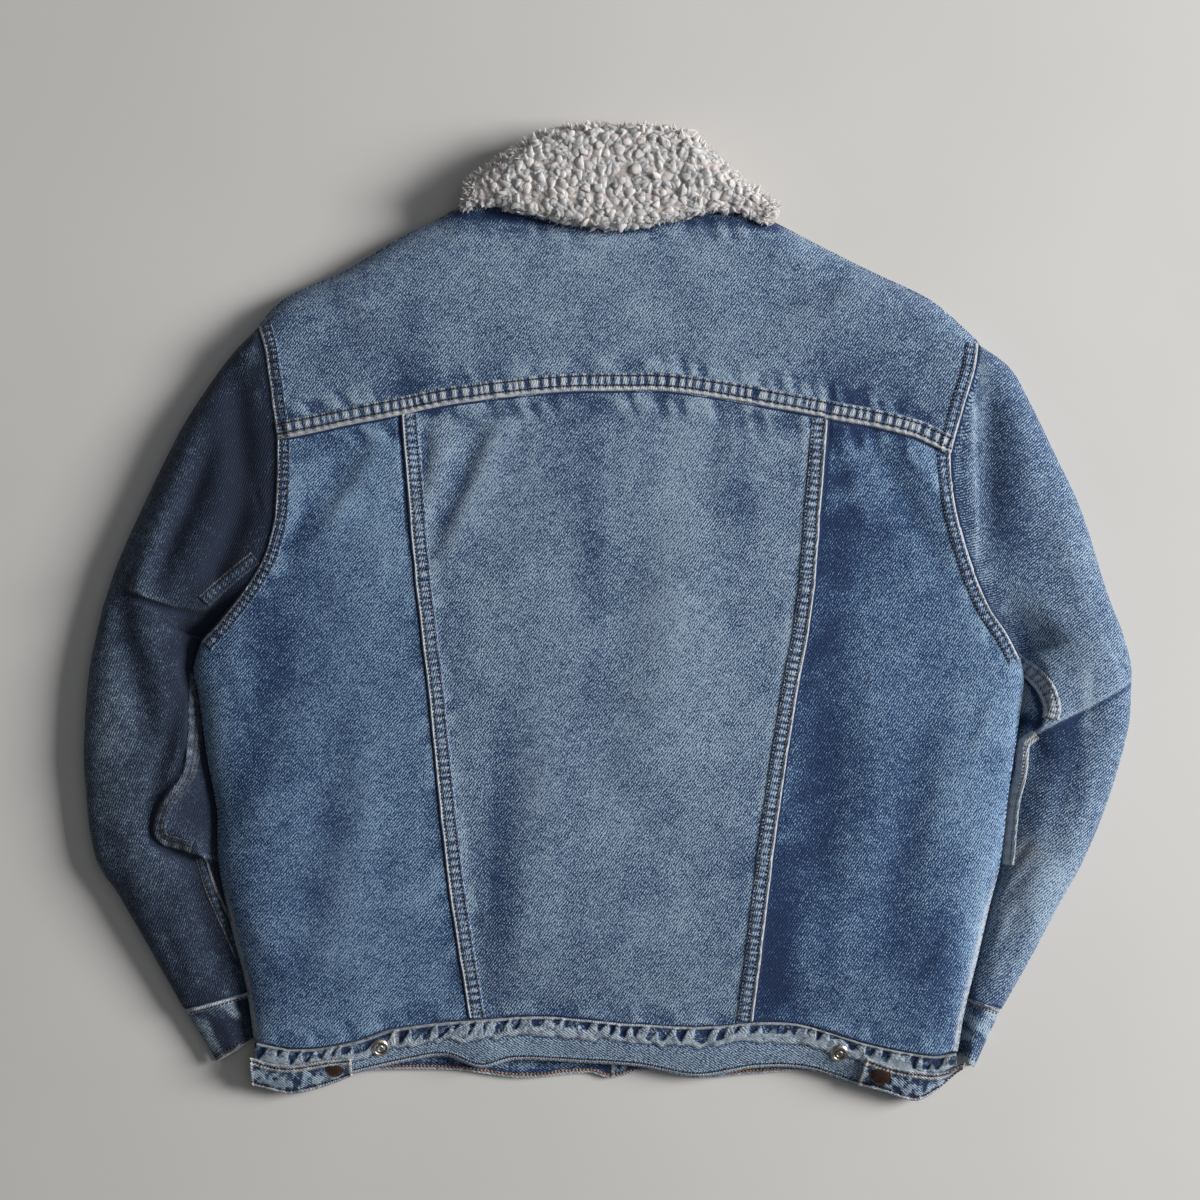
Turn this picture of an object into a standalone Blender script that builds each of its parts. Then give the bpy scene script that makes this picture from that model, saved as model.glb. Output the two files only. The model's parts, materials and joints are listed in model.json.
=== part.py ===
"""Sherpa lined denim jacket, laid flat on its front, back up.

The collar points to +Y and the hem to -Y. The two front panels rest on the surface at
z = 0, the back panels lie on them, and the sleeves lie beside the body with their inner
edges tucked under its rounded sides. Every wall is denim with its pile lining bonded on,
so a back panel and a front panel together are as high as the laid jacket.

Tables and sizes are in millimetres and are scaled to metres where meshes are made.
"""
import math
from collections import namedtuple

import bmesh
import bpy
from mathutils import Vector
from mathutils.bvhtree import BVHTree

MM = 0.001

# ---------------------------------------------------------------- driving dimensions
ORIGIN = (0.826, -0.962)       # middle of the laid jacket in the pattern's own plan
SEAM_GAP = 0.3              # clearance between two sewn pieces
BODY_SPLIT = 15.5           # height where the back panels lie on the front panels
BODY_CROWN = 36.0           # height of the laid body at its middle
HEM_TOP = 25.0              # height of the back panels at the waistband seam
HEM_FALL = 85.0             # length over which the body thins towards that seam
SIDE_FALL = 4.0             # how much lower the body is near its sides
SHOULDER_FALL = 4.0         # how much lower the yoke is towards the shoulders
RIM = 2.6                   # half height of the blunt rim of a rounded edge

FRONT_OPENING = 3.0         # place of the closed front edges across the jacket
FRONT_BAND = 36.0           # width of a front band
COLLAR_END = 11.0           # thickness of a front collar end lying on the surface

BAND_WALL = 3.6             # folded denim of a waistband
BAND_GAP = 1.2              # clearance of its folded edge to the back panels
FRONT_WAISTBAND = 4.0       # front waistband lying on the surface
TAB_WALL = 2.8              # folded denim of a waist tab
TAB_GAP = 0.5               # clearance of a tab over the waistband
TAB_REACH = 2.5             # how far round a point of the tab the waistband is felt for
CUFF_WALL = 3.4             # folded denim of a cuff
CUFF_GAP = 1.2              # twice the clearance of its folded edge to the sleeve

CUFF_TOP = 17.0             # height of a cuff at its middle
TUCK_TOP = 6.2              # height of a sleeve's inner edge under the body
TUCK_SPLIT = 4.2            # height of the seam at that edge
SLEEVE_CLEAR = 1.8          # clearance of a sleeve under the body's side
UNDERARM_DROP = 60.0        # length of armhole over which a sleeve dips under the body

PILE = 11.0                 # thickness of the collar's sherpa
COLLAR_LAP = 9.0            # how far the leaf lies over the yoke
UNDER_COLLAR = 1.8          # denim under-collar
LEAF_GAP = 0.5              # clearance between the layers of the collar

CAP_RADIUS = 8.4            # snap cap
CAP_HEIGHT = 2.4
STUD_RADIUS = 7.0           # open snap stud
STUD_HEIGHT = 3.2
FRONT_SNAPS = 6             # fastened snaps under the front band
SNAP_STEP = 78.0            # distance between two of them
SNAP_FIRST = -285.0         # place of the lowest one
TURN_STEPS = 20             # facets of a turned piece

# ---------------------------------------------------------------- plan of the pieces
Point = namedtuple("Point", "x y")
Edge = namedtuple("Edge", "x y top under roll")
Fold = namedtuple("Fold", "x0 y0 x1 y1 width ridge trough")
Band = namedtuple("Band", "x low_y low_z")
Station = namedtuple("Station", "crown split outer_roll")

YOKE_SEAM = [
    Point(-249, 132), Point(-195, 143), Point(-155, 151), Point(-108, 160), Point(-35, 168),
    Point(8, 169), Point(52, 168), Point(132, 155), Point(167, 148), Point(225, 136),
    Point(260, 121),
]
YOKE_CROSSINGS = (2, 8)     # rows of the yoke seam where the princess seams meet it

HEM_SEAM = [
    Point(-267, -324), Point(-235, -329), Point(-196, -324), Point(-158, -313),
    Point(-104, -307), Point(-46, -304), Point(10, -309), Point(73, -312), Point(111, -309),
    Point(146, -310), Point(199, -325), Point(247, -334), Point(266, -332),
]
HEM_CROSSINGS = (4, 8)

PRINCESS_LEFT = [
    Point(-104, -307), Point(-121, -191), Point(-133, -75), Point(-146, 41), Point(-155, 151),
]
PRINCESS_RIGHT = [
    Point(111, -309), Point(128, -164), Point(143, -65), Point(155, 4), Point(162, 84),
    Point(167, 148),
]

# Free side of the body from the hem up to the underarm: its rim, how high its underside
# is there and how far in the edge rolls.
SIDE_LEFT = [
    Edge(-267, -324, 17, 12, 30), Edge(-273, -282, 18, 13, 32), Edge(-284, -238, 18, 13, 34),
    Edge(-294, -187, 18, 13, 34), Edge(-295, -150, 18, 13, 34), Edge(-303, -106, 18, 13, 34),
    Edge(-309, -61, 19, 13, 34), Edge(-313, -42, 20, 12, 32), Edge(-307, -21, 24, 8, 26),
]
SIDE_RIGHT = [
    Edge(266, -332, 17, 12, 30), Edge(271, -302, 18, 13, 32), Edge(281, -261, 18, 13, 34),
    Edge(290, -222, 18, 13, 34), Edge(298, -190, 18, 13, 34), Edge(305, -133, 18, 13, 34),
    Edge(313, -77, 19, 13, 34), Edge(316, -50, 20, 12, 32), Edge(313, -33, 24, 8, 26),
]

# Armhole seam from the underarm up to the yoke seam, and on to the shoulder.
ARMHOLE_LEFT = [
    Edge(-307, -21, 24, 8, 26), Edge(-292, -4, 27, 0, 22), Edge(-276, 16, 29, 0, 20),
    Edge(-260, 42, 30, 0, 18), Edge(-252, 69, 31, 0, 18), Edge(-250, 90, 31, 0, 18),
    Edge(-249, 132, 31, 0, 18),
]
ARMHOLE_RIGHT = [
    Edge(313, -33, 24, 8, 26), Edge(303, -14, 27, 0, 22), Edge(290, 5, 29, 0, 20),
    Edge(276, 38, 30, 0, 18), Edge(266, 72, 31, 0, 18), Edge(261, 101, 31, 0, 18),
    Edge(260, 121, 31, 0, 18),
]
YOKE_SIDE_LEFT = [Point(-249, 132), Point(-255, 176), Point(-259, 203), Point(-264, 219)]
YOKE_SIDE_RIGHT = [Point(260, 121), Point(271, 161), Point(278, 184), Point(282, 206)]

# Shoulders and back neck, from the left armhole to the right one.
SHOULDER = [
    Edge(-264, 219, 19, 10, 24), Edge(-244, 239, 18, 10, 26), Edge(-199, 260, 18, 10, 28),
    Edge(-157, 285, 18, 10, 28), Edge(-127, 300, 19, 10, 26), Edge(-106, 310, 23, 10, 22),
    Edge(-66, 309, 26, 10, 22), Edge(-4, 298, 26, 10, 22), Edge(48, 302, 26, 10, 22),
    Edge(104, 307, 25, 10, 22), Edge(129, 296, 20, 10, 22), Edge(162, 279, 18, 10, 28),
    Edge(200, 260, 18, 10, 28), Edge(244, 239, 18, 10, 26), Edge(263, 224, 18, 10, 26),
    Edge(282, 206, 19, 10, 24),
]

# Hidden front: hem, and the upper edge along the shoulder and under the collar ends.
FRONT_HEM = [Point(-267, -324), Point(-150, -319), Point(-33, -320)]
FRONT_HEM_RIGHT = [Point(266, -332), Point(150, -322), Point(39, -320)]
NECK_LEFT = Point(-112, 309)
NECK_RIGHT = Point(118, 303)
NECK_FOOT = 208.0           # where the front bands end under the collar

# Back waistband across the jacket: its lower edge.
WAISTBAND = [
    Band(-267, -358, 9), Band(-237, -362, 9), Band(-212, -355, 9), Band(-190, -349, 10),
    Band(-156, -341, 12), Band(-124, -336, 13), Band(-96, -345, 12), Band(-71, -339, 13),
    Band(-22, -341, 12), Band(24, -344, 12), Band(69, -352, 11), Band(115, -345, 12),
    Band(152, -346, 11), Band(190, -358, 9), Band(232, -369, 9), Band(251, -362, 9),
    Band(266, -349, 10),
]
# Front waistband: its lower edge, from the left side to the right side.
FRONT_LOW = [
    Point(-262, -354), Point(-236, -358), Point(-193, -350), Point(-119, -349), Point(-65, -355),
    Point(-13, -351), Point(3, -355), Point(34, -349), Point(69, -355), Point(111, -352),
    Point(160, -350), Point(193, -358), Point(230, -364), Point(258, -350),
]

TAB_LEFT_TOP = [Point(-271, -336), Point(-255, -341), Point(-237, -342), Point(-212, -339),
                Point(-194, -340)]
TAB_LEFT_LOW = [Point(-271, -358), Point(-256, -362), Point(-241, -364), Point(-214, -357),
                Point(-194, -350)]
TAB_RIGHT_TOP = [Point(197, -336), Point(216, -343), Point(232, -346), Point(255, -348),
                 Point(272, -340)]
TAB_RIGHT_LOW = [Point(191, -359), Point(212, -364), Point(236, -371), Point(252, -363),
                 Point(271, -346)]
CAPS = {"left": Point(-207, -347), "right": Point(208, -352)}
STUDS = {"left": Point(-172, -329), "right": Point(177, -333)}

# Outer edges of the sleeves: down to the yoke seam, to the underarm and to the cuff.
OUTER_LEFT = (
    [Point(-264, 219), Point(-286, 196), Point(-311, 161), Point(-324, 140)],
    [Point(-324, 140), Point(-345, 98), Point(-371, 41), Point(-383, 6)],
    [Point(-383, 6), Point(-393, -40), Point(-397, -85), Point(-397, -124), Point(-389, -185),
     Point(-370, -216), Point(-336, -276), Point(-322, -301)],
)
OUTER_RIGHT = (
    [Point(282, 206), Point(307, 187), Point(321, 163), Point(337, 130)],
    [Point(337, 130), Point(361, 79), Point(381, 16), Point(392, -12)],
    [Point(392, -12), Point(399, -38), Point(399, -60), Point(397, -86), Point(383, -137),
     Point(364, -185), Point(343, -224), Point(323, -262), Point(301, -301)],
)
# Inner edges where the sleeves lie tucked under the body, down to the cuff.
TUCK_LEFT = [
    Point(-307, -21), Point(-300, -48), Point(-295, -80), Point(-288, -125), Point(-281, -170),
    Point(-277, -215), Point(-266, -262), Point(-259, -284),
]
TUCK_RIGHT = [
    Point(313, -33), Point(303, -52), Point(300, -80), Point(295, -125), Point(286, -175),
    Point(277, -225), Point(269, -262), Point(262, -288),
]
# A sleeve's height, the height of its seam and its outer roll, shoulder to cuff.
SLEEVE = [
    Station(31, 13, 24), Station(31, 13, 28), Station(30, 13, 30), Station(30, 12, 32),
    Station(29, 12, 32), Station(28, 12, 32), Station(25, 10, 28), Station(20, 8, 22),
]

CUFF_LEFT = {"seam": (Point(-322, -302), Point(-266, -287)),
             "low": (Point(-298, -342), Point(-263, -321))}
CUFF_RIGHT = {"seam": (Point(301, -302), Point(268, -290)),
              "low": (Point(281, -346), Point(269, -338))}

# Largest folds: a ridge along each line, with a trough on its right-hand side.
BODY_FOLDS = [
    Fold(-176, 121, -232, 39, 13, 1.0, 2.6), Fold(-79, 142, -123, 38, 13, 1.6, 2.2),
    Fold(-123, 138, -132, 84, 11, 1.2, 1.8), Fold(215, 138, 272, 38, 14, 1.6, 1.8),
    Fold(-232, -60, -262, -170, 24, 1.6, 2.0), Fold(-180, -120, -205, -260, 22, 1.6, 1.8),
    Fold(-40, -90, -70, -270, 26, 1.4, 1.6), Fold(60, 60, 30, -120, 30, 1.6, 1.6),
    Fold(205, -30, 188, -210, 26, 1.8, 1.8), Fold(262, -100, 236, -250, 20, 1.6, 2.0),
    Fold(-200, 250, -120, 190, 24, 1.4, 1.4), Fold(210, 240, 120, 200, 24, 1.4, 1.4),
]
LEFT_SLEEVE_FOLDS = [
    Fold(-284, 172, -317, 66, 13, 1.5, 3.6), Fold(-352, 30, -358, -30, 16, 2.0, 2.4),
    Fold(-352, 10, -330, -96, 14, 1.5, 4.6), Fold(-350, 12, -304, 8, 9, 1.8, 3.6),
    Fold(-311, -62, -336, -156, 10, 3.0, 2.6), Fold(-336, -158, -292, -186, 11, 3.2, 5.4),
    Fold(-308, -184, -278, -262, 12, 1.4, 2.4), Fold(-372, -120, -350, -214, 18, 1.6, 2.2),
]
RIGHT_SLEEVE_FOLDS = [
    Fold(276, 176, 282, 40, 9, 1.2, 3.0), Fold(304, 170, 299, 70, 14, 1.6, 3.2),
    Fold(396, -50, 330, -86, 12, 4.2, 6.0), Fold(330, -22, 342, -70, 9, 1.8, 2.4),
    Fold(320, -120, 308, -212, 12, 1.6, 2.6), Fold(340, -110, 318, -236, 14, 1.4, 2.2),
    Fold(372, -110, 352, -190, 16, 1.4, 2.0), Fold(306, -190, 292, -286, 10, 1.4, 2.4),
]

# ---------------------------------------------------------------- how fine the meshes are
SIDE_ROWS = (0, 0.06, 0.15, 0.27, 0.40, 0.54, 0.68, 0.82, 0.92, 1.0)
ARM_ROWS = (0, 0.14, 0.30, 0.48, 0.66, 0.84, 1.0)
YOKE_ROWS = (0, 0.2, 0.42, 0.64, 0.8, 0.9, 0.96, 1.0)
OUTER_COLUMNS = (0, 0.03, 0.08, 0.16, 0.28, 0.42, 0.56, 0.7, 0.85, 1.0)
CENTRE_COLUMNS = tuple(i / 10 for i in range(11))
SLEEVE_COLUMNS = (0, 0.05, 0.15, 0.3, 0.48, 0.66, 0.82, 0.93, 1.0)
TUCK_ROWS = (0, 0.09, 0.2, 0.32, 0.44, 0.56, 0.68, 0.8, 0.9, 1.0)
FRONT_COLUMNS = (0, 0.02, 0.06, 0.13, 0.25, 0.45, 0.7, 1.0)

# ---------------------------------------------------------------- finishes
Finish = namedtuple("Finish", "colour roughness metallic")
FINISHES = {
    "denim": Finish((0.170, 0.265, 0.410), 0.86, 0.0),
    "denim_dark": Finish((0.035, 0.055, 0.125), 0.88, 0.0),
    "denim_faded": Finish((0.310, 0.400, 0.520), 0.86, 0.0),
    "sherpa": Finish((0.660, 0.610, 0.570), 0.96, 0.0),
    "copper": Finish((0.190, 0.085, 0.050), 0.46, 0.9),
    "nickel": Finish((0.420, 0.400, 0.360), 0.30, 1.0),
}


# ---------------------------------------------------------------- curves in plan
def spline(rows, fractions):
    """Rows at fractions of a smooth curve through the given rows, all columns alike."""
    chord = [0.0]
    for a, b in zip(rows, rows[1:]):
        chord.append(chord[-1] + math.hypot(b.x - a.x, b.y - a.y))
    kind = type(rows[0])
    picked = []
    for fraction in fractions:
        place = fraction * chord[-1]
        i = max(k for k in range(len(rows) - 1) if chord[k] <= place + 1e-9)
        span = chord[i + 1] - chord[i]
        t = min((place - chord[i]) / span, 1.0)
        values = [hermite(rows, chord, i, t, column) for column in range(len(rows[0]))]
        picked.append(kind(*values))
    return picked


def hermite(rows, chord, i, t, column):
    """One column of the curve in span i, with slopes from the neighbouring rows."""
    last = len(rows) - 1

    def slope(k):
        a, b = max(k - 1, 0), min(k + 1, last)
        return (rows[b][column] - rows[a][column]) / (chord[b] - chord[a])

    span = chord[i + 1] - chord[i]
    p0, p1 = rows[i][column], rows[i + 1][column]
    m0, m1 = slope(i) * span, slope(i + 1) * span
    t2, t3 = t * t, t * t * t
    return (p0 * (2 * t3 - 3 * t2 + 1) + m0 * (t3 - 2 * t2 + t)
            + p1 * (3 * t2 - 2 * t3) + m1 * (t3 - t2))


def stretch(rows, first, last, fractions):
    """Points of a seam between two of its rows."""
    chord = [0.0]
    for a, b in zip(rows, rows[1:]):
        chord.append(chord[-1] + math.hypot(b.x - a.x, b.y - a.y))
    start, end = chord[first] / chord[-1], chord[last] / chord[-1]
    return spline(rows, [start + (end - start) * f for f in fractions])


def coons(low, high, left, right, across, along):
    """Plan grid [row][column] between four sampled edges."""
    grid = []
    for j, t in enumerate(along):
        row = []
        for i, s in enumerate(across):
            x, y = [
                (1 - t) * low[i][k] + t * high[i][k] + (1 - s) * left[j][k] + s * right[j][k]
                - (1 - s) * (1 - t) * low[0][k] - s * (1 - t) * low[-1][k]
                - (1 - s) * t * high[0][k] - s * t * high[-1][k]
                for k in (0, 1)
            ]
            row.append((x, y))
        grid.append(row)
    return grid


def sew(grid, gap=SEAM_GAP):
    """Draw the rim of a plan grid in by half a seam gap on every side."""
    last_row, last_column = len(grid) - 1, len(grid[0]) - 1
    moved = [list(row) for row in grid]

    def inward(line, towards):
        """Unit normals of a line, pointing to a neighbouring line of the grid."""
        normals = []
        for k, point in enumerate(line):
            a, b = line[max(k - 1, 0)], line[min(k + 1, len(line) - 1)]
            normal = Vector((a[1] - b[1], b[0] - a[0])).normalized()
            if normal.dot(Vector(towards[k]) - Vector(point)) < 0:
                normal.negate()
            normals.append(normal)
        return normals

    def push(cells, normals):
        for (j, i), normal in zip(cells, normals):
            x, y = moved[j][i]
            moved[j][i] = (x + normal.x * gap / 2, y + normal.y * gap / 2)

    rims = [
        ([(0, i) for i in range(last_column + 1)], [(1, i) for i in range(last_column + 1)]),
        ([(last_row, i) for i in range(last_column + 1)],
         [(last_row - 1, i) for i in range(last_column + 1)]),
        ([(j, 0) for j in range(last_row + 1)], [(j, 1) for j in range(last_row + 1)]),
        ([(j, last_column) for j in range(last_row + 1)],
         [(j, last_column - 1) for j in range(last_row + 1)]),
    ]
    for cells, inner in rims:
        line = [grid[j][i] for j, i in cells]
        push(cells, inward(line, [grid[j][i] for j, i in inner]))
    return moved


# ---------------------------------------------------------------- heights
def smooth(value):
    """Smooth step from 0 to 1."""
    value = min(max(value, 0.0), 1.0)
    return value * value * (3 - 2 * value)


def round_edge(distance, roll):
    """1 at a rounded edge, falling to 0 where its roll ends, along a quarter ellipse."""
    q = min(max(distance / roll, 0.0), 1.0)
    return 1 - math.sqrt(1 - (1 - q) ** 2)


def tuck_edge(distance, roll):
    """1 at an edge lifted over a sleeve, falling to 0 where it rests."""
    q = min(max(distance / roll, 0.0), 1.0)
    return (1 - q) ** 1.5


def folded(x, y, folds):
    """Height that the folds add at a place."""
    height = 0.0
    for fold in folds:
        run = Vector((fold.x1 - fold.x0, fold.y1 - fold.y0))
        here = Vector((x - fold.x0, y - fold.y0))
        along = here.dot(run) / run.length_squared
        if not -0.25 < along < 1.25:
            continue
        beside = (run.x * here.y - run.y * here.x) / run.length
        fade = smooth((along + 0.25) / 0.5) * smooth((1.25 - along) / 0.5)
        ridge = math.exp(-(beside / fold.width) ** 2)
        trough = math.exp(-((beside + 1.1 * fold.width) / (0.8 * fold.width)) ** 2)
        height += fade * (fold.ridge * ridge - fold.trough * trough)
    return height


def body_height(x, y):
    """Height of the laid body's back before its edges round off."""
    hem = -308 - 22 * smooth((abs(x) - 100) / 130)
    height = BODY_CROWN - SIDE_FALL * (x / 290) ** 2
    height -= SHOULDER_FALL * smooth((y - 180) / 120)
    height += (HEM_TOP - height) * (1 - smooth((y - hem) / HEM_FALL)) ** 1.5
    return height + folded(x, y, BODY_FOLDS) * smooth((y - hem) / 60)


def distance(a, b):
    """Distance in plan."""
    return math.hypot(a[0] - b[0], a[1] - b[1])


# ---------------------------------------------------------------- meshes
def material(slot):
    """Principled material of a slot, made once."""
    found = bpy.data.materials.get(slot)
    if found:
        return found
    finish = FINISHES[slot]
    made = bpy.data.materials.new(slot)
    made.use_nodes = True
    shader = made.node_tree.nodes["Principled BSDF"]
    shader.inputs["Base Color"].default_value = (*finish.colour, 1.0)
    shader.inputs["Roughness"].default_value = finish.roughness
    shader.inputs["Metallic"].default_value = finish.metallic
    return made


def placed(x, y, z):
    """A point of the pattern in the jacket's own frame, in metres."""
    return Vector(((x - ORIGIN[0]) * MM, (y - ORIGIN[1]) * MM, z * MM))


def add(name, bm, slot):
    """Make an object of a bmesh, in the jacket's collection."""
    bmesh.ops.recalc_face_normals(bm, faces=bm.faces)
    mesh = bpy.data.meshes.new(name)
    bm.to_mesh(mesh)
    bm.free()
    mesh.materials.append(material(slot))
    mesh.shade_smooth()
    mesh.set_sharp_from_angle(angle=math.radians(40))
    made = bpy.data.objects.new(name, mesh)
    JACKET.objects.link(made)
    return made


def skin(bm, grid):
    """Verts and quads of a grid of points; gives the verts back."""
    verts = [[bm.verts.new(point) for point in row] for row in grid]
    for low, high in zip(verts, verts[1:]):
        for i in range(len(low) - 1):
            bm.faces.new((low[i], low[i + 1], high[i + 1], high[i]))
    return verts


def rim_of(verts):
    """The outer ring of a grid of verts, in order."""
    ring = list(verts[0])
    ring += [row[-1] for row in verts[1:-1]]
    ring += list(reversed(verts[-1]))
    ring += [row[0] for row in reversed(verts[1:-1])]
    return ring


def slab(name, plan, tops, unders, slot):
    """A closed cloth piece: one plan grid with an upper and a lower face."""
    bm = bmesh.new()
    upper = skin(bm, [[placed(x, y, z) for (x, y), z in zip(row, heights)]
                      for row, heights in zip(plan, tops)])
    lower = skin(bm, [[placed(x, y, z) for (x, y), z in zip(row, heights)]
                      for row, heights in zip(plan, unders)])
    above, below = rim_of(upper), rim_of(lower)
    for k in range(len(above)):
        n = (k + 1) % len(above)
        bm.faces.new((below[k], below[n], above[n], above[k]))
    return add(name, bm, slot)


def sheet(name, plan, tops, wall, slot):
    """A folded denim piece: an open surface thickened by a Solidify modifier."""
    bm = bmesh.new()
    skin(bm, [[placed(x, y, z) for (x, y), z in zip(row, heights)]
              for row, heights in zip(plan, tops)])
    made = add(name, bm, slot)
    if made.data.polygons[0].normal.z < 0:
        made.data.flip_normals()
    thicken = made.modifiers.new("wall", "SOLIDIFY")
    thicken.thickness = wall * MM
    thicken.offset = -1
    thicken.use_even_offset = False
    return made


def turned(name, profile, place, slot, tilt=0.0):
    """A turned piece from a profile of (radius, height), down its outer side."""
    mesh = bpy.data.meshes.new(name)
    points = [(radius * MM, 0.0, height * MM) for radius, height in profile]
    mesh.from_pydata(points, [(k, k + 1) for k in range(len(points) - 1)], [])
    mesh.materials.append(material(slot))
    made = bpy.data.objects.new(name, mesh)
    JACKET.objects.link(made)
    screw = made.modifiers.new("turn", "SCREW")
    screw.steps = TURN_STEPS
    screw.render_steps = TURN_STEPS
    screw.use_merge_vertices = True
    screw.merge_threshold = 0.00002
    screw.use_smooth_shade = True
    made.location = place
    made.rotation_euler.x = tilt
    return made


# ---------------------------------------------------------------- body
class Body:
    """Back panels, yoke and front panels, on shared seam points."""

    def __init__(self):
        self.rows = self.side_fractions()
        self.arm_left = spline(ARMHOLE_LEFT, ARM_ROWS)
        self.arm_right = spline(ARMHOLE_RIGHT, ARM_ROWS)
        self.left = spline(SIDE_LEFT, SIDE_ROWS) + self.arm_left[1:]
        self.right = spline(SIDE_RIGHT, SIDE_ROWS) + self.arm_right[1:]
        self.princess_left = spline(PRINCESS_LEFT, self.rows)
        self.princess_right = spline(PRINCESS_RIGHT, self.rows)
        self.yoke_left = spline(YOKE_SIDE_LEFT, YOKE_ROWS)
        self.yoke_right = spline(YOKE_SIDE_RIGHT, YOKE_ROWS)
        self.arm_heights = {}

    @staticmethod
    def hem_points():
        """Points of the hem seam from side to side, as the back panels have them."""
        left = Body.crossed(HEM_SEAM, HEM_CROSSINGS, "left")
        middle = stretch(HEM_SEAM, *HEM_CROSSINGS, CENTRE_COLUMNS)
        right = Body.crossed(HEM_SEAM, HEM_CROSSINGS, "right")
        return left + middle[1:] + right[::-1][1:]

    @staticmethod
    def side_fractions():
        """Fractions of the princess seams that lie level with the rows of the sides."""
        share = 0.665
        return [share * f for f in SIDE_ROWS] + [share + (1 - share) * f for f in ARM_ROWS[1:]]

    @staticmethod
    def rolled(x, y, low, roll_distance, roll):
        """Back height with its edge rolled off to a lower height."""
        height = body_height(x, y)
        return height - (height - low) * round_edge(roll_distance, roll)

    def side_panel(self, name, side):
        """Side back panel from the hem to the yoke, from its free side to the princess seam."""
        mirrored = side == "right"
        free = self.right if mirrored else self.left
        seam = self.princess_right if mirrored else self.princess_left
        hem = self.crossed(HEM_SEAM, HEM_CROSSINGS, side)
        top = self.crossed(YOKE_SEAM, YOKE_CROSSINGS, side)
        plan = coons(hem, top, free, seam, OUTER_COLUMNS, self.rows)
        tops = []
        for row, edge in zip(plan, free):
            tops.append([self.rolled(x, y, edge.top, distance((x, y), row[0]), edge.roll)
                         for x, y in row])
        self.arm_heights[side] = [heights[0] for heights in tops[-len(ARM_ROWS):]]
        unders = [[BODY_SPLIT + SEAM_GAP / 2] * len(row) for row in plan]
        return slab(name, sew(plan), tops, unders, "denim")

    @staticmethod
    def crossed(seam, crossings, side):
        """The stretch of a seam outside a princess seam, from the free side inwards."""
        if side == "left":
            return stretch(seam, 0, crossings[0], OUTER_COLUMNS)
        return stretch(seam, len(seam) - 1, crossings[1], OUTER_COLUMNS)

    def centre_panel(self):
        """Centre back panel between the princess seams."""
        hem = stretch(HEM_SEAM, *HEM_CROSSINGS, CENTRE_COLUMNS)
        top = stretch(YOKE_SEAM, *YOKE_CROSSINGS, CENTRE_COLUMNS)
        plan = coons(hem, top, self.princess_left, self.princess_right, CENTRE_COLUMNS, self.rows)
        tops = [[body_height(x, y) for x, y in row] for row in plan]
        unders = [[BODY_SPLIT + SEAM_GAP / 2] * len(row) for row in plan]
        return slab("back_centre", sew(plan), tops, unders, "denim")

    def yoke(self):
        """Back yoke, over the shoulders and up to the back neck."""
        left = self.crossed(YOKE_SEAM, YOKE_CROSSINGS, "left")
        middle = stretch(YOKE_SEAM, *YOKE_CROSSINGS, CENTRE_COLUMNS)
        right = self.crossed(YOKE_SEAM, YOKE_CROSSINGS, "right")
        low = left + middle[1:] + right[::-1][1:]
        lengths = [0.0]
        for a, b in zip(low, low[1:]):
            lengths.append(lengths[-1] + distance(a, b))
        across = [length / lengths[-1] for length in lengths]
        high = spline(SHOULDER, across)
        plan = coons(low, high, self.yoke_left, self.yoke_right, across, YOKE_ROWS)
        tops = []
        for row in plan:
            heights = []
            for i, (x, y) in enumerate(row):
                edge = high[i]
                heights.append(self.rolled(x, y, edge.top, distance((x, y), plan[-1][i]),
                                           edge.roll))
            for i in range(len(row)):
                side = distance(row[i], row[0 if i < len(row) / 2 else -1])
                heights[i] = min(heights[i], 31 + 4 * smooth(side / 18))
            tops.append(heights)
        for side, column in (("left", 0), ("right", -1)):
            self.arm_heights[side] += [heights[column] for heights in tops[1:-1]]
        unders = [[BODY_SPLIT + SEAM_GAP / 2] * len(row) for row in plan]
        return slab("yoke_back", sew(plan), tops, unders, "denim")

    def front_panel(self, side):
        """Front panel on the surface, from its side to the front band."""
        mirrored = side == "right"
        free = self.right if mirrored else self.left
        yoke_side = self.yoke_right if mirrored else self.yoke_left
        hem = FRONT_HEM_RIGHT if mirrored else FRONT_HEM
        band = FRONT_OPENING + (FRONT_BAND if mirrored else -FRONT_BAND)
        shoulder = SHOULDER[::-1] if mirrored else SHOULDER
        edge_rows = [Edge(p.x, p.y, 0, 10 * smooth(k / 2), 24)
                     for k, p in enumerate(yoke_side[1:])]
        outer = free + edge_rows
        reach = [0.0]
        for a, b in zip(outer, outer[1:]):
            reach.append(reach[-1] + distance(a, b))
        along = [length / reach[-1] for length in reach]
        low = spline([*hem[:-1], Point(band, hem[-1].y)], FRONT_COLUMNS)
        neck = NECK_RIGHT if mirrored else NECK_LEFT
        upper = [Point(e.x, e.y) for e in shoulder[:5]] + [neck]
        high = spline(upper, [f / FRONT_COLUMNS[-2] for f in FRONT_COLUMNS[:-1]])
        high.append(Point(band, NECK_FOOT))
        inner = [Point(band, low[-1].y + (NECK_FOOT - low[-1].y) * t) for t in along]
        plan = coons(low, high, outer, inner, FRONT_COLUMNS, along)
        tops = [[BODY_SPLIT - SEAM_GAP / 2] * len(row) for row in plan]
        unders = []
        for row, edge in zip(plan, outer):
            heights = [min(edge.under, 12.4) * tuck_edge(distance(p, row[0]), edge.roll)
                       for p in row]
            unders.append(heights)
        for i in range(len(FRONT_COLUMNS) - 1):
            for j, row in enumerate(plan):
                lifted = 9 * tuck_edge(distance(row[i], plan[-1][i]), 24)
                unders[j][i] = max(unders[j][i], lifted)
        return slab("front_" + side, sew(plan), tops, unders, "denim")

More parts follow.
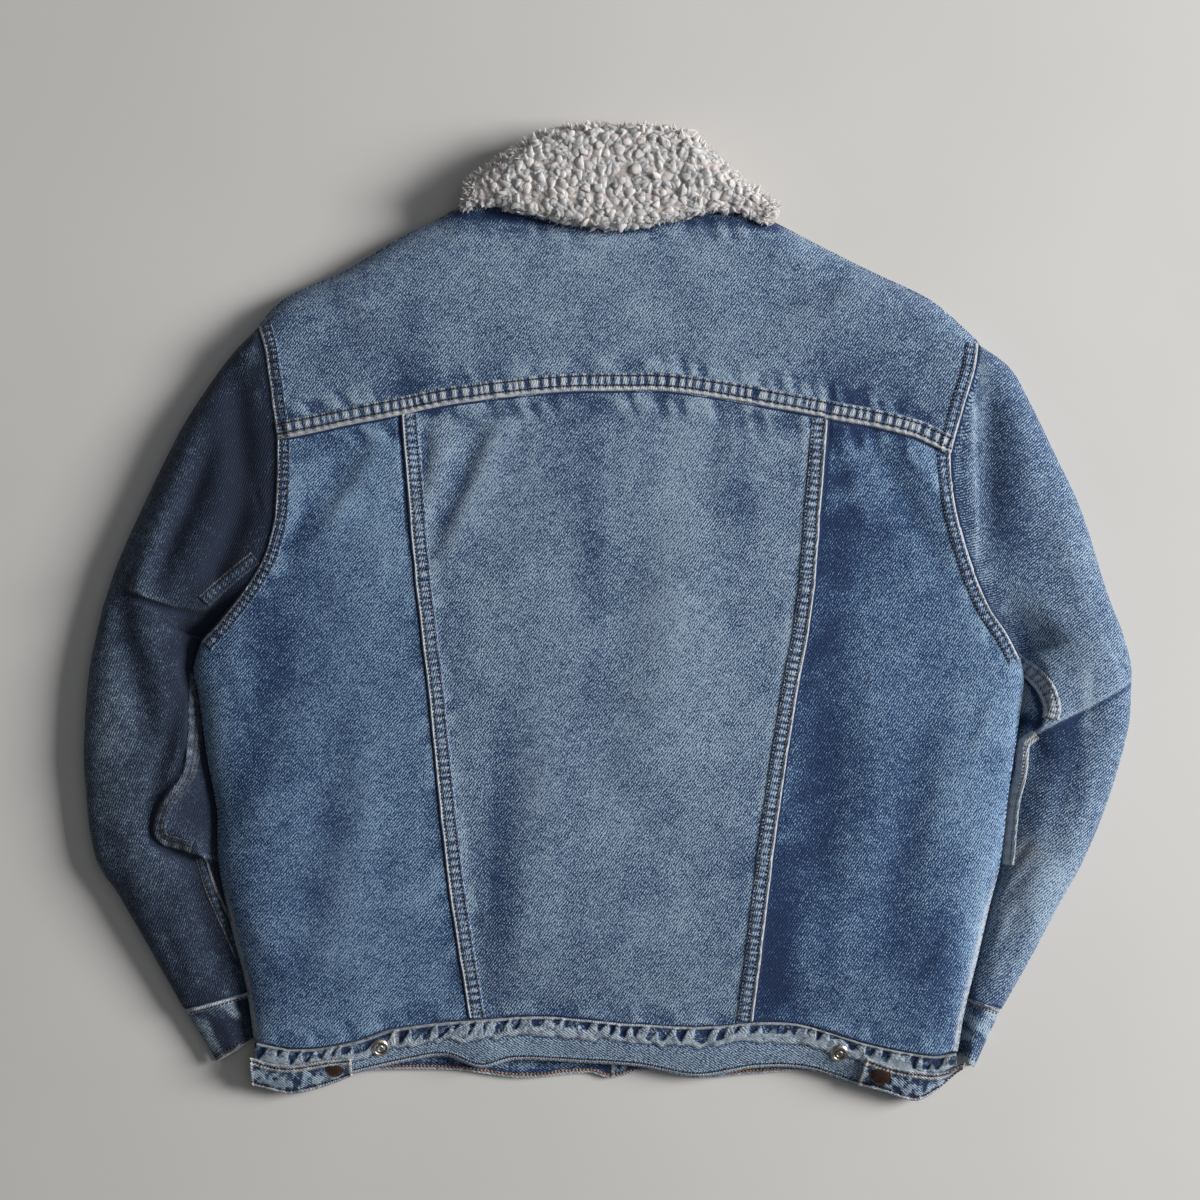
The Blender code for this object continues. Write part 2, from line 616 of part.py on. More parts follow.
    def front_band(self, side):
        """Front band along the closed opening, with pockets where snap caps are pressed in."""
        sign = 1 if side == "right" else -1
        low, high = -320.0, NECK_FOOT
        bpy.ops.mesh.primitive_cube_add(size=1)
        made = bpy.context.object
        made.name = "front_band_" + side
        made.data.name = made.name
        made.scale = ((FRONT_BAND - SEAM_GAP) * MM, (high - low - SEAM_GAP) * MM,
                      (BODY_SPLIT - SEAM_GAP / 2) * MM)
        middle = FRONT_OPENING + sign * FRONT_BAND / 2
        made.location = placed(middle, (low + high) / 2, (BODY_SPLIT - SEAM_GAP / 2) / 2)
        made.data.materials.append(material("denim"))
        bpy.ops.object.transform_apply(location=False, rotation=False, scale=True)
        adopt(made, JACKET)
        return made

    def front_snaps(self, band):
        """Snap caps pressed flush into the left band, each in its own pocket."""
        middle = FRONT_OPENING - FRONT_BAND / 2
        depth = CAP_HEIGHT + SEAM_GAP
        for k in range(FRONT_SNAPS):
            place = placed(middle, SNAP_FIRST + k * SNAP_STEP, 0)
            bpy.ops.mesh.primitive_cylinder_add(
                vertices=TURN_STEPS, radius=(CAP_RADIUS + SEAM_GAP) * MM, depth=2 * depth * MM,
                location=place)
            cutter = bpy.context.object
            cutter.name = "pocket_%d" % (k + 1)
            cutter.hide_render = True
            cutter.display_type = "WIRE"
            adopt(cutter, CUTTERS)
            cut = band.modifiers.new(cutter.name, "BOOLEAN")
            cut.operation = "DIFFERENCE"
            cut.object = cutter
            profile = [(0, CAP_HEIGHT), (CAP_RADIUS, CAP_HEIGHT), (CAP_RADIUS, 0.5),
                       (CAP_RADIUS - 1, 0), (0, 0)]
            turned("front_snap_%d" % (k + 1), profile, place, "copper")

    def build(self):
        """Make every piece of the body."""
        self.side_panel("back_side_left", "left")
        self.side_panel("back_side_right", "right")
        self.centre_panel()
        self.yoke()
        for side in ("left", "right"):
            self.front_panel(side)
        self.front_snaps(self.front_band("left"))
        self.front_band("right")


def adopt(made, collection):
    """Move an object that an operator made into a collection."""
    for holder in list(made.users_collection):
        holder.objects.unlink(made)
    collection.objects.link(made)


# ---------------------------------------------------------------- sleeves
class Sleeve:
    """Top sleeve on under sleeve, sewn to the armhole and tucked under the body."""

    def __init__(self, side, body):
        left = side == "left"
        self.side = side
        self.folds = LEFT_SLEEVE_FOLDS if left else RIGHT_SLEEVE_FOLDS
        outer = OUTER_LEFT if left else OUTER_RIGHT
        yoke = (body.yoke_left if left else body.yoke_right)[1:-1][::-1]
        arm = (body.arm_left if left else body.arm_right)[::-1]
        tuck = spline(TUCK_LEFT if left else TUCK_RIGHT, TUCK_ROWS)[1:]
        upper = [1 - f for f in YOKE_ROWS[1:-1]][::-1]
        middle = [1 - f for f in ARM_ROWS][::-1]
        self.outer = (spline(outer[0], upper) + spline(outer[1], middle)
                      + spline(outer[2], TUCK_ROWS[1:]))
        self.inner = [Point(p.x, p.y) for p in yoke + arm] + tuck
        self.sewn = len(yoke) + len(arm)
        self.underarm = arm[-1]
        self.side_edge = body.left if left else body.right
        self.inwards = 1 if left else -1
        self.heights = body.arm_heights[side][::-1]

    def station(self, row):
        """Crown, seam height and outer roll at a row of the sleeve."""
        place = row / (len(self.inner) - 1) * (len(SLEEVE) - 1)
        i = min(int(place), len(SLEEVE) - 2)
        t = place - i
        return Station(*[a + (b - a) * t for a, b in zip(SLEEVE[i], SLEEVE[i + 1])])

    def clearance(self, x, y):
        """Greatest height of the sleeve at a place beside or under the body's side."""
        best = None
        for a, b in zip(self.side_edge, self.side_edge[1:]):
            run = Vector((b.x - a.x, b.y - a.y))
            t = min(max(Vector((x - a.x, y - a.y)).dot(run) / run.length_squared, 0), 1)
            near = Edge(*[p + (q - p) * t for p, q in zip(a, b)])
            away = distance((x, y), near)
            if best is None or away < best[0]:
                inside = (x - near.x) * self.inwards > 0
                best = (away, near, inside)
        away, near, inside = best
        if inside:
            return min(near.under, 12.4) * tuck_edge(away, near.roll) - SLEEVE_CLEAR
        return min(near.under, 12.4) - SLEEVE_CLEAR + away

    def row(self, j):
        """Plan points and the three heights of one row, from the outer to the inner edge."""
        station = self.station(j)
        outer, inner = self.outer[j], self.inner[j]
        width = distance(outer, inner)
        sewn = j < self.sewn
        inner_top, inner_split = TUCK_TOP, TUCK_SPLIT
        if sewn:
            drawn = smooth(distance(inner, self.underarm) / UNDERARM_DROP)
            inner_top = TUCK_TOP + (self.heights[j] - TUCK_TOP) * drawn
            inner_split = TUCK_SPLIT + (station.split - TUCK_SPLIT) * drawn
        points, tops, splits, unders = [], [], [], []
        for s in SLEEVE_COLUMNS:
            x = outer.x + (inner.x - outer.x) * s
            y = outer.y + (inner.y - outer.y) * s
            out, into = s * width, (1 - s) * width
            roll = min(station.outer_roll, 0.6 * width)
            edge = round_edge(out, roll)
            near = 1 - smooth(into / min(46, 0.75 * width))
            if not sewn:
                near = 1 - (1 - round_edge(into, min(60, 0.8 * width))) ** 1.4
            top = station.crown + (inner_top - station.crown) * near
            rim = station.split + RIM
            calm = (1 - edge) * (1 - near ** 3)
            top = top + (rim - top) * edge + folded(x, y, self.folds) * calm
            split = station.split + (inner_split - station.split) * (1 - smooth(into / 40))
            under = (station.split - RIM) * round_edge(out, roll)
            if not sewn:
                under = max(under, 1.6 * (1 - smooth(into / 12)))
                top = min(top, self.clearance(x, y))
                split = min(split, top - 1.6)
            points.append((x, y))
            tops.append(max(top, split + 1.6))
            splits.append(split)
            unders.append(under)
        return points, tops, splits, unders

    def build(self):
        """Make the top and under sleeve."""
        rows = [self.row(j) for j in range(len(self.inner))]
        plan = sew([row[0] for row in rows])
        tops = [row[1] for row in rows]
        splits = [row[2] for row in rows]
        unders = [row[3] for row in rows]
        half = SEAM_GAP / 2
        slab("sleeve_%s_top" % self.side, plan, tops, [[z + half for z in r] for r in splits],
             "denim")
        slab("sleeve_%s_under" % self.side, plan, [[z - half for z in r] for r in splits],
             unders, "denim")


def cuff(side, corners):
    """Top and under half of a cuff, open between them."""
    across = tuple(i / 8 for i in range(9))
    along = (0, 0.33, 0.67, 1)
    seam, low = corners["seam"], corners["low"]
    ends = [Point(*[a + (b - a) * t for a, b in zip(seam[0], low[0])]) for t in along]
    inner = [Point(*[a + (b - a) * t for a, b in zip(seam[1], low[1])]) for t in along]
    top_edge = [Point(*[a + (b - a) * s for a, b in zip(*seam)]) for s in across]
    low_edge = [Point(*[a + (b - a) * s for a, b in zip(*low)]) for s in across]
    plan = sew(coons(top_edge, low_edge, ends, inner, across, along), CUFF_GAP)
    tops = []
    for j, row in enumerate(plan):
        width = distance(row[0], row[-1])
        heights = []
        for point in row:
            outer = round_edge(distance(point, row[0]), 0.5 * width)
            tucked = smooth(1 - distance(point, row[-1]) / (0.6 * width))
            height = CUFF_TOP - 1.5 * along[j] - 7.5 * outer - 8.6 * tucked
            heights.append(height)
        tops.append(heights)
    sheet("cuff_%s_top" % side, plan, tops, CUFF_WALL, "denim")
    unders = [[CUFF_WALL for _ in row] for row in plan]
    sheet("cuff_%s_under" % side, plan, unders, CUFF_WALL, "denim")


# ---------------------------------------------------------------- waistband and tabs
def between(rows, x):
    """Row at a place across the jacket, straight between its neighbours."""
    x = min(max(x, rows[0].x), rows[-1].x)
    for a, b in zip(rows, rows[1:]):
        if x <= b.x:
            t = (x - a.x) / (b.x - a.x)
            return type(a)(*[p + (q - p) * t for p, q in zip(a, b)])
    return rows[-1]


def band_height(x, y):
    """Height of the back waistband: level at its seam, then rolling down to its edge."""
    seam, edge = between(HEM_SEAM, x), between(WAISTBAND, x)
    down = min(max((seam.y - y) / (seam.y - edge.low_y), 0), 1.1)
    return HEM_TOP - 1 - (HEM_TOP - 1 - edge.low_z) * (0.35 * down + 0.65 * down ** 2)


def waistbands():
    """Back waistband over the two front ones, which rest on the surface."""
    along = (0, 0.25, 0.5, 0.75, 1)
    plan = []
    for t in along:
        plan.append([(p.x, p.y - BAND_GAP + (between(WAISTBAND, p.x).low_y - p.y) * t)
                     for p in Body.hem_points()])
    tops = [[band_height(x, y) for x, y in row] for row in plan]
    sheet("waistband_back", sew(plan), tops, BAND_WALL, "denim_faded")

    low = spline(FRONT_LOW, [i / 36 for i in range(37)])
    for side, hem in (("left", FRONT_HEM), ("right", FRONT_HEM_RIGHT)):
        sign = 1 if side == "right" else -1
        half = [p for p in low if (p.x - FRONT_OPENING) * sign > 4]
        start = Point(FRONT_OPENING, FRONT_LOW[6].y)
        half = [start, *half] if side == "right" else [*half, start]
        seam = sorted(hem + [Point(FRONT_OPENING, hem[-1].y)])
        upper = [(p.x, between(seam, p.x).y - 2 * SEAM_GAP) for p in half]
        lower = [(p.x, p.y) for p in half]
        strip = [[(a[0], a[1] + (b[1] - a[1]) * t) for a, b in zip(upper, lower)]
                 for t in (0, 0.5, 1)]
        heights = [[FRONT_WAISTBAND] * len(row) for row in strip]
        sheet("waistband_front_" + side, sew(strip), heights, FRONT_WAISTBAND, "denim_faded")


def tree_of(name):
    """Search tree of an object's evaluated mesh."""
    graph = bpy.context.evaluated_depsgraph_get()
    return BVHTree.FromObject(bpy.data.objects[name], graph)


def height_on(tree, x, y, missing=None):
    """Height of a piece's upper face at a place of the pattern."""
    start = placed(x, y, 200)
    hit = tree.ray_cast(start, Vector((0, 0, -1)))[0]
    if hit is None:
        return missing
    return hit.z / MM


def tab(side):
    """Waist tab lying on the corner of the waistband."""
    top, low = (TAB_LEFT_TOP, TAB_LEFT_LOW) if side == "left" else (TAB_RIGHT_TOP, TAB_RIGHT_LOW)
    columns = [i / 12 for i in range(13)]
    upper, lower = spline(top, columns), spline(low, columns)
    plan = [[(a.x + (b.x - a.x) * t, a.y + (b.y - a.y) * t) for a, b in zip(upper, lower)]
            for t in (0, 0.25, 0.5, 0.75, 1)]
    band = tree_of("waistband_back")
    near = (-TAB_REACH, 0, TAB_REACH)
    tops = []
    for row in plan:
        tops.append([max(height_on(band, x + dx, y + dy, band_height(x, y))
                         for dx in near for dy in near) + TAB_WALL + TAB_GAP for x, y in row])
    sheet("waist_tab_" + side, plan, tops, TAB_WALL, "denim_faded")


def seat(name, place, radius):
    """Height and tilt about X of a disc that rests on a piece without cutting into it."""
    tree = tree_of(name)
    middle = height_on(tree, place.x, place.y)
    reach = 0.7 * radius
    rise = (height_on(tree, place.x, place.y + reach, middle)
            - height_on(tree, place.x, place.y - reach, middle))
    tilt = math.atan2(rise, 2 * reach)
    clear = 0.0
    for k in range(TURN_STEPS):
        angle = math.tau * k / TURN_STEPS
        dx = radius * math.cos(angle)
        dy = radius * math.sin(angle)
        ground = height_on(tree, place.x + dx, place.y + dy * math.cos(tilt))
        if ground is not None:
            clear = max(clear, ground - middle - dy * math.sin(tilt))
    return middle + clear + SEAM_GAP, tilt


def snaps():
    """Copper caps on the tabs and the open nickel studs beside them."""
    cap = [(0, CAP_HEIGHT), (0.45 * CAP_RADIUS, 0.95 * CAP_HEIGHT),
           (0.85 * CAP_RADIUS, 0.72 * CAP_HEIGHT), (CAP_RADIUS, 0.4 * CAP_HEIGHT),
           (0.97 * CAP_RADIUS, 0), (0, 0)]
    stud = [(0, 1.2), (2.2, 1.2), (2.6, STUD_HEIGHT), (3.8, STUD_HEIGHT), (4.4, 1.4),
            (STUD_RADIUS - 0.8, 1.4), (STUD_RADIUS, 0.8), (STUD_RADIUS, 0), (0, 0)]
    for side in ("left", "right"):
        place = CAPS[side]
        height, tilt = seat("waist_tab_" + side, place, CAP_RADIUS)
        turned("snap_cap_" + side, cap, placed(place.x, place.y, height), "copper", tilt)
        place = STUDS[side]
        height, tilt = seat("waistband_back", place, STUD_RADIUS)
        turned("stud_" + side, stud, placed(place.x, place.y, height), "nickel", tilt)


# ---------------------------------------------------------------- collar
Leaf = namedtuple("Leaf", "x y out_x out_y top floor")

# The collar's leaf from the left end to the right end: a point of its free edge, the
# point of its roll across from it, its height, and the height of the stand's underside.
COLLAR = [
    Leaf(-110, 305, -106, 325, 34, 15), Leaf(-96, 311, -93, 334, 40, 14),
    Leaf(-80, 309, -76, 346, 43, 13.5), Leaf(-58, 304, -52, 361, 45, 10),
    Leaf(-30, 297, -27, 368, 46, 4), Leaf(5, 293, 6, 369, 46, 3),
    Leaf(38, 297, 37, 368, 46, 4), Leaf(62, 302, 60, 363, 45, 10),
    Leaf(84, 306, 83, 345, 43, 13.5), Leaf(103, 304, 106, 324, 40, 14),
    Leaf(123, 294, 130, 308, 34, 15),
]


def collar_section(leaf, yoke):
    """Closed section of the folded sherpa as (reach, height) pairs."""
    reach = distance((leaf.x, leaf.y), (leaf.out_x, leaf.out_y))
    lap = min(COLLAR_LAP, 0.55 * reach)
    wall = min(PILE, 0.34 * reach, 0.42 * (leaf.top - leaf.floor))
    middle = (leaf.top + leaf.floor) / 2
    turn = 0.5 * (leaf.top - leaf.floor)
    bend = min(turn, reach - lap - wall * 0.5)
    outer = [(reach - bend * (1 - math.sin(a)), middle + turn * math.cos(a))
             for a in (math.radians(d) for d in range(0, 181, 30))]
    inner_turn = max(turn - wall, 0.8)
    inner_bend = max(bend - wall, 0.4)
    inner = [(reach - wall - inner_bend * (1 - math.sin(a)), middle + inner_turn * math.cos(a))
             for a in (math.radians(d) for d in range(180, -1, -45))]
    low = under_leaf(leaf, yoke) + UNDER_COLLAR + 2 * LEAF_GAP
    section = [(0.0, low), (-0.6, (leaf.top + low) / 2 - 1), (2.6, leaf.top - 2.4)]
    section += outer
    section += [(lap, leaf.floor), (lap, leaf.floor + wall)]
    section += inner
    return section


def under_leaf(leaf, yoke):
    """Highest point of the yoke under a leaf's free edge."""
    out = Vector((leaf.out_x - leaf.x, leaf.out_y - leaf.y)).normalized()
    reached = [height_on(yoke, leaf.x + out.x * r, leaf.y + out.y * r, 0.0)
               for r in (-4, -2, 0, 2, 4, 6, 8)]
    return max(max(reached), 26.0)


def under_section(leaf, yoke):
    """Closed section of the denim strip that follows the sherpa's inner fold."""
    sherpa = collar_section(leaf, yoke)
    edge_low, inner = sherpa[0][1], sherpa[12:17]
    middle = sum(z for _, z in inner) / len(inner)
    outer = [(r - LEAF_GAP, z + (LEAF_GAP if z < middle else -LEAF_GAP)) for r, z in inner]
    outer[2] = (inner[2][0] - LEAF_GAP, middle)
    wall = UNDER_COLLAR
    nested = [(r - wall, z + (wall if z < middle else -wall)) for r, z in outer]
    nested[2] = (outer[2][0] - wall, middle)
    tip, high = -2.4, edge_low - LEAF_GAP
    path = [(COLLAR_LAP, outer[0][1])] + outer + [(tip, high), (tip, high - wall)]
    return path + nested[::-1] + [(COLLAR_LAP, outer[0][1] + wall)]


def collar():
    """Sherpa leaf and stand folded over at the back neck, with the denim inside the fold."""
    rows = spline(COLLAR, [i / 22 for i in range(23)])
    yoke = tree_of("yoke_back")
    loft("collar_sherpa", rows, lambda leaf: collar_section(leaf, yoke), "sherpa")
    loft("collar_under", rows[4:-4], lambda leaf: under_section(leaf, yoke), "denim_dark")


def loft(name, rows, section_of, slot):
    """Join the closed sections of all rows and cap both ends."""
    bm = bmesh.new()
    rings = []
    for leaf in rows:
        out = Vector((leaf.out_x - leaf.x, leaf.out_y - leaf.y)).normalized()
        ring = [bm.verts.new(placed(leaf.x + out.x * r, leaf.y + out.y * r, z))
                for r, z in section_of(leaf)]
        rings.append(ring)
    for a, b in zip(rings, rings[1:]):
        for k in range(len(a)):
            n = (k + 1) % len(a)
            bm.faces.new((a[k], a[n], b[n], b[k]))
    bm.faces.new(rings[0])
    bm.faces.new(rings[-1][::-1])
    return add(name, bm, slot)


def collar_end(side):
    """Front end of the collar, plain on the surface inside the front neckline."""
    neck = NECK_LEFT if side == "left" else NECK_RIGHT
    sign = -1 if side == "left" else 1
    middle = FRONT_OPENING + sign * 0.4
    low = [neck, Point(FRONT_OPENING + sign * FRONT_BAND, NECK_FOOT), Point(middle, NECK_FOOT)]
    high = [Point(neck.x - sign * 22, neck.y + 20), Point(neck.x - sign * 62, neck.y - 8),
            Point(middle, 276)]
    across = (0, 0.15, 0.35, 0.55, 0.75, 1)
    along = (0, 0.2, 0.5, 0.8, 1)

    def bend(points):
        share = FRONT_COLUMNS[-2]
        line = []
        for s in across:
            a, b, t = (points[0], points[1], s / share) if s < share else (
                points[1], points[2], (s - share) / (1 - share))
            line.append(Point(a.x + (b.x - a.x) * t, a.y + (b.y - a.y) * t))
        return line

    lower, upper = bend(low), bend(high)
    left = [Point(*[a + (b - a) * t for a, b in zip(lower[0], upper[0])]) for t in along]
    right = [Point(*[a + (b - a) * t for a, b in zip(lower[-1], upper[-1])]) for t in along]
    plan = sew(coons(lower, upper, left, right, across, along), 2 * SEAM_GAP)
    tops = [[COLLAR_END] * len(row) for row in plan]
    unders = [[0.0] * len(row) for row in plan]
    return slab("collar_end_" + side, plan, tops, unders, "sherpa")


# ---------------------------------------------------------------- assembly
def clear():
    """Remove the scene's objects."""
    for old in list(bpy.data.objects):
        bpy.data.objects.remove(old, do_unlink=True)


def collection(name):
    """A new collection in the scene."""
    made = bpy.data.collections.new(name)
    bpy.context.scene.collection.children.link(made)
    return made


clear()
JACKET = collection("sherpa_lined_jacket")
CUTTERS = collection("cutters")

body = Body()
body.build()
waistbands()
for hand, corner in (("left", CUFF_LEFT), ("right", CUFF_RIGHT)):
    Sleeve(hand, body).build()
    cuff(hand, corner)
    tab(hand)
    collar_end(hand)
snaps()
collar()
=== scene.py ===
"""Looks of a sherpa lined denim jacket, laid on its front with its back up.

Sizes and places are millimetres in the pattern's own plan: x across the jacket, y up to the
collar and z up from the surface. They turn into metres where a mesh is made.
"""

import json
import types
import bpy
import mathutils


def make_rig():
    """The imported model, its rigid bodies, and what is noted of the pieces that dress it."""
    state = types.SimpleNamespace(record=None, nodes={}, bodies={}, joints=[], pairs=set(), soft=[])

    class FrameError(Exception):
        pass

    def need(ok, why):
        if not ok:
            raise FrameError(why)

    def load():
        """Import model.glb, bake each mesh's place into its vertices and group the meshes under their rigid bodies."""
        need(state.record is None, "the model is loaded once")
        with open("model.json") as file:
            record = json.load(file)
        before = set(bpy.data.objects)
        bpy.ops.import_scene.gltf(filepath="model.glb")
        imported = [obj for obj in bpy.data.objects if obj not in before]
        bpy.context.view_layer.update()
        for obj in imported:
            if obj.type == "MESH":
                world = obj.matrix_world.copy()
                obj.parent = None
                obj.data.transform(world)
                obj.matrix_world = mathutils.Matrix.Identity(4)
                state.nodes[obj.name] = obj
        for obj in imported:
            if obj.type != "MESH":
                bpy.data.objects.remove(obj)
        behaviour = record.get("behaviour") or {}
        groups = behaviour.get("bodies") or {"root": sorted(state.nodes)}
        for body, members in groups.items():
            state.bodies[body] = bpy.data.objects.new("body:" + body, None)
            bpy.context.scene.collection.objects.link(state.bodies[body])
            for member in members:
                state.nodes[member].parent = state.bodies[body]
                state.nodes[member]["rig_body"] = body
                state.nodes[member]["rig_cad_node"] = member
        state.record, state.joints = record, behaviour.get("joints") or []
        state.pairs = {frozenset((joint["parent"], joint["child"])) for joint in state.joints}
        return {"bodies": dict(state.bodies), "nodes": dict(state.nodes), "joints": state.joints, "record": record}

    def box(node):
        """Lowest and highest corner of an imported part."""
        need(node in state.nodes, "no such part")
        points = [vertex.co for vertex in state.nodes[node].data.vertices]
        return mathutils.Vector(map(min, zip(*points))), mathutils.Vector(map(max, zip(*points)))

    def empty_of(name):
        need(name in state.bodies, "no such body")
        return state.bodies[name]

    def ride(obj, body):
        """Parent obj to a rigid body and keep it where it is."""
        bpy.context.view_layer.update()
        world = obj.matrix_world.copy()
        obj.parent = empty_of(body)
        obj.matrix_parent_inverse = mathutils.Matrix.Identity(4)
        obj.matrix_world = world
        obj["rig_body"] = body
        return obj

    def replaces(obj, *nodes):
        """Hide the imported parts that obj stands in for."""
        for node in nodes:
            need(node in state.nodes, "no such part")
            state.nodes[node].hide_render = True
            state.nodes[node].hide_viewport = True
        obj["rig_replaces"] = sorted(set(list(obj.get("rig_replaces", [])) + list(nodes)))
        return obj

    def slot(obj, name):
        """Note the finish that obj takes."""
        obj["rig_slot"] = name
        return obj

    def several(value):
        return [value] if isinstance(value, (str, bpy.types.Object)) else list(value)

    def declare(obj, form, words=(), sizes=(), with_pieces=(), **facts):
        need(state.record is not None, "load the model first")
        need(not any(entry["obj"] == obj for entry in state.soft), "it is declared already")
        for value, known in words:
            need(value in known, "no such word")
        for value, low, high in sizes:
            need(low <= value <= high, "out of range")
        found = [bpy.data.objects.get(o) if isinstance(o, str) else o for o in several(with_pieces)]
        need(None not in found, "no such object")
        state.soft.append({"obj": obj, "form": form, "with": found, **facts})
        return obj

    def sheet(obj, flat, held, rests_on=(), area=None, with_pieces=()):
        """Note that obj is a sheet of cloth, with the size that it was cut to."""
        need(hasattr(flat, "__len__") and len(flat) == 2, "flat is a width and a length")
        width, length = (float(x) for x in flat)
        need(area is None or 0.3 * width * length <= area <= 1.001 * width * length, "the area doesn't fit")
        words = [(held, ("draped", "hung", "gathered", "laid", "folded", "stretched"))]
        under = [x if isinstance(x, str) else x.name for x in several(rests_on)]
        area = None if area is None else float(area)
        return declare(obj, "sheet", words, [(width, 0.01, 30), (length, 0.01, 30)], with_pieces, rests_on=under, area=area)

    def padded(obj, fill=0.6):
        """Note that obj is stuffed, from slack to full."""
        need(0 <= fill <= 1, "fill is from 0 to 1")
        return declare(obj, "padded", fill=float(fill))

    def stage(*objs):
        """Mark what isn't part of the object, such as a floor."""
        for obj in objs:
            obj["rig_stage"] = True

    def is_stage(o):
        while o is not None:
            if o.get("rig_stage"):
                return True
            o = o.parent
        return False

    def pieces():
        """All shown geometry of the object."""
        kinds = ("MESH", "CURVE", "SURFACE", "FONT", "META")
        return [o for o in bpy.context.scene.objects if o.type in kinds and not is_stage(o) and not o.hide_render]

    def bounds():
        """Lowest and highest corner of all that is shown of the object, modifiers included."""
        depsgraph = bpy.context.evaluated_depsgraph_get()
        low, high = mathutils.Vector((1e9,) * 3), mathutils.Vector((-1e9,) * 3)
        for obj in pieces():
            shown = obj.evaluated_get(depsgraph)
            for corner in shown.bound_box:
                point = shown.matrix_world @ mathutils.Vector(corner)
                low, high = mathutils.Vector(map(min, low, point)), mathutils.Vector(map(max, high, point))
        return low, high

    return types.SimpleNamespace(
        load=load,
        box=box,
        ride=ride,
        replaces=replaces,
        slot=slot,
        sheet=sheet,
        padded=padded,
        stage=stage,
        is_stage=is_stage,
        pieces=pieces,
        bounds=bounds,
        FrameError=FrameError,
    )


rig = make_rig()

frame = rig.load()
CAD_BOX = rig.bounds()

import json
import logging
import math
from dataclasses import dataclass, field
from enum import Enum
from typing import Callable, Iterable, Sequence

import bpy
import numpy as np
from bpy.types import Material, Node, NodeSocket, NodeTree, Object
from mathutils import Vector
from mathutils.bvhtree import BVHTree

LOG = logging.getLogger("jacket")
MM = 0.001
ORIGIN = np.array([0.826, -0.962])      # middle of the laid jacket in the pattern's plan
SIZES_FILE = "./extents.json"
TINY = 1e-6
SIDE_LIFT = 12.4                        # highest underside of the body over a tucked sleeve
ARM_RIM = 31.0                          # height of the cloth along an armhole
ALL_ROUND = ("low", "high", "start", "end")

Array = np.ndarray
Rows = Sequence[tuple[float, ...]]
Triple = tuple[float, float, float]
Heights = Callable[[Array, Array], Array]


class Side(Enum):
    """The wearer's left or right, with the sign of its place across the jacket."""

    LEFT = "left"
    RIGHT = "right"

    @property
    def sign(self) -> int:
        """-1 on the left and 1 on the right."""
        return 1 if self is Side.RIGHT else -1

    @property
    def free(self) -> str:
        """Side of a panel's grid that lies at the jacket's free side."""
        return "end" if self is Side.RIGHT else "start"


def by_side(left: object, right: object) -> dict:
    """Dataclass field that holds a value for each side."""
    return field(default_factory=lambda: {Side.LEFT: left, Side.RIGHT: right})


# ---------------------------------------------------------------- curves and relief
def smooth(value: Array) -> Array:
    """Smooth step from 0 to 1."""
    value = np.clip(value, 0.0, 1.0)
    return value * value * (3 - 2 * value)


def bell(value: Array, width: float) -> Array:
    """1 at nought, falling off to both sides over a width."""
    return np.exp(-((value / width) ** 2))


def round_edge(distance: Array, roll: Array) -> Array:
    """1 at a rounded edge, falling to 0 along a quarter ellipse where its roll ends."""
    q = np.clip(distance / roll, 0.0, 1.0)
    return 1 - np.sqrt(1 - (1 - q) ** 2)


def tuck_edge(distance: Array, roll: Array) -> Array:
    """1 at an edge lifted over a sleeve, falling to 0 where it rests."""
    return (1 - np.clip(distance / roll, 0.0, 1.0)) ** 1.5


def reach_of(points: Array) -> Array:
    """Length along a line of points, from its first one."""
    steps = np.diff(points[:, :2], axis=0)
    return np.concatenate([[0.0], np.cumsum(np.hypot(steps[:, 0], steps[:, 1]))])


def flow(rows: Rows | Array, fractions: Array) -> Array:
    """Places on a smooth curve through rows.

    Args:
        rows: Points whose first two columns are their place in plan.
        fractions: Where along the curve, each from 0 to 1.

    Returns:
        One row for each fraction, with as many columns as the given rows.
    """
    rows = np.asarray(rows, float)
    chord = reach_of(rows)
    last = len(rows) - 1
    place = np.asarray(fractions, float) * chord[-1]
    i = np.clip(np.searchsorted(chord, place + 1e-9, side="right") - 1, 0, last - 1)
    index = np.arange(last + 1)
    before, after = np.maximum(index - 1, 0), np.minimum(index + 1, last)
    slopes = (rows[after] - rows[before]) / (chord[after] - chord[before])[:, None]
    span = (chord[i + 1] - chord[i])[:, None]
    t = np.minimum((place - chord[i])[:, None] / span, 1.0)
    t2, t3 = t * t, t * t * t
    return (rows[i] * (2 * t3 - 3 * t2 + 1) + slopes[i] * span * (t3 - 2 * t2 + t)
            + rows[i + 1] * (3 * t2 - 2 * t3) + slopes[i + 1] * span * (t3 - t2))


def stretch(rows: Rows, first: int, last: int, fractions: Array) -> Array:
    """Points of a seam between two of its rows.

    Args:
        rows: Rows of the whole seam.
        first: Number of the row it starts at.
        last: Number of the row it ends at.
        fractions: Where along the part, each from 0 to 1.

    Returns:
        One row for each fraction.
    """
    chord = reach_of(np.asarray(rows, float))
    start, end = chord[first] / chord[-1], chord[last] / chord[-1]
    return flow(rows, start + (end - start) * np.asarray(fractions))


def across_at(rows: Rows, x: Array, column: int) -> Array:
    """One column of a smooth edge at places across the jacket.

    Args:
        rows: Rows of the edge.
        x: Places across.
        column: The column that is wanted.

    Returns:
        One value for each place.
    """
    dense = flow(rows, np.linspace(0, 1, 400))
    order = np.argsort(dense[:, 0])
    return np.interp(x, dense[order, 0], dense[order, column])


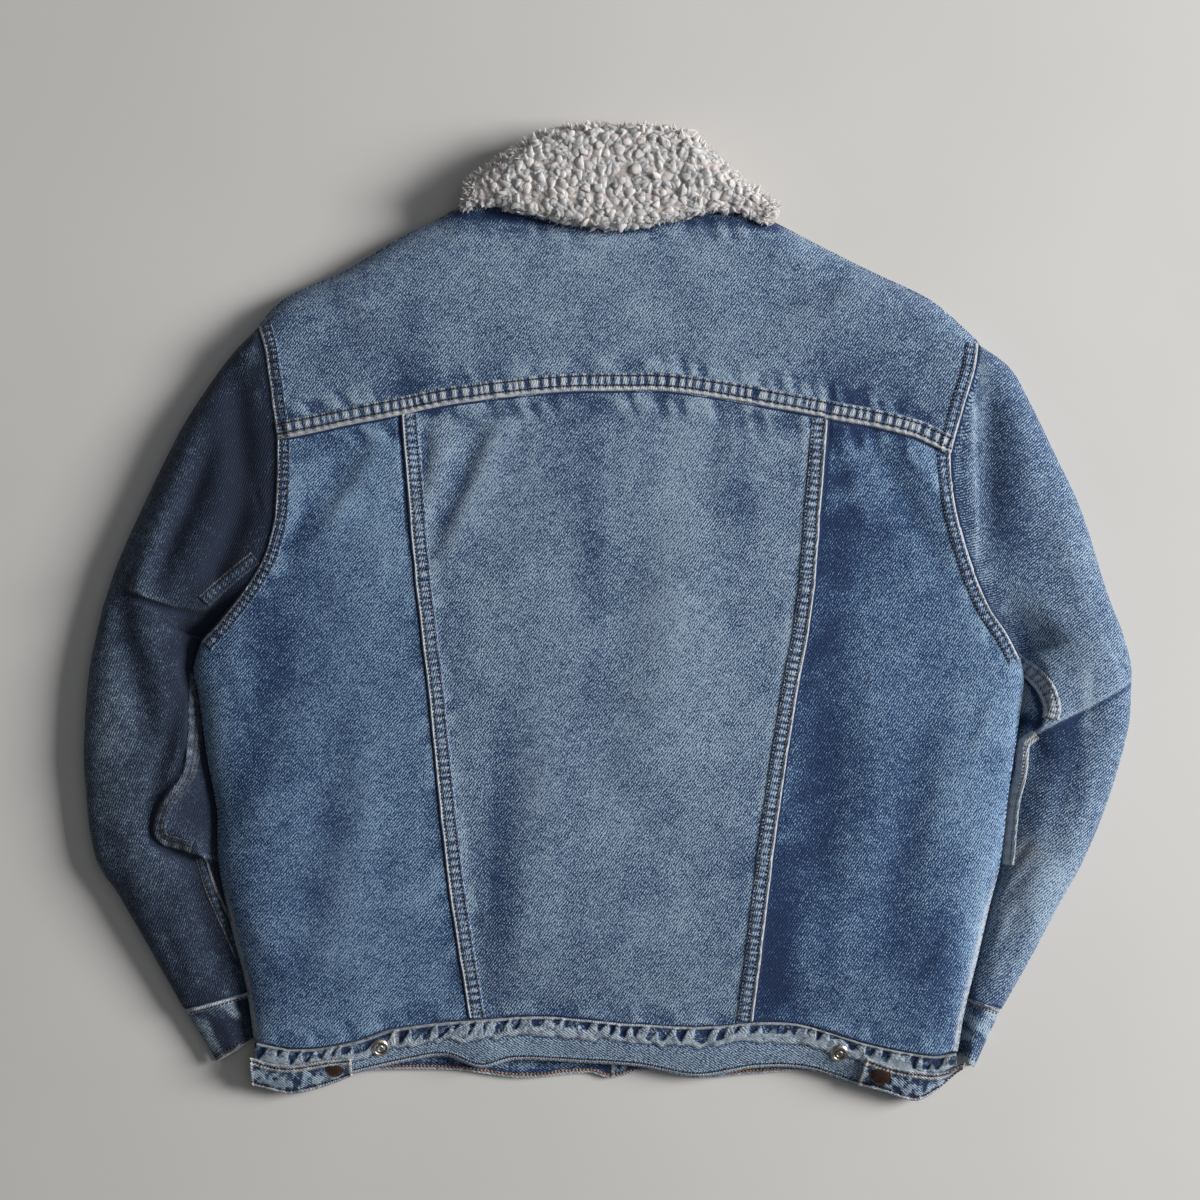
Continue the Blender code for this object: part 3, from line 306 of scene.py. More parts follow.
def coons(low: Array, high: Array, start: Array, end: Array, across: Array, along: Array) -> Array:
    """Plan grid between four edges.

    Args:
        low: Lower edge, one point for each column.
        high: Upper edge, likewise.
        start: Edge at the first column, one point for each row.
        end: Edge at the last column, likewise.
        across: Fraction of each column.
        along: Fraction of each row.

    Returns:
        Places as rows, columns, 2.
    """
    s, t = np.asarray(across)[None, :, None], np.asarray(along)[:, None, None]
    low, high = low[None, :, :2], high[None, :, :2]
    start, end = start[:, None, :2], end[:, None, :2]
    corners = ((1 - s) * (1 - t) * low[:, :1] + s * (1 - t) * low[:, -1:]
               + (1 - s) * t * high[:, :1] + s * t * high[:, -1:])
    return (1 - t) * low + t * high + (1 - s) * start + s * end - corners


def spans(places: Array, origins: Array | float = 0.0) -> Array:
    """Distances in plan between a grid of places and their origins."""
    return np.hypot(*np.moveaxis(places - origins, 2, 0))


def left_of(line: Array) -> Array:
    """Unit vectors to the left of a line's run, one for each of its points.

    Args:
        line: Points in plan.

    Returns:
        One vector for each point.
    """
    run = np.gradient(line, axis=0)
    normal = np.stack([-run[:, 1], run[:, 0]], 1)
    return normal / np.maximum(np.hypot(*normal.T), TINY)[:, None]


def unit(vectors: Array) -> Array:
    """Vectors brought to length one."""
    return vectors / np.maximum(np.linalg.norm(vectors, axis=-1), TINY)[..., None]


def cells(rows: int, columns: int) -> Array:
    """Corner numbers of every cell of a grid of points."""
    corner = (np.arange(rows - 1)[:, None] * columns + np.arange(columns - 1)).ravel()
    return np.stack([corner, corner + 1, corner + columns + 1, corner + columns], 1)


def rim_of(rows: int, columns: int) -> list[tuple[int, int, str]]:
    """Rim of a grid, anticlockwise, as row, column and side.

    Args:
        rows: Number of rows.
        columns: Number of columns.

    Returns:
        One entry for each point of the rim.
    """
    ring = [(0, i, "low") for i in range(columns - 1)]
    ring += [(j, columns - 1, "end") for j in range(rows - 1)]
    ring += [(rows - 1, i, "high") for i in range(columns - 1, 0, -1)]
    return ring + [(j, 0, "start") for j in range(rows - 1, 0, -1)]


def blurred(values: Array, steps: int) -> Array:
    """A grid of values softened over some neighbouring steps.

    Args:
        values: The grid.
        steps: How many steps to each side.

    Returns:
        The softened grid.
    """
    soft = np.asarray(values, float)
    for axis in (0, 1):
        padded = np.concatenate([np.repeat(np.take(soft, [0], axis), steps, axis), soft,
                                 np.repeat(np.take(soft, [-1], axis), steps, axis)], axis)
        total = np.cumsum(padded, axis)
        zero = np.zeros_like(np.take(total, [0], axis))
        total = np.concatenate([zero, total], axis)
        size, window = soft.shape[axis], 2 * steps + 1
        high = np.take(total, np.arange(window, window + size), axis)
        soft = (high - np.take(total, np.arange(size), axis)) / window
    return soft


class Noise:
    """Soft random relief over the plan, the same on every run."""

    SIZE = 128

    def __init__(self, seed: int) -> None:
        """Draw the table of a seed."""
        self.table = np.random.default_rng(seed).uniform(-1, 1, (self.SIZE, self.SIZE))

    def at(self, x: Array, y: Array, size: float, size_y: float | None = None) -> Array:
        """Values from -1 to 1.

        Args:
            x: Places across.
            y: Places along.
            size: Length of one swell across.
            size_y: Length of one swell along, if it isn't the same.

        Returns:
            One value for each place.
        """
        u = np.asarray(x, float) / size + 500.3
        v = np.asarray(y, float) / (size_y or size) + 500.7
        i, j = np.floor(u).astype(int), np.floor(v).astype(int)
        s, t = smooth(u - i), smooth(v - j)
        i, j, table = i % self.SIZE, j % self.SIZE, self.table
        right, above = (i + 1) % self.SIZE, (j + 1) % self.SIZE
        low = table[i, j] * (1 - s) + table[right, j] * s
        high = table[i, above] * (1 - s) + table[right, above] * s
        return low * (1 - t) + high * t

    def patchy(self, x: Array, y: Array, size: float, size_y: float | None = None) -> Array:
        """Values close to -1 or 1, with quick changes between them."""
        return np.tanh(2.6 * self.at(x, y, size, size_y))

    def cloud(self, x: Array, y: Array, size: float) -> Array:
        """Swells of three sizes, each half of the one before."""
        return (self.at(x, y, size) + 0.5 * self.at(x + 31, y, size / 2)
                + 0.25 * self.at(x, y + 57, size / 4)) / 1.4


class Line:
    """A sewn line in plan, with its distance to any place."""

    FAR = 400.0

    def __init__(self, rows: Rows | Array, step: float = 5.0) -> None:
        """Sample a smooth line through rows at a step.

        Args:
            rows: Rows that the line runs through.
            step: Distance between its samples.
        """
        length = reach_of(flow(rows, np.linspace(0, 1, 60)))[-1]
        count = max(int(length / step), 2)
        self.points = flow(rows, np.linspace(0, 1, count + 1))[:, :2]
        self.places = reach_of(self.points)

    def near(self, x: Array, y: Array, within: float = 60.0) -> tuple[Array, Array]:
        """Distance and place along the line of each given place.

        Args:
            x: Places across.
            y: Places along.
            within: How far from the line a distance is wanted.

        Returns:
            Signed distances, positive on the left of the line's run, and lengths along it.
        """
        shape, x, y = np.shape(x), np.ravel(x), np.ravel(y)
        low, high = self.points.min(0) - within, self.points.max(0) + within
        close = (x > low[0]) & (x < high[0]) & (y > low[1]) & (y < high[1])
        px, py = x[close], y[close]
        best = np.full(px.shape, self.FAR)
        side, place = np.full(px.shape, self.FAR), np.zeros(px.shape)
        for a, b, start in zip(self.points, self.points[1:], self.places):
            run = b - a
            length = max(float(np.hypot(*run)), TINY)
            along = np.clip(((px - a[0]) * run[0] + (py - a[1]) * run[1]) / length, 0, length)
            dx, dy = px - a[0] - run[0] * along / length, py - a[1] - run[1] * along / length
            away = np.hypot(dx, dy)
            nearer = away < best
            best = np.where(nearer, away, best)
            turn = np.sign(run[0] * dy - run[1] * dx)
            side = np.where(nearer, away * turn, side)
            place = np.where(nearer, start + along, place)
        sides, places = np.full(x.shape, self.FAR), np.zeros(x.shape)
        sides[close], places[close] = side, place
        return sides.reshape(shape), places.reshape(shape)


@dataclass(frozen=True)
class Fold:
    """A ridge along a line, with a trough on its right-hand side."""

    x0: float
    y0: float
    x1: float
    y1: float
    width: float
    ridge: float
    trough: float

    def height(self, x: Array, y: Array) -> Array:
        """Height that the fold adds at each place.

        Args:
            x: Places across.
            y: Places along.

        Returns:
            Heights in millimetres.
        """
        run_x, run_y = self.x1 - self.x0, self.y1 - self.y0
        length = math.hypot(run_x, run_y)
        along = ((x - self.x0) * run_x + (y - self.y0) * run_y) / length ** 2
        beside = (run_x * (y - self.y0) - run_y * (x - self.x0)) / length
        fade = smooth((along + 0.25) / 0.5) * smooth((1.25 - along) / 0.5)
        return fade * (self.ridge * bell(beside, self.width)
                       - self.trough * bell(beside + 1.1 * self.width, 0.8 * self.width))


def folded(x: Array, y: Array, folds: Iterable[Fold]) -> Array:
    """Height that all folds add at each place."""
    return sum((fold.height(x, y) for fold in folds), np.zeros(np.shape(x)))


@dataclass(frozen=True)
class Step:
    """A layer of cloth that ends along a line, on the left of the line's run, with a painted highlight on its edge and
    a painted shadow just outside it.
    """

    rows: Rows
    rise: float
    reach: float
    shadow: float = 1.5

    def shape(self, x: Array, y: Array) -> tuple[Array, Array]:
        """Height, and the painted highlight and shadow, that the layer adds at each place.

        Args:
            x: Places across.
            y: Places along.

        Returns:
            Heights and painted light, one of each for each place.
        """
        line = Line(self.rows, 3.0)
        away, place = line.near(x, y, self.reach + 8)
        fade = smooth(place / 9) * smooth((line.places[-1] - place) / 9)
        over = smooth((away + 1.2) / 2.4) * (1 - smooth((away / self.reach - 0.2) / 0.8))
        lit = 0.35 * min(self.shadow, 1.0)
        return (self.rise * fade * (over - 0.35 * bell(away + 3.2, 2.4)),
                fade * (lit * bell(away - 0.6, 1.2) - self.shadow * bell(away + 2.0, 1.7)))


@dataclass(frozen=True)
class Patch:
    """A soft oval where the cloth is lighter or darker: some are wash fading, others painted shade and painted
    highlight.
    """

    x: float
    y: float
    reach_x: float
    reach_y: float
    amount: float

    def wear(self, x: Array, y: Array) -> Array:
        """Lightening or darkening that the patch adds at each place."""
        return self.amount * np.exp(-((x - self.x) / self.reach_x) ** 2
                                    - ((y - self.y) / self.reach_y) ** 2)


@dataclass(frozen=True)
class Halo:
    """A band beside a seam, puckered and unevenly worn.

    It runs from a near to a far distance, positive on the left of the seam's run. There the
    cloth is worn by an amount, more or less so with each pucker. Its puckers have a height and
    a pitch, and it dips by a depth. A strong dark amount hugging a seam paints its gap: partly unfaded indigo, partly
    painted shadow.
    """

    seam: str
    near: float
    far: float
    amount: float
    uneven: float
    height: float
    pitch: float
    dip: float = 0.0

    def shape(self, away: Array, place: Array, noise: Noise) -> tuple[Array, Array]:
        """Height and wear that the band adds.

        Args:
            away: Signed distance to the seam.
            place: Length along the seam.
            noise: Source of the puckers.

        Returns:
            Heights and wear, one of each for each place.
        """
        span = self.far - self.near
        share = (away - self.near) / span
        inside = smooth(share * 8 + 1) * smooth((1 - share) * 1.3)
        ripple = noise.patchy(place + 0.4 * away, away * 0.45, self.pitch)
        return (inside * (self.height * ripple - self.dip),
                inside * (self.amount + self.uneven * ripple))


# ---------------------------------------------------------------- meshes
def to_metres(points: Array) -> Array:
    """Pattern places, in millimetres, as places of the jacket in metres.

    Args:
        points: Places in millimetres.

    Returns:
        Places in metres.
    """
    points = np.array(points, float).reshape(-1, 3)
    points[:, :2] -= ORIGIN
    return points * MM


def middle_of(node: str) -> Array:
    """Middle of a solid in the pattern's plan."""
    low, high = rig.box(node)
    return np.array((low + high) / 2)[:2] / MM + ORIGIN


def make_mesh(name: str, points: Array, faces: list, finishes: Sequence[Material],
              values: dict[str, Array] | None = None, chosen: Array | None = None,
              crisp: float = 70.0) -> Object:
    """Make a smooth object that rides on the jacket.

    Args:
        name: Name of the piece.
        points: Places in millimetres.
        faces: Corner indices of each face.
        finishes: Its materials.
        values: Named values or vectors of each point, for the materials.
        chosen: Index of each face's material.
        crisp: Angle in degrees above which an edge stays sharp.

    Returns:
        The new object.
    """
    mesh = bpy.data.meshes.new(name)
    mesh.from_pydata(to_metres(points).tolist(), [], faces)
    for finish in finishes:
        mesh.materials.append(finish)
    if chosen is not None:
        mesh.polygons.foreach_set("material_index", np.asarray(chosen, np.int32))
    for key, value in (values or {}).items():
        vector = np.ndim(value) == 2
        made = mesh.attributes.new(key, "FLOAT_VECTOR" if vector else "FLOAT", "POINT")
        made.data.foreach_set("vector" if vector else "value", np.asarray(value, np.float32).ravel())
    mesh.shade_smooth()
    mesh.set_sharp_from_angle(angle=math.radians(crisp))
    mesh.update()
    piece = bpy.data.objects.new(name, mesh)
    bpy.context.scene.collection.objects.link(piece)
    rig.ride(piece, "root")
    LOG.info("%s: %d faces", name, len(faces))
    return piece


@dataclass
class Cloth:
    """A cloth piece as a grid: its plan, its upper and lower face, and its wear with painted shading."""

    LEAST_SHARE = 0.31                  # of the box around a cut that is counted as cloth
    plan: Array
    top: Array
    under: Array
    wear: Array
    edge: Array | None = None
    stain: Array | None = None
    grain: float = 0.0
    free: tuple[str, ...] = ()
    lined: tuple[str, ...] = ()
    bulge: float = 1.3

    def __post_init__(self) -> None:
        """Turn the grid so that its rows and columns run anticlockwise."""
        a = self.plan[0, 1] - self.plan[0, 0]
        b = self.plan[1, 0] - self.plan[0, 0]
        zero = np.zeros_like(self.top)
        self.edge = zero if self.edge is None else self.edge
        self.stain = zero if self.stain is None else self.stain
        if a[0] * b[1] - a[1] * b[0] < 0:
            for key in ("plan", "top", "under", "wear", "edge", "stain"):
                setattr(self, key, getattr(self, key)[:, ::-1])
            turned = {"start": "end", "end": "start"}
            self.free = tuple(turned.get(k, k) for k in self.free)
            self.lined = tuple(turned.get(k, k) for k in self.lined)

    def sewn(self, gap: float = 0.15) -> "Cloth":
        """Draw the rim in from the neighbouring pieces.

        Args:
            gap: How far the rim is drawn in.

        Returns:
            This piece.
        """
        plan = self.plan.copy()
        for rim, inner in ((np.s_[0, :], np.s_[1, :]), (np.s_[-1, :], np.s_[-2, :]),
                           (np.s_[:, 0], np.s_[:, 1]), (np.s_[:, -1], np.s_[:, -2])):
            plan[rim] += gap * unit(self.plan[inner] - self.plan[rim])
        self.plan = plan
        return self

    def unrolled(self) -> Array:
        """The plan with its slopes rolled out flat, away from the middle of the piece.

        Returns:
            Places as rows, columns, 2.
        """
        moved = self.plan.copy()
        for axis in (0, 1):
            step = np.diff(self.plan, axis=axis)
            flat = np.maximum(spans(step), TINY)
            more = np.hypot(flat, np.diff(self.top, axis=axis)) / flat - 1
            shift = np.cumsum(step * more[..., None], axis=axis)
            shift = np.concatenate([0 * np.take(self.plan, [0], axis), shift], axis=axis)
            middle = self.top.shape[axis] // 2
            moved += shift - np.take(shift, [middle], axis=axis)
        return moved

    def cloth_places(self, at: Array, out: Array, middle: Array) -> Array:
        """Places on the cloth, along its weft and its warp, in metres.

        Args:
            at: Numbers of the rim's points in the grid.
            out: Outward directions at the rim.
            middle: Points halfway down the rim.

        Returns:
            Places of the upper, the lower and the rim's points.
        """
        flat = self.unrolled().reshape(-1, 2)
        down = (self.top.ravel()[at] - middle[:, 2])[:, None]
        flat = np.concatenate([flat, flat, flat[at] + out * down])
        turn = math.radians(self.grain)
        x = flat[:, 0] * math.cos(turn) + flat[:, 1] * math.sin(turn)
        y = flat[:, 1] * math.cos(turn) - flat[:, 0] * math.sin(turn)
        return np.stack([x, y, 0 * x], 1) * MM

    def make(self, name: str, finishes: Sequence[Material]) -> Object:
        """Make the closed piece.

        Args:
            name: Name of the piece.
            finishes: Its upper material, and if there is one its lining's.

        Returns:
            The new object.
        """
        rows, columns = self.top.shape
        plan, count = self.plan.reshape(-1, 2), rows * columns
        upper = np.column_stack([plan, self.top.ravel()])
        lower = np.column_stack([plan, self.under.ravel()])
        ring = rim_of(rows, columns)
        at = np.array([j * columns + i for j, i, _ in ring])
        run = plan[np.roll(at, -1)] - plan[np.roll(at, 1)]
        out = unit(np.stack([run[:, 1], -run[:, 0]], 1))
        bulge = np.array([self.bulge if side in self.free else 0.0 for _, _, side in ring])
        middle = (upper[at] + lower[at]) / 2
        middle[:, :2] += out * bulge[:, None]
        points = np.concatenate([upper, lower, middle])

        faces, hidden = cells(rows, columns).tolist(), self.coarse(count)
        chosen = [0] * len(faces) + [len(finishes) - 1] * len(hidden)
        faces += hidden
        for k, (_, _, side) in enumerate(ring):
            n = (k + 1) % len(ring)
            below, mid = 2 * count + k, 2 * count + n
            faces.append([int(at[k]) + count, int(at[n]) + count, mid, below])
            faces.append([below, mid, int(at[n]), int(at[k])])
            chosen += [len(finishes) - 1 if side in self.lined else 0] * 2

        def three(value: Array) -> Array:
            """A value for the upper, lower and rim points."""
            flat = value.ravel()
            return np.concatenate([flat, flat, flat[at]])

        values = {"cloth": self.cloth_places(at, out, middle), "wear": three(self.wear),
                  "edge": three(self.edge), "stain": three(self.stain)}
        kept = np.zeros(len(points), bool)
        kept[[point for face in faces for point in face]] = True
        numbers = (np.cumsum(kept) - 1).tolist()
        faces = [[numbers[point] for point in face] for face in faces]
        values = {key: value[kept] for key, value in values.items()}
        return make_mesh(name, points[kept], faces, finishes, values, chosen)

    def coarse(self, first: int, step: int = 3) -> list[list[int]]:
        """Faces of the hidden lower side, in wide cells that keep every point of the rim.

        Args:
            first: Number of the lower side's first point.
            step: Grid steps in a cell.

        Returns:
            The faces, each a list of points.
        """
        rows, columns = self.top.shape
        across = [*range(0, columns - 1, step), columns - 1]
        along = [*range(0, rows - 1, step), rows - 1]
        faces = []
        for low, high in zip(along, along[1:]):
            for left, right in zip(across, across[1:]):
                face = [j * columns + left for j in range(low, high, 1 if left == 0 else high - low)]
                face += [high * columns + i
                         for i in range(left, right, 1 if high == rows - 1 else right - left)]
                face += [j * columns + right
                         for j in range(high, low, -1 if right == columns - 1 else low - high)]
                face += [low * columns + i
                         for i in range(right, left, -1 if low == 0 else left - right)]
                faces.append([first + point for point in face])
        return faces

    def cut(self) -> dict[str, object]:
        """Width, length and area of the cut that gives this piece.

        Returns:
            The values that a sheet is declared with, in metres.
        """
        steps = spans(np.diff(self.plan, axis=1)).sum(1)
        ups = spans(np.diff(self.plan, axis=0)).sum(0)
        a = self.plan[:-1, :-1] - self.plan[1:, 1:]
        b = self.plan[:-1, 1:] - self.plan[1:, :-1]
        area = float(np.abs(a[..., 0] * b[..., 1] - a[..., 1] * b[..., 0]).sum() / 2)
        width, length = float(steps.max()), float(ups.max())
        area = max(area, self.LEAST_SHARE * width * length)
        return {"flat": (width * MM, length * MM), "area": area * MM * MM}

    def lay(self, node: str, slot: str, finishes: Sequence[Material],
            rests_on: Sequence[str] = ()) -> Object:
        """Args:
            node: Name of the solid.
            slot: Name of the finish's slot.
            finishes: Its upper material, and if there is one its lining's.
            rests_on: Pieces that it lies on.

        Returns:
            The new piece.
        """
        piece = self.make(node + "_cloth", finishes)
        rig.replaces(piece, node)
        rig.slot(piece, slot)
        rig.sheet(piece, held="laid", rests_on=list(rests_on), **self.cut())
        return piece


def worn_and_shaded_by_relief(top: Array, steps: int, amount: float) -> Array:
    """Paler ridges and darker troughs from the relief of a grid: partly wear, partly painted highlight and painted
    shade.
    """
    relief = top - blurred(top, steps)
    return np.clip(relief * amount, -0.6, 0.6)


class Ground:
    """The upper side of some pieces, for whatever is sewn onto them."""

    def __init__(self, *pieces: Object) -> None:
        """Gather the faces of the pieces."""
        points: list = []
        faces: list = []
        for piece in pieces:
            start = len(points)
            points += [vertex.co.copy() for vertex in piece.data.vertices]
            faces += [[start + k for k in face.vertices] for face in piece.data.polygons]
        self.tree = BVHTree.FromPolygons(points, faces)

    def heights(self, x: Array, y: Array, missing: float = 0.0) -> Array:
        """Height of the ground at each place.

        Args:
            x: Places across.
            y: Places along.
            missing: Height where there is no piece below.

        Returns:
            Heights in millimetres.
        """
        shape = np.shape(x)
        starts = to_metres(np.column_stack([np.ravel(x), np.ravel(y), np.full(np.size(x), 200.0)]))
        down = Vector((0, 0, -1))
        found = []
        for start in starts:
            hit = self.tree.ray_cast(Vector(start), down)[0]
            found.append(missing if hit is None else hit.z / MM)
        return np.array(found).reshape(shape)


# ---------------------------------------------------------------- finishes
class Graph:
    """Short words for building a node tree."""

    def __init__(self, tree: NodeTree) -> None:
        """Hold the tree."""
        self.tree = tree

    def add(self, kind: str, **settings: object) -> Node:
        """A new node with its settings.

        Args:
            kind: Its type, without the word ShaderNode.
            settings: Its own settings by name.

        Returns:
            The node.
        """
        node = self.tree.nodes.new("ShaderNode" + kind)
        for key, value in settings.items():
            setattr(node, key, value)
        return node

    def feed(self, socket: NodeSocket, value: object) -> None:
        """Link a socket, or set its own value.

        Args:
            socket: The input.
            value: A socket, a value, or None to leave it.
        """
        if isinstance(value, NodeSocket):
            self.tree.links.new(value, socket)
        elif value is not None:
            socket.default_value = value

    def maths(self, operation: str, a: object, b: object = None, c: object = None) -> NodeSocket:
        """Result of a Math node.

        Args:
            operation: What the node works out.
            a: First value.
            b: Second value.
            c: Third value.

        Returns:
            Its output.
        """
        node = self.add("Math", operation=operation)
        for socket, value in zip(node.inputs, (a, b, c)):
            self.feed(socket, value)
        return node.outputs[0]

    def times(self, a: object, b: object, more: object = None) -> NodeSocket:
        """Product of two values, and a third added to it if there is one."""
        return self.maths("MULTIPLY" if more is None else "MULTIPLY_ADD", a, b, more)

    def plus(self, a: object, b: object) -> NodeSocket:
        """Sum of two values."""
        return self.maths("ADD", a, b)

    def less(self, a: object, b: object) -> NodeSocket:
        """The first value without the second."""
        return self.maths("SUBTRACT", a, b)

    def spread(self, value: object, low: float, high: float, to_low: float,
               to_high: float) -> NodeSocket:
        """A value brought from one range to another, smoothly and clamped.

        Args:
            value: The value.
            low: Start of its range.
            high: End of its range.
            to_low: Start of the new range.
            to_high: End of the new range.

        Returns:
            The value in the new range.
        """
        node = self.add("MapRange", interpolation_type="SMOOTHSTEP")
        for key, given in zip(("Value", "From Min", "From Max", "To Min", "To Max"),
                              (value, low, high, to_low, to_high)):
            self.feed(node.inputs[key], given)
        return node.outputs["Result"]

    def blend(self, share: object, a: object, b: object) -> NodeSocket:
        """Mix of two colours.

        Args:
            share: Share of the second colour.
            a: First colour.
            b: Second colour.

        Returns:
            The mixed colour.
        """
        node = self.add("Mix", data_type="RGBA")
        self.feed(node.inputs[0], share)
        self.feed(node.inputs[6], a)
        self.feed(node.inputs[7], b)
        return node.outputs[2]

    def noise(self, vector: object, scale: float, detail: float = 2.0,
              rough: float = 0.5) -> NodeSocket:
        """Noise from 0 to 1 on a vector in metres.

        Args:
            vector: Where it is read.
            scale: Swells for each metre.
            detail: Number of finer layers.
            rough: Strength of the finer layers.

        Returns:
            The noise.
        """
        node = self.add("TexNoise")
        self.feed(node.inputs["Vector"], vector)
        settle(node, {"Scale": scale, "Detail": detail, "Roughness": rough})
        return node.outputs["Fac"]

    def scaled(self, vector: object, factors: Triple,
               turn: float = 0.0) -> NodeSocket:
        """A vector turned about z and stretched along each axis.

        Args:
            vector: The vector.
            factors: Stretch along each axis.
            turn: Turn in degrees.

        Returns:
            The new vector.
        """
        node = self.add("Mapping")
        self.feed(node.inputs["Vector"], vector)
        settle(node, {"Rotation": (0.0, 0.0, math.radians(turn)), "Scale": factors})
        return node.outputs["Vector"]


def make_group(name: str, takes: dict[str, object],
               gives: dict[str, str]) -> tuple[NodeTree, Graph, dict, dict]:
    """Start a node group.

    Args:
        name: Name of the group.
        takes: Named inputs with their usual values: a number, a colour or a vector.
        gives: Named outputs with their socket types.

    Returns:
        The group, its graph, its input sockets and its output sockets by name.
    """
    tree = bpy.data.node_groups.new(name, "ShaderNodeTree")
    kinds = {3: "NodeSocketVector", 4: "NodeSocketColor"}
    for key, value in takes.items():
        kind = "NodeSocketFloat" if isinstance(value, (int, float)) else kinds[len(value)]
        made = tree.interface.new_socket(name=key, in_out="INPUT", socket_type=kind)
        if kind != "NodeSocketVector":
            made.default_value = value
    for key, kind in gives.items():
        tree.interface.new_socket(name=key, in_out="OUTPUT", socket_type=kind)
    enter = tree.nodes.new("NodeGroupInput")
    leave = tree.nodes.new("NodeGroupOutput")
    return tree, Graph(tree), dict(enter.outputs.items()), dict(leave.inputs.items())


class Effects:
    """The node groups that several finishes share, each built once."""

    VALUE, COLOUR = "NodeSocketFloat", "NodeSocketColor"

    def __init__(self) -> None:
        """Build every group."""
        self.twill = self.build_twill()
        self.wash = self.build_wash()
        self.pile = self.build_pile()
        self.tarnish = self.build_tarnish()

    def build_twill(self) -> NodeTree:
        """Diagonal ribs of a 3/1 twill with heathered, slubby yarn.

        Returns:
            The group.
        """
        takes = {"Cloth": (0.0, 0.0, 0.0), "Pitch": 0.0019, "Ribs": 0.35, "Heather": 1.0}
        tree, graph, i, o = make_group("denim_twill", takes,
                                       {"Shade": self.VALUE, "Height": self.VALUE})
        place = graph.add("SeparateXYZ")
        graph.feed(place.inputs[0], i["Cloth"])
        x, y, _ = place.outputs
        across = graph.times(x, 0.80, graph.times(y, -0.60))
        wander = graph.noise(i["Cloth"], 300.0, 3.0, 0.6)
        across = graph.times(wander, 0.0024, across)
        turns = graph.maths("DIVIDE", across, i["Pitch"])
        rib = graph.maths("SINE", graph.times(turns, math.tau))
        along = graph.times(x, 0.60, graph.times(y, 0.80))
        steps = graph.maths("DIVIDE", along, graph.times(i["Pitch"], 0.55))
        floats = graph.maths("SINE", graph.times(steps, math.tau))
        leant = graph.scaled(i["Cloth"], (1.0, 0.5, 1.0), 35.0)
        grain = graph.noise(leant, 1300.0, 0.0, 0.5)
        slub = graph.noise(graph.scaled(i["Cloth"], (1.0, 0.45, 1.0)), 600.0, 1.0, 0.6)
        heather = graph.plus(graph.less(grain, 0.5), graph.times(graph.less(slub, 0.5), 0.40))
        heather = graph.times(heather, i["Heather"])
        ribs = graph.times(rib, i["Ribs"])
        shade = graph.plus(graph.times(ribs, 0.5), heather)
        graph.feed(o["Shade"], graph.plus(shade, 0.5))
        relief = graph.times(floats, 0.22, graph.times(rib, 0.5))
        graph.feed(o["Height"], graph.times(grain, 0.6, relief))
        return tree

    def build_wash(self) -> NodeTree:
        """Colour of stonewashed denim, from raw indigo to bare white yarn, with the painted shading that comes in with
        its wear.

        Returns:
            The group.
        """
        takes = {"Cloth": (0.0, 0.0, 0.0), "Shade": 0.5, "Wear": 0.0, "Edge": 0.0, "Stain": 0.0,
                 "Level": 0.5, "Contrast": 0.5, "Indigo": (0.02, 0.04, 0.1, 1.0),
                 "Washed": (0.1, 0.16, 0.26, 1.0), "Pale": (0.4, 0.46, 0.52, 1.0),
                 "Yarn": (0.6, 0.6, 0.58, 1.0), "Weft": (0.26, 0.25, 0.25, 1.0)}
        tree, graph, i, o = make_group("stone_wash", takes,
                                       {"Color": self.COLOUR, "Roughness": self.VALUE})
        blotch = graph.noise(i["Cloth"], 25.0, 3.0, 0.86)
        fleck = graph.noise(i["Cloth"], 150.0, 3.0, 0.62)
        uneven = graph.times(graph.less(blotch, 0.5), 0.66)
        uneven = graph.times(graph.less(fleck, 0.5), 0.74, uneven)
        level = graph.times(i["Wear"], 0.62, graph.plus(i["Level"], 0.03))
        level = graph.plus(level, uneven)
        yarns = graph.less(i["Shade"], 0.5)
        level = graph.times(yarns, i["Contrast"], level)
        dark = graph.blend(graph.spread(level, 0.0, 0.5, 0.0, 1.0), i["Indigo"], i["Washed"])
        light = graph.blend(graph.spread(level, 0.42, 1.0, 0.0, 1.0), dark, i["Pale"])
        warm = graph.spread(graph.noise(i["Cloth"], 700.0, 1.0), 0.54, 0.68, 0.0, 0.30)
        warm = graph.times(warm, graph.spread(level, 0.1, 0.6, 0.0, 1.0))
        light = graph.blend(warm, light, i["Weft"])
        light = graph.blend(graph.spread(yarns, -1.5, -0.1, 0.50, 0.0), light, i["Indigo"])
        frayed = graph.times(i["Edge"], graph.spread(fleck, 0.3, 0.55, 0.35, 1.0))
        light = graph.blend(frayed, light, i["Yarn"])
        soiled = graph.times(i["Stain"], graph.spread(fleck, 0.3, 0.7, 0.5, 1.0))
        colour = graph.blend(soiled, light, (0.19, 0.16, 0.12, 1.0))
        graph.feed(o["Color"], colour)
        graph.feed(o["Roughness"], graph.spread(level, 0.0, 1.0, 0.78, 0.94))
        return tree

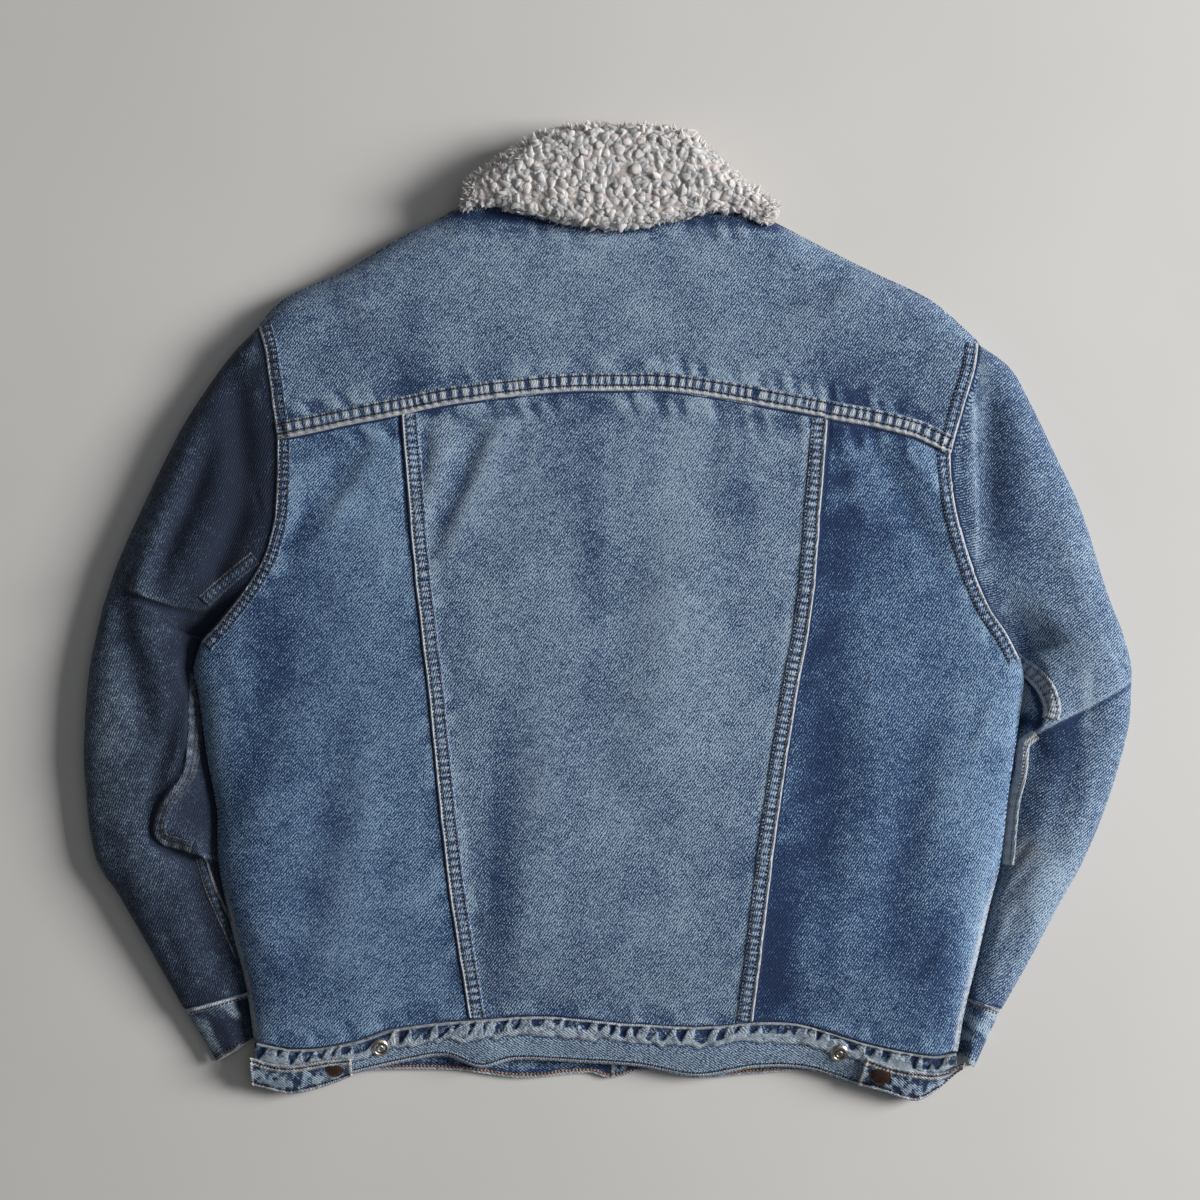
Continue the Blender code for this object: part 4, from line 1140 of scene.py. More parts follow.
    def build_pile(self) -> NodeTree:
        """Matted curls of pile: strands, painted shade in the creases and a faint yellowing.

        Returns:
            The group.
        """
        takes = {"Place": (0.0, 0.0, 0.0), "Strand": (0.0, 0.0, 0.0), "Crease": 1.0,
                 "Deep": (0.3, 0.26, 0.24, 1.0), "Tip": (0.7, 0.66, 0.63, 1.0)}
        tree, graph, i, o = make_group("sherpa_pile", takes,
                                       {"Color": self.COLOUR, "Height": self.VALUE})
        swirl = graph.add("TexNoise")
        graph.feed(swirl.inputs["Vector"], i["Place"])
        settle(swirl, {"Scale": 130.0})
        bent = graph.add("VectorMath", operation="MULTIPLY_ADD")
        graph.feed(bent.inputs[0], swirl.outputs["Color"])
        bent.inputs[1].default_value = (0.012, 0.012, 0.012)
        graph.feed(bent.inputs[2], i["Place"])
        strand = graph.noise(graph.scaled(i["Strand"], (1.0, 0.16, 1.0)), 1700.0, 3.0, 0.65)
        tuft = graph.noise(bent.outputs[0], 420.0, 3.0, 0.6)
        broad = graph.noise(i["Place"], 28.0, 2.0, 0.5)
        # Creases pull the colour towards Deep: painted shade.
        depth = graph.times(graph.less(strand, 0.5), 0.55, i["Crease"])
        depth = graph.times(graph.less(tuft, 0.5), 0.35, depth)
        depth = graph.times(graph.less(broad, 0.5), 0.25, depth)
        graph.feed(o["Color"], graph.blend(graph.spread(depth, 0.0, 0.95, 0.0, 1.0),
                                           i["Deep"], i["Tip"]))
        graph.feed(o["Height"], graph.times(tuft, 0.8, strand))
        return tree

    def build_tarnish(self) -> NodeTree:
        """Handled metal: scuffs that shine and a dull film between them.

        Returns:
            The group.
        """
        takes = {"Place": (0.0, 0.0, 0.0), "Metal": (0.5, 0.5, 0.5, 1.0),
                 "Film": (0.1, 0.1, 0.1, 1.0), "Gloss": 0.3, "Dull": 0.6}
        tree, graph, i, o = make_group("handled_metal", takes, {
            "Color": self.COLOUR, "Roughness": self.VALUE, "Height": self.VALUE})
        cloudy = graph.noise(i["Place"], 320.0, 4.0, 0.65)
        scratch = graph.noise(graph.scaled(i["Place"], (1.0, 0.08, 1.0), 30.0), 2600.0, 2.0, 0.6)
        film = graph.spread(cloudy, 0.38, 0.66, 0.0, 1.0)
        graph.feed(o["Color"], graph.blend(film, i["Metal"], i["Film"]))
        rough = graph.times(film, graph.less(i["Dull"], i["Gloss"]), i["Gloss"])
        graph.feed(o["Roughness"], graph.times(scratch, 0.12, rough))
        graph.feed(o["Height"], graph.times(scratch, 0.4, cloudy))
        return tree


def start_material(name: str) -> tuple[Material, Graph, Node]:
    """A material with its graph and its Principled shader.

    Args:
        name: Name of the material.

    Returns:
        The material, its graph and its shader.
    """
    made = bpy.data.materials.new(name)
    made.use_nodes = True
    return made, Graph(made.node_tree), made.node_tree.nodes["Principled BSDF"]


def settle(node: Node, values: dict[str, object]) -> None:
    """Set the values of a node's own sockets."""
    for key, value in values.items():
        node.inputs[key].default_value = value


def place_group(graph: Graph, tree: NodeTree, **values: object) -> Node:
    """Put a group in a graph with values or links for its inputs.

    Args:
        graph: The graph.
        tree: The group.
        values: Values or sockets by the names of its inputs.

    Returns:
        The node of the group.
    """
    node = graph.add("Group", node_tree=tree)
    for key, value in values.items():
        graph.feed(node.inputs[key], value)
    return node


def add_relief(graph: Graph, shader: Node, height: NodeSocket, depth: float) -> None:
    """Give a shader a fine relief of a depth in metres.

    Args:
        graph: The graph.
        shader: The shader.
        height: Height of the relief, from 0 to 1.
        depth: Its depth.
    """
    bump = graph.add("Bump")
    settle(bump, {"Strength": 1.0, "Distance": depth})
    graph.feed(bump.inputs["Height"], height)
    graph.feed(shader.inputs["Normal"], bump.outputs["Normal"])


@dataclass(frozen=True)
class DenimFinish:
    """A washed denim, by its colours and how far it is faded."""

    name: str
    slot: str
    level: float
    contrast: float = 0.75
    heather: float = 2.6
    indigo: Triple = (0.011, 0.028, 0.088)
    washed: Triple = (0.070, 0.140, 0.262)
    pale: Triple = (0.370, 0.480, 0.600)
    yarn: Triple = (0.640, 0.630, 0.610)
    weft: Triple = (0.270, 0.260, 0.262)
    pitch: float = 0.00182
    ribs: float = 0.90

    def material(self, effects: Effects) -> Material:
        """Build the material.

        Args:
            effects: The shared node groups.

        Returns:
            The finished material.
        """
        made, graph, shader = start_material(self.name)
        reads = {key: graph.add("Attribute", attribute_name=key)
                 for key in ("cloth", "wear", "edge", "stain")}
        cloth = reads["cloth"].outputs["Vector"]
        twill = place_group(graph, effects.twill, Cloth=cloth, Pitch=self.pitch, Ribs=self.ribs,
                            Heather=self.heather)
        wash = place_group(graph, effects.wash, Cloth=cloth, Shade=twill.outputs["Shade"],
                           Wear=reads["wear"].outputs["Fac"], Edge=reads["edge"].outputs["Fac"],
                           Stain=reads["stain"].outputs["Fac"], Level=self.level,
                           Contrast=self.contrast, Indigo=(*self.indigo, 1.0),
                           Washed=(*self.washed, 1.0), Pale=(*self.pale, 1.0),
                           Yarn=(*self.yarn, 1.0), Weft=(*self.weft, 1.0))
        graph.feed(shader.inputs["Base Color"], wash.outputs["Color"])
        graph.feed(shader.inputs["Roughness"], wash.outputs["Roughness"])
        settle(shader, {"Sheen Weight": 0.12, "Sheen Roughness": 0.5, "Specular IOR Level": 0.22})
        add_relief(graph, shader, twill.outputs["Height"], 0.00030)
        return made


@dataclass(frozen=True)
class SherpaFinish:
    """Curly pile, from the shade of its creases to its tips."""

    name: str
    slot: str
    deep: Triple = (0.420, 0.370, 0.355)
    tip: Triple = (0.690, 0.650, 0.640)

    def material(self, effects: Effects) -> Material:
        """Build the material.

        Args:
            effects: The shared node groups.

        Returns:
            The finished material.
        """
        made, graph, shader = start_material(self.name)
        place = graph.add("TexCoord").outputs["Object"]
        crease = graph.add("Attribute", attribute_name="crease").outputs["Fac"]
        strand = graph.add("Attribute", attribute_name="strand").outputs["Vector"]
        pile = place_group(graph, effects.pile, Place=place, Strand=strand, Crease=crease,
                           Deep=(*self.deep, 1.0), Tip=(*self.tip, 1.0))
        graph.feed(shader.inputs["Base Color"], pile.outputs["Color"])
        settle(shader, {"Roughness": 0.95, "Sheen Weight": 0.25, "Sheen Roughness": 0.6,
                        "Specular IOR Level": 0.1, "Subsurface Weight": 0.70,
                        "Subsurface Radius": (0.6, 0.5, 0.45), "Subsurface Scale": 0.007})
        add_relief(graph, shader, pile.outputs["Height"], 0.0006)
        return made


@dataclass(frozen=True)
class MetalFinish:
    """A handled metal, bright where it rubs and filmed elsewhere."""

    name: str
    slot: str
    metal: Triple
    film: Triple
    gloss: float
    dull: float

    def material(self, effects: Effects) -> Material:
        """Build the material.

        Args:
            effects: The shared node groups.

        Returns:
            The finished material.
        """
        made, graph, shader = start_material(self.name)
        place = graph.add("TexCoord").outputs["Object"]
        film = place_group(graph, effects.tarnish, Place=place, Metal=(*self.metal, 1.0),
                           Film=(*self.film, 1.0), Gloss=self.gloss, Dull=self.dull)
        settle(shader, {"Metallic": 1.0})
        graph.feed(shader.inputs["Base Color"], film.outputs["Color"])
        graph.feed(shader.inputs["Roughness"], film.outputs["Roughness"])
        add_relief(graph, shader, film.outputs["Height"], 0.00006)
        return made


@dataclass(frozen=True)
class ThreadFinish:
    """A sewing thread with its uneven dye."""

    name: str
    dark: Triple
    light: Triple

    def material(self) -> Material:
        """Build the material, with a fine twist.

        Returns:
            The finished material.
        """
        made, graph, shader = start_material(self.name)
        place = graph.add("TexCoord").outputs["Object"]
        dye = graph.spread(graph.noise(place, 90.0, 4.0, 0.7), 0.35, 0.65, 0.0, 1.0)
        colour = graph.blend(dye, (*self.dark, 1.0), (*self.light, 1.0))
        graph.feed(shader.inputs["Base Color"], colour)
        settle(shader, {"Roughness": 0.75})
        add_relief(graph, shader, graph.noise(place, 3000.0, 1.0), 0.0001)
        return made


class Finishes:
    """Every material of the jacket, made once."""

    def __init__(self) -> None:
        """Build the shared effects and then the materials."""
        effects = Effects()
        self.denim = DenimFinish("washed_denim", "denim", 0.50).material(effects)
        self.faded = DenimFinish("faded_denim", "denim_faded", 0.60, heather=3.2,
                                 ribs=0.7).material(effects)
        self.deep = DenimFinish("deep_denim", "denim", 0.50, washed=(0.052, 0.128, 0.272),
                                pale=(0.310, 0.450, 0.610)).material(effects)
        # The left sleeve's denim is a darker, greyer copy that paints the shade that side lies in.
        self.shaded = DenimFinish("shaded_denim", "denim", 0.50, heather=1.5, ribs=0.5,
                                  indigo=(0.013, 0.021, 0.045), washed=(0.074, 0.116, 0.182),
                                  pale=(0.37, 0.45, 0.54)).material(effects)
        # The under collar's raw denim is kept very dark: its own indigo, and also painted shade under the collar's
        # free edge.
        self.dark = DenimFinish("raw_denim", "denim_dark", 0.10, ribs=0.3).material(effects)
        self.sherpa = SherpaFinish("sherpa_pile", "sherpa").material(effects)
        self.copper = MetalFinish("old_copper", "copper", (0.17, 0.105, 0.080),
                                  (0.062, 0.042, 0.036), 0.36, 0.62).material(effects)
        self.nickel = MetalFinish("worn_nickel", "nickel", (0.62, 0.59, 0.54),
                                  (0.24, 0.21, 0.17), 0.22, 0.5).material(effects)
        self.brown = ThreadFinish("brown_thread", (0.012, 0.009, 0.009),
                                  (0.050, 0.031, 0.022)).material()
        self.pale = ThreadFinish("pale_thread", (0.36, 0.34, 0.32), (0.60, 0.57, 0.53)).material()
        self.orange = ThreadFinish("copper_thread", (0.22, 0.095, 0.035), (0.50, 0.26, 0.11)).material()

    def sleeve(self, side: Side) -> Material:
        """Denim of a sleeve: the left one is a darker, greyer copy that paints the shade the left sleeve lies in."""
        return self.denim if side is Side.RIGHT else self.shaded


# ---------------------------------------------------------------- sewing
@dataclass
class Stitching:
    """Stitches along lines, in one thread."""

    name: str
    finish: Material
    length: float = 1.55
    pitch: float = 2.7
    radius: float = 0.74
    places: list = field(default_factory=list)

    def run(self, line: Array, ground: Ground, lift: float = 0.12, missing: float = 0.0) -> None:
        """Sew along a line of places on the ground.

        Args:
            line: Points in plan.
            ground: What the stitches lie on.
            lift: Height of their middle over it.
            missing: Height where there is nothing below.
        """
        reach = reach_of(line)
        count = max(int(reach[-1] / self.pitch), 1)
        starts = (np.arange(count) + 0.12) * reach[-1] / count
        both = []
        for at in (starts, starts + self.length):
            x, y = np.interp(at, reach, line[:, 0]), np.interp(at, reach, line[:, 1])
            both.append(np.column_stack([x, y, ground.heights(x, y, missing) + lift]))
        keep = np.abs(both[0][:, 2] - both[1][:, 2]) < 2.5
        self.places += [(a, b) for a, b, ok in zip(both[0], both[1], keep) if ok]

    def make(self) -> Object:
        """Make all stitches as one piece of short, tapered rolls.

        Returns:
            The new piece.
        """
        ends = np.array(self.places)
        start, end = ends[:, 0], ends[:, 1]
        run = unit(end - start)
        beside = np.stack([-run[:, 1], run[:, 0], np.zeros(len(run))], 1)
        up = np.cross(run, beside)
        count, sides = len(ends), 5
        points = [start - run * 0.1 - up * 0.25]
        for share, size in ((0.25, 0.92), (0.75, 1.0)):
            middle = start + (end - start) * share + up * 0.12
            for k in range(sides):
                turn = math.tau * k / sides
                points.append(middle + self.radius * size * (beside * math.cos(turn)
                                                            + up * math.sin(turn)))
        points.append(end + run * 0.1 - up * 0.25)
        verts = np.stack(points, 1).reshape(-1, 3)
        each, faces = 2 * sides + 2, []
        for base in range(0, count * each, each):
            for k in range(sides):
                n = (k + 1) % sides
                a, b = base + 1 + k, base + 1 + n
                c, d = a + sides, b + sides
                faces += [[base, b, a], [a, b, d, c], [c, d, base + each - 1]]
        return make_mesh(self.name, verts, faces, [self.finish], crisp=180)


@dataclass
class Strip:
    """A felled seam or folded edge: a raised strip beside a sewn line.

    Distances run from the line, to the left of its run where width is positive.
    """

    name: str
    line: Array
    width: float
    rise: float = 1.1
    rows: tuple[float, ...] = ()
    roped: tuple[float, ...] = ()
    frayed: tuple[float, ...] = ()
    bare: float = 0.0
    deep: float = 0.0
    pitch: float = 4.2
    mottle: float = 0.75
    wear: float = 0.0
    relief: float = 0.35
    cord: float = 1.0
    twist: float = 0.08
    step: float = 1.4
    seed: int = 5
    sink: float = 0.5

    def offset(self, distance: float) -> Array:
        """The line moved sideways by a distance into the strip."""
        return self.line + left_of(self.line) * math.copysign(1, self.width) * distance

    def make(self, ground: Ground, finish: Material, missing: float = 0.0) -> Object:
        """Make the strip on its ground.

        Args:
            ground: What it is sewn to.
            finish: Its denim.
            missing: Height where there is nothing below.

        Returns:
            The new piece.
        """
        noise = Noise(self.seed)
        reach = reach_of(self.line)
        count = max(int(reach[-1] / self.step), 4)
        at = np.linspace(0, reach[-1], count)
        self.line = np.stack([np.interp(at, reach, self.line[:, k]) for k in (0, 1)], 1)
        wide = abs(self.width)
        columns = np.unique(np.concatenate([
            np.linspace(0, wide, max(int(wide / 0.8), 5)),
            [d for row in self.rows for d in (row - 0.45, row, row + 0.45)]]))
        columns = columns[(columns >= 0) & (columns <= wide)]
        if self.deep:
            columns = np.concatenate([[-self.deep, -0.6 * self.deep, -0.25], columns])
        wobble = 0.35 * noise.at(at, 0 * at, 13)
        plan = np.stack([self.offset(d) for d in columns], 1)
        normal = left_of(self.line)
        plan += normal[:, None, :] * wobble[:, None, None]
        d, place = np.meshgrid(columns, at)
        base = ground.heights(plan[..., 0], plan[..., 1], missing)
        for shift in (0.8, -0.8):
            moved = plan + normal[:, None, :] * shift
            near = ground.heights(moved[..., 0], moved[..., 1], missing)
            base = np.where(near - base > 2.0, near, base)
        edge = np.minimum(d, wide - d)
        height = self.rise * np.minimum(np.sqrt(np.clip(edge / 0.9, 0.02, 1)), 1)
        phase = place * math.tau / self.pitch + 3.2 * noise.at(place, d * 0.3, 13)
        bars = np.tanh(2.2 * np.sin(phase) + 0.8 * noise.at(place + 90, d, 4))
        bars = bars * (0.7 + 0.3 * noise.at(place + 300, 0 * d, 19))
        clear = np.ones_like(d)
        wear = np.full_like(d, self.wear)
        frayed = self.bare * smooth(edge / 1.2) * (0.75 + 0.25 * bars)
        # Each row's groove is darkened: painted shade in the groove.
        for row in self.rows:
            groove = bell(d - row, 0.75)
            height -= 0.38 * groove
            clear *= 1 - 0.7 * bell(d - row, 1.1)
            wear -= 0.45 * groove
        inside = clear * smooth(edge / 1.6)
        height += self.relief * bars * inside
        wear += self.mottle * bars * inside
        frayed += np.clip(self.mottle - 0.6, 0, 0.9) * np.clip(bars, 0, 1) * inside
        twist = noise.at(place + 0.9 * d, d * 0.2, 2.6)
        for row in self.roped:
            rope = bell(d - row, self.cord)
            height += rope * (0.5 + 0.2 * twist)
            frayed += rope * (0.80 + self.twist * np.sin((place + 1.3 * d) * math.tau / 2.7))
            wear = wear * (1 - rope) + 0.8 * rope
        # The deep skirt beyond the line is darkened: partly unfaded indigo beside the fold, partly painted shadow in
        # the seam's gap.
        beyond = smooth(-d / 0.3)
        height = height * (1 - beyond) + 0.1
        frayed, wear = frayed * (1 - beyond), wear * (1 - beyond) - 2.2 * beyond
        for row in self.frayed:
            frayed += bell(d - row, 0.7) * (0.5 + 0.4 * noise.at(place, d, 5))
        grid = Cloth(plan, base + height, base - self.sink, wear,
                     edge=np.clip(frayed, 0, 1), grain=20.0, bulge=0.25, free=ALL_ROUND)
        return grid.make(self.name, [finish])

    def stitch(self, sewing: Stitching, ground: Ground, missing: float = 0.0) -> None:
        """Sew along the strip's rows."""
        for row in self.rows:
            sewing.run(self.offset(row), ground, lift=0.25, missing=missing)


# ---------------------------------------------------------------- body
@dataclass
class Body:
    """Back panels, yoke and front panels on shared seam points."""

    finishes: Finishes
    split: float = 15.5
    crown: float = 36.0
    hem_top: float = 25.0
    hem_fall: float = 85.0
    side_fall: float = 4.0
    shoulder_fall: float = 4.0
    front_opening: float = 3.0
    front_band: float = 36.0
    neck_foot: float = 208.0
    snap_radius: float = 8.4
    snap_first: float = -285.0
    snap_step: float = 78.0
    snaps: int = 6
    rows_side: int = 112
    rows_arm: int = 62
    columns_side: int = 62
    columns_centre: int = 118
    rows_yoke: int = 62
    columns_front: int = 44
    rows_shoulder: int = 24
    columns_band: int = 19
    rows_band: int = 250
    share: float = 0.665
    yoke_seam: Rows = ((-249, 132), (-195, 143), (-155, 151), (-108, 160), (-35, 168), (8, 169),
                       (52, 168), (132, 155), (167, 148), (225, 136), (260, 121))
    hem_seam: Rows = ((-267, -324), (-235, -329), (-196, -324), (-158, -313), (-104, -307),
                      (-46, -304), (10, -309), (73, -312), (111, -309), (146, -310),
                      (199, -325), (247, -334), (266, -332))
    yoke_crossings: tuple[int, int] = (2, 8)
    hem_crossings: tuple[int, int] = (4, 8)
    princess: dict[Side, Rows] = by_side(
        ((-104, -307), (-121, -191), (-133, -75), (-146, 41), (-155, 151)),
        ((111, -309), (128, -164), (143, -65), (155, 4), (162, 84), (167, 148)))
    side_edge: dict[Side, Rows] = by_side(
        ((-267, -324, 17, 12, 30), (-273, -282, 18, 13, 32), (-284, -238, 18, 13, 34),
         (-294, -187, 18, 13, 34), (-295, -150, 18, 13, 34), (-303, -106, 18, 13, 34),
         (-309, -61, 19, 13, 34), (-313, -42, 20, 12, 32), (-307, -21, 24, 8, 26)),
        ((266, -332, 17, 12, 30), (271, -302, 18, 13, 32), (281, -261, 18, 13, 34),
         (290, -222, 18, 13, 34), (298, -190, 18, 13, 34), (305, -133, 18, 13, 34),
         (313, -77, 19, 13, 34), (316, -50, 20, 12, 32), (313, -33, 24, 8, 26)))
    armhole: dict[Side, Rows] = by_side(
        ((-307, -21, 24, 8, 26), (-292, -4, 27, 0, 22), (-276, 16, 29, 0, 20),
         (-260, 42, 30, 0, 18), (-252, 69, 31, 0, 18), (-250, 90, 31, 0, 18),
         (-249, 132, 31, 0, 18)),
        ((313, -33, 24, 8, 26), (303, -14, 27, 0, 22), (290, 5, 29, 0, 20),
         (276, 38, 30, 0, 18), (266, 72, 31, 0, 18), (261, 101, 31, 0, 18),
         (260, 121, 31, 0, 18)))
    yoke_side: dict[Side, Rows] = by_side(
        ((-249, 132), (-255, 176), (-259, 203), (-264, 219)),
        ((260, 121), (271, 161), (278, 184), (282, 206)))
    shoulder: Rows = (
        (-264, 219, 19, 10, 24), (-244, 239, 18, 10, 26), (-199, 260, 18, 10, 28),
        (-157, 285, 18, 10, 28), (-127, 300, 19, 10, 26), (-106, 310, 23, 10, 22),
        (-66, 309, 26, 10, 22), (-4, 298, 26, 10, 22), (48, 302, 26, 10, 22),
        (104, 307, 25, 10, 22), (129, 296, 20, 10, 22), (162, 279, 18, 10, 28),
        (200, 260, 18, 10, 28), (244, 239, 18, 10, 26), (263, 224, 18, 10, 26),
        (282, 206, 19, 10, 24))
    front_hem: dict[Side, Rows] = by_side(((-267, -324), (-150, -319)), ((266, -332), (150, -322)))
    hem_y: float = -320.0
    neck: dict[Side, tuple[float, float]] = by_side((-112, 309), (118, 303))
    folds: tuple[Fold, ...] = (
        Fold(-176, 121, -232, 39, 13, 1.0, 2.6), Fold(-79, 142, -123, 38, 13, 1.6, 2.2),
        Fold(-123, 138, -132, 84, 11, 1.2, 1.8), Fold(215, 138, 272, 38, 14, 1.6, 1.8),
        Fold(-232, -60, -262, -170, 24, 1.6, 2.0), Fold(-180, -120, -205, -260, 22, 1.6, 1.8),
        Fold(-40, -90, -70, -270, 26, 1.4, 1.6), Fold(60, 60, 30, -120, 30, 1.6, 1.6),
        Fold(205, -30, 188, -210, 26, 1.8, 1.8), Fold(262, -100, 236, -250, 20, 1.6, 2.0),
        Fold(-200, 250, -120, 190, 24, 1.4, 1.4), Fold(210, 240, 120, 200, 24, 1.4, 1.4))
    creases: tuple[Fold, ...] = (
        Fold(-176, 121, -215, 60, 6, 0.0, 0.9), Fold(-84, 138, -118, 62, 6, 0.4, 0.7),
        Fold(-132, 138, -136, 96, 5, 0.3, 0.6), Fold(221, 132, 262, 76, 5, 0.9, 0.3),
        Fold(262, 76, 276, 30, 5, 0.8, 0.3), Fold(180, 130, 196, 70, 8, 0.5, 0.5),
        Fold(-246, 60, -268, 14, 5, 0.5, 0.6), Fold(20, 150, 14, 96, 8, 0.3, 0.4),
        Fold(96, 148, 84, 84, 9, 0.3, 0.4), Fold(-52, 152, -58, 104, 7, 0.3, 0.3),
        Fold(-286, -30, -262, -92, 7, 0.5, 0.6), Fold(300, -52, 276, -110, 7, 0.5, 0.6),
        Fold(-276, -226, -236, -276, 9, 0.6, 0.7), Fold(272, -240, 236, -286, 9, 0.6, 0.7),
        Fold(-212, 268, -188, 232, 8, 0.4, 0.4), Fold(190, 262, 168, 226, 8, 0.4, 0.4))
    # Halos with a strong dark amount hugging a seam paint its gap: partly unfaded indigo, partly painted shadow.
    halos: tuple[Halo, ...] = (
        Halo("yoke", 13.5, 34, 0.06, 0.45, 0.5, 6.5),
        Halo("yoke", -0.3, -2.6, -2.2, 0.2, 0.1, 6, 0.9),
        Halo("yoke", -1.5, -30, -0.04, 0.42, 0.6, 7.5),
        Halo("princess_left", 0.3, 2.8, -2.4, 0.1, 0.1, 6, 1.1),
        Halo("princess_left", 2.5, 18, -0.04, 0.14, 0.25, 10),
        Halo("princess_left", -12, -22, 0.34, 0.20, 0.25, 9),
        Halo("princess_right", -0.3, -2.8, -2.4, 0.1, 0.1, 6, 1.1),
        Halo("princess_right", -2.5, -40, -0.62, 0.25, 0.25, 16),
        Halo("princess_right", 12, 22, 0.34, 0.20, 0.25, 9),
        Halo("armhole_left", -9.5, -24, 0.22, 0.26, 0.35, 8),
        Halo("armhole_right", 9.5, 24, 0.22, 0.26, 0.35, 8),
        Halo("shoulder_left", 9.5, 20, 0.20, 0.26, 0.3, 8),
        Halo("shoulder_right", -9.5, -20, 0.20, 0.26, 0.3, 8),
        Halo("hem", 0.2, 2.4, -1.6, 0.2, 0.1, 5, 0.9), Halo("hem", 2, 20, -0.05, 0.22, 0.45, 8),
        # The second neck halo paints the shadow that the collar casts on the yoke.
        Halo("neck", 0, -24, -0.08, 0.40, 0.6, 8), Halo("neck", 0, -9, -1.1, 0.3, 0.2, 9))
    patches: tuple[Patch, ...] = (
        Patch(0, 60, 150, 190, 0.16), Patch(0, -180, 120, 150, 0.04),
        Patch(-10, 236, 190, 60, 0.04), Patch(-190, 190, 60, 50, -0.18),
        Patch(205, 180, 60, 50, -0.45), Patch(225, 60, 55, 70, -0.20),
        Patch(-235, -120, 70, 210, -0.30), Patch(240, -150, 80, 180, -0.40),
        Patch(262, -262, 50, 60, -0.32), Patch(-215, 88, 40, 40, 0.10),
        Patch(-250, -280, 40, 40, -0.12),
        Patch(-165, 60, 22, 60, 0.16), Patch(120, 95, 22, 60, 0.14),
        Patch(-8, 20, 14, 40, -0.18), Patch(-70, -250, 60, 30, 0.08),
        Patch(200, 120, 26, 26, 0.16), Patch(-205, 190, 50, 36, 0.05),
        Patch(165, -120, 18, 120, -0.60), Patch(165, -250, 16, 60, -0.30),
        Patch(-100, -230, 20, 90, -0.26), Patch(-116, 10, 18, 90, -0.18),
        Patch(112, -210, 18, 100, -0.30), Patch(197, 130, 14, 50, -0.34),
        Patch(197, -130, 16, 80, -0.30), Patch(252, -250, 16, 50, -0.20),
        # Patch(283, -290) paints a highlight on the lit right edge of the body.
        Patch(283, -290, 10, 30, 0.40), Patch(-252, -20, 22, 50, -0.20),
        Patch(225, 125, 14, 45, -0.50), Patch(-78, -200, 15, 110, -0.30),
        Patch(-142, 178, 20, 50, -0.42), Patch(-38, 110, 24, 60, -0.24),
        Patch(-80, -190, 12, 110, -0.26), Patch(-12, 70, 11, 80, -0.36), Patch(48, 95, 12, 50, 0.30),
        Patch(100, 90, 16, 26, -0.36),
        Patch(128, -262, 18, 50, -0.50), Patch(-46, 170, 10, 16, -0.50), Patch(40, 160, 12, 16, -0.34),
        Patch(-22, -250, 13, 50, -0.24), Patch(60, -225, 16, 60, 0.20),
        # Patch(283, -250), Patch(268, -150) and Patch(284, 0) paint highlight along the body's lit right edge.
        Patch(283, -250, 12, 60, 0.70), Patch(268, -150, 24, 90, 0.34),
        Patch(284, 0, 12, 50, 0.30), Patch(-232, 52, 24, 40, -0.24),
        Patch(-258, -10, 26, 70, -0.30), Patch(158, 75, 15, 60, -0.34),
        Patch(197, 50, 18, 30, -0.34), Patch(-142, 60, 16, 40, 0.14),
        # The small dark ovals below paint the shade at the seam crossings, where one felled strip runs under another.
        Patch(-131, 153, 9, 7, -0.9), Patch(-165, 145, 8, 6, -0.8), Patch(158, 143, 8, 6, -0.9),
        Patch(174, 139, 7, 5, -0.7), Patch(-241, 150, 9, 6, -0.9), Patch(-244, 124, 6, 8, -0.7),
        Patch(254, 114, 8, 7, -0.9), Patch(249, 142, 8, 6, -0.7), Patch(-100, -300, 8, 8, -0.6),
        Patch(104, -300, 8, 8, -0.6))

    def __post_init__(self) -> None:
        """Sample the shared edges and name the seams."""
        rise = np.linspace(0, 1, self.rows_side)
        arm = np.linspace(0, 1, self.rows_arm)
        self.edges = {side: np.concatenate([flow(self.side_edge[side], rise),
                                            flow(self.armhole[side], arm)[1:]])
                      for side in Side}
        self.levels = np.concatenate([self.share * rise, self.share + (1 - self.share) * arm[1:]])
        self.noise = Noise(3)
        self.seams = {"yoke": Line(self.yoke_seam), "hem": Line(self.hem_seam),
                      "neck": Line(((-112, 306), (-60, 303), (5, 293), (62, 301), (128, 297)))}
        for side in Side:
            self.seams["princess_" + side.value] = Line(self.princess[side])
            self.seams["armhole_" + side.value] = Line(self.armhole[side])
            self.seams["shoulder_" + side.value] = Line(self.yoke_side[side])
        self.pieces: dict[str, Object] = {}

    def height(self, x: Array, y: Array) -> Array:
        """Height of the laid back before its edges round off.

        Args:
            x: Places across.
            y: Places along.

        Returns:
            Heights in millimetres.
        """
        hem = -308 - 22 * smooth((np.abs(x) - 100) / 130)
        height = self.crown - self.side_fall * (x / 290) ** 2
        height = height - self.shoulder_fall * smooth((y - 180) / 120)
        height += (self.hem_top - height) * (1 - smooth((y - hem) / self.hem_fall)) ** 1.5
        return height + folded(x, y, self.folds) * smooth((y - hem) / 60)

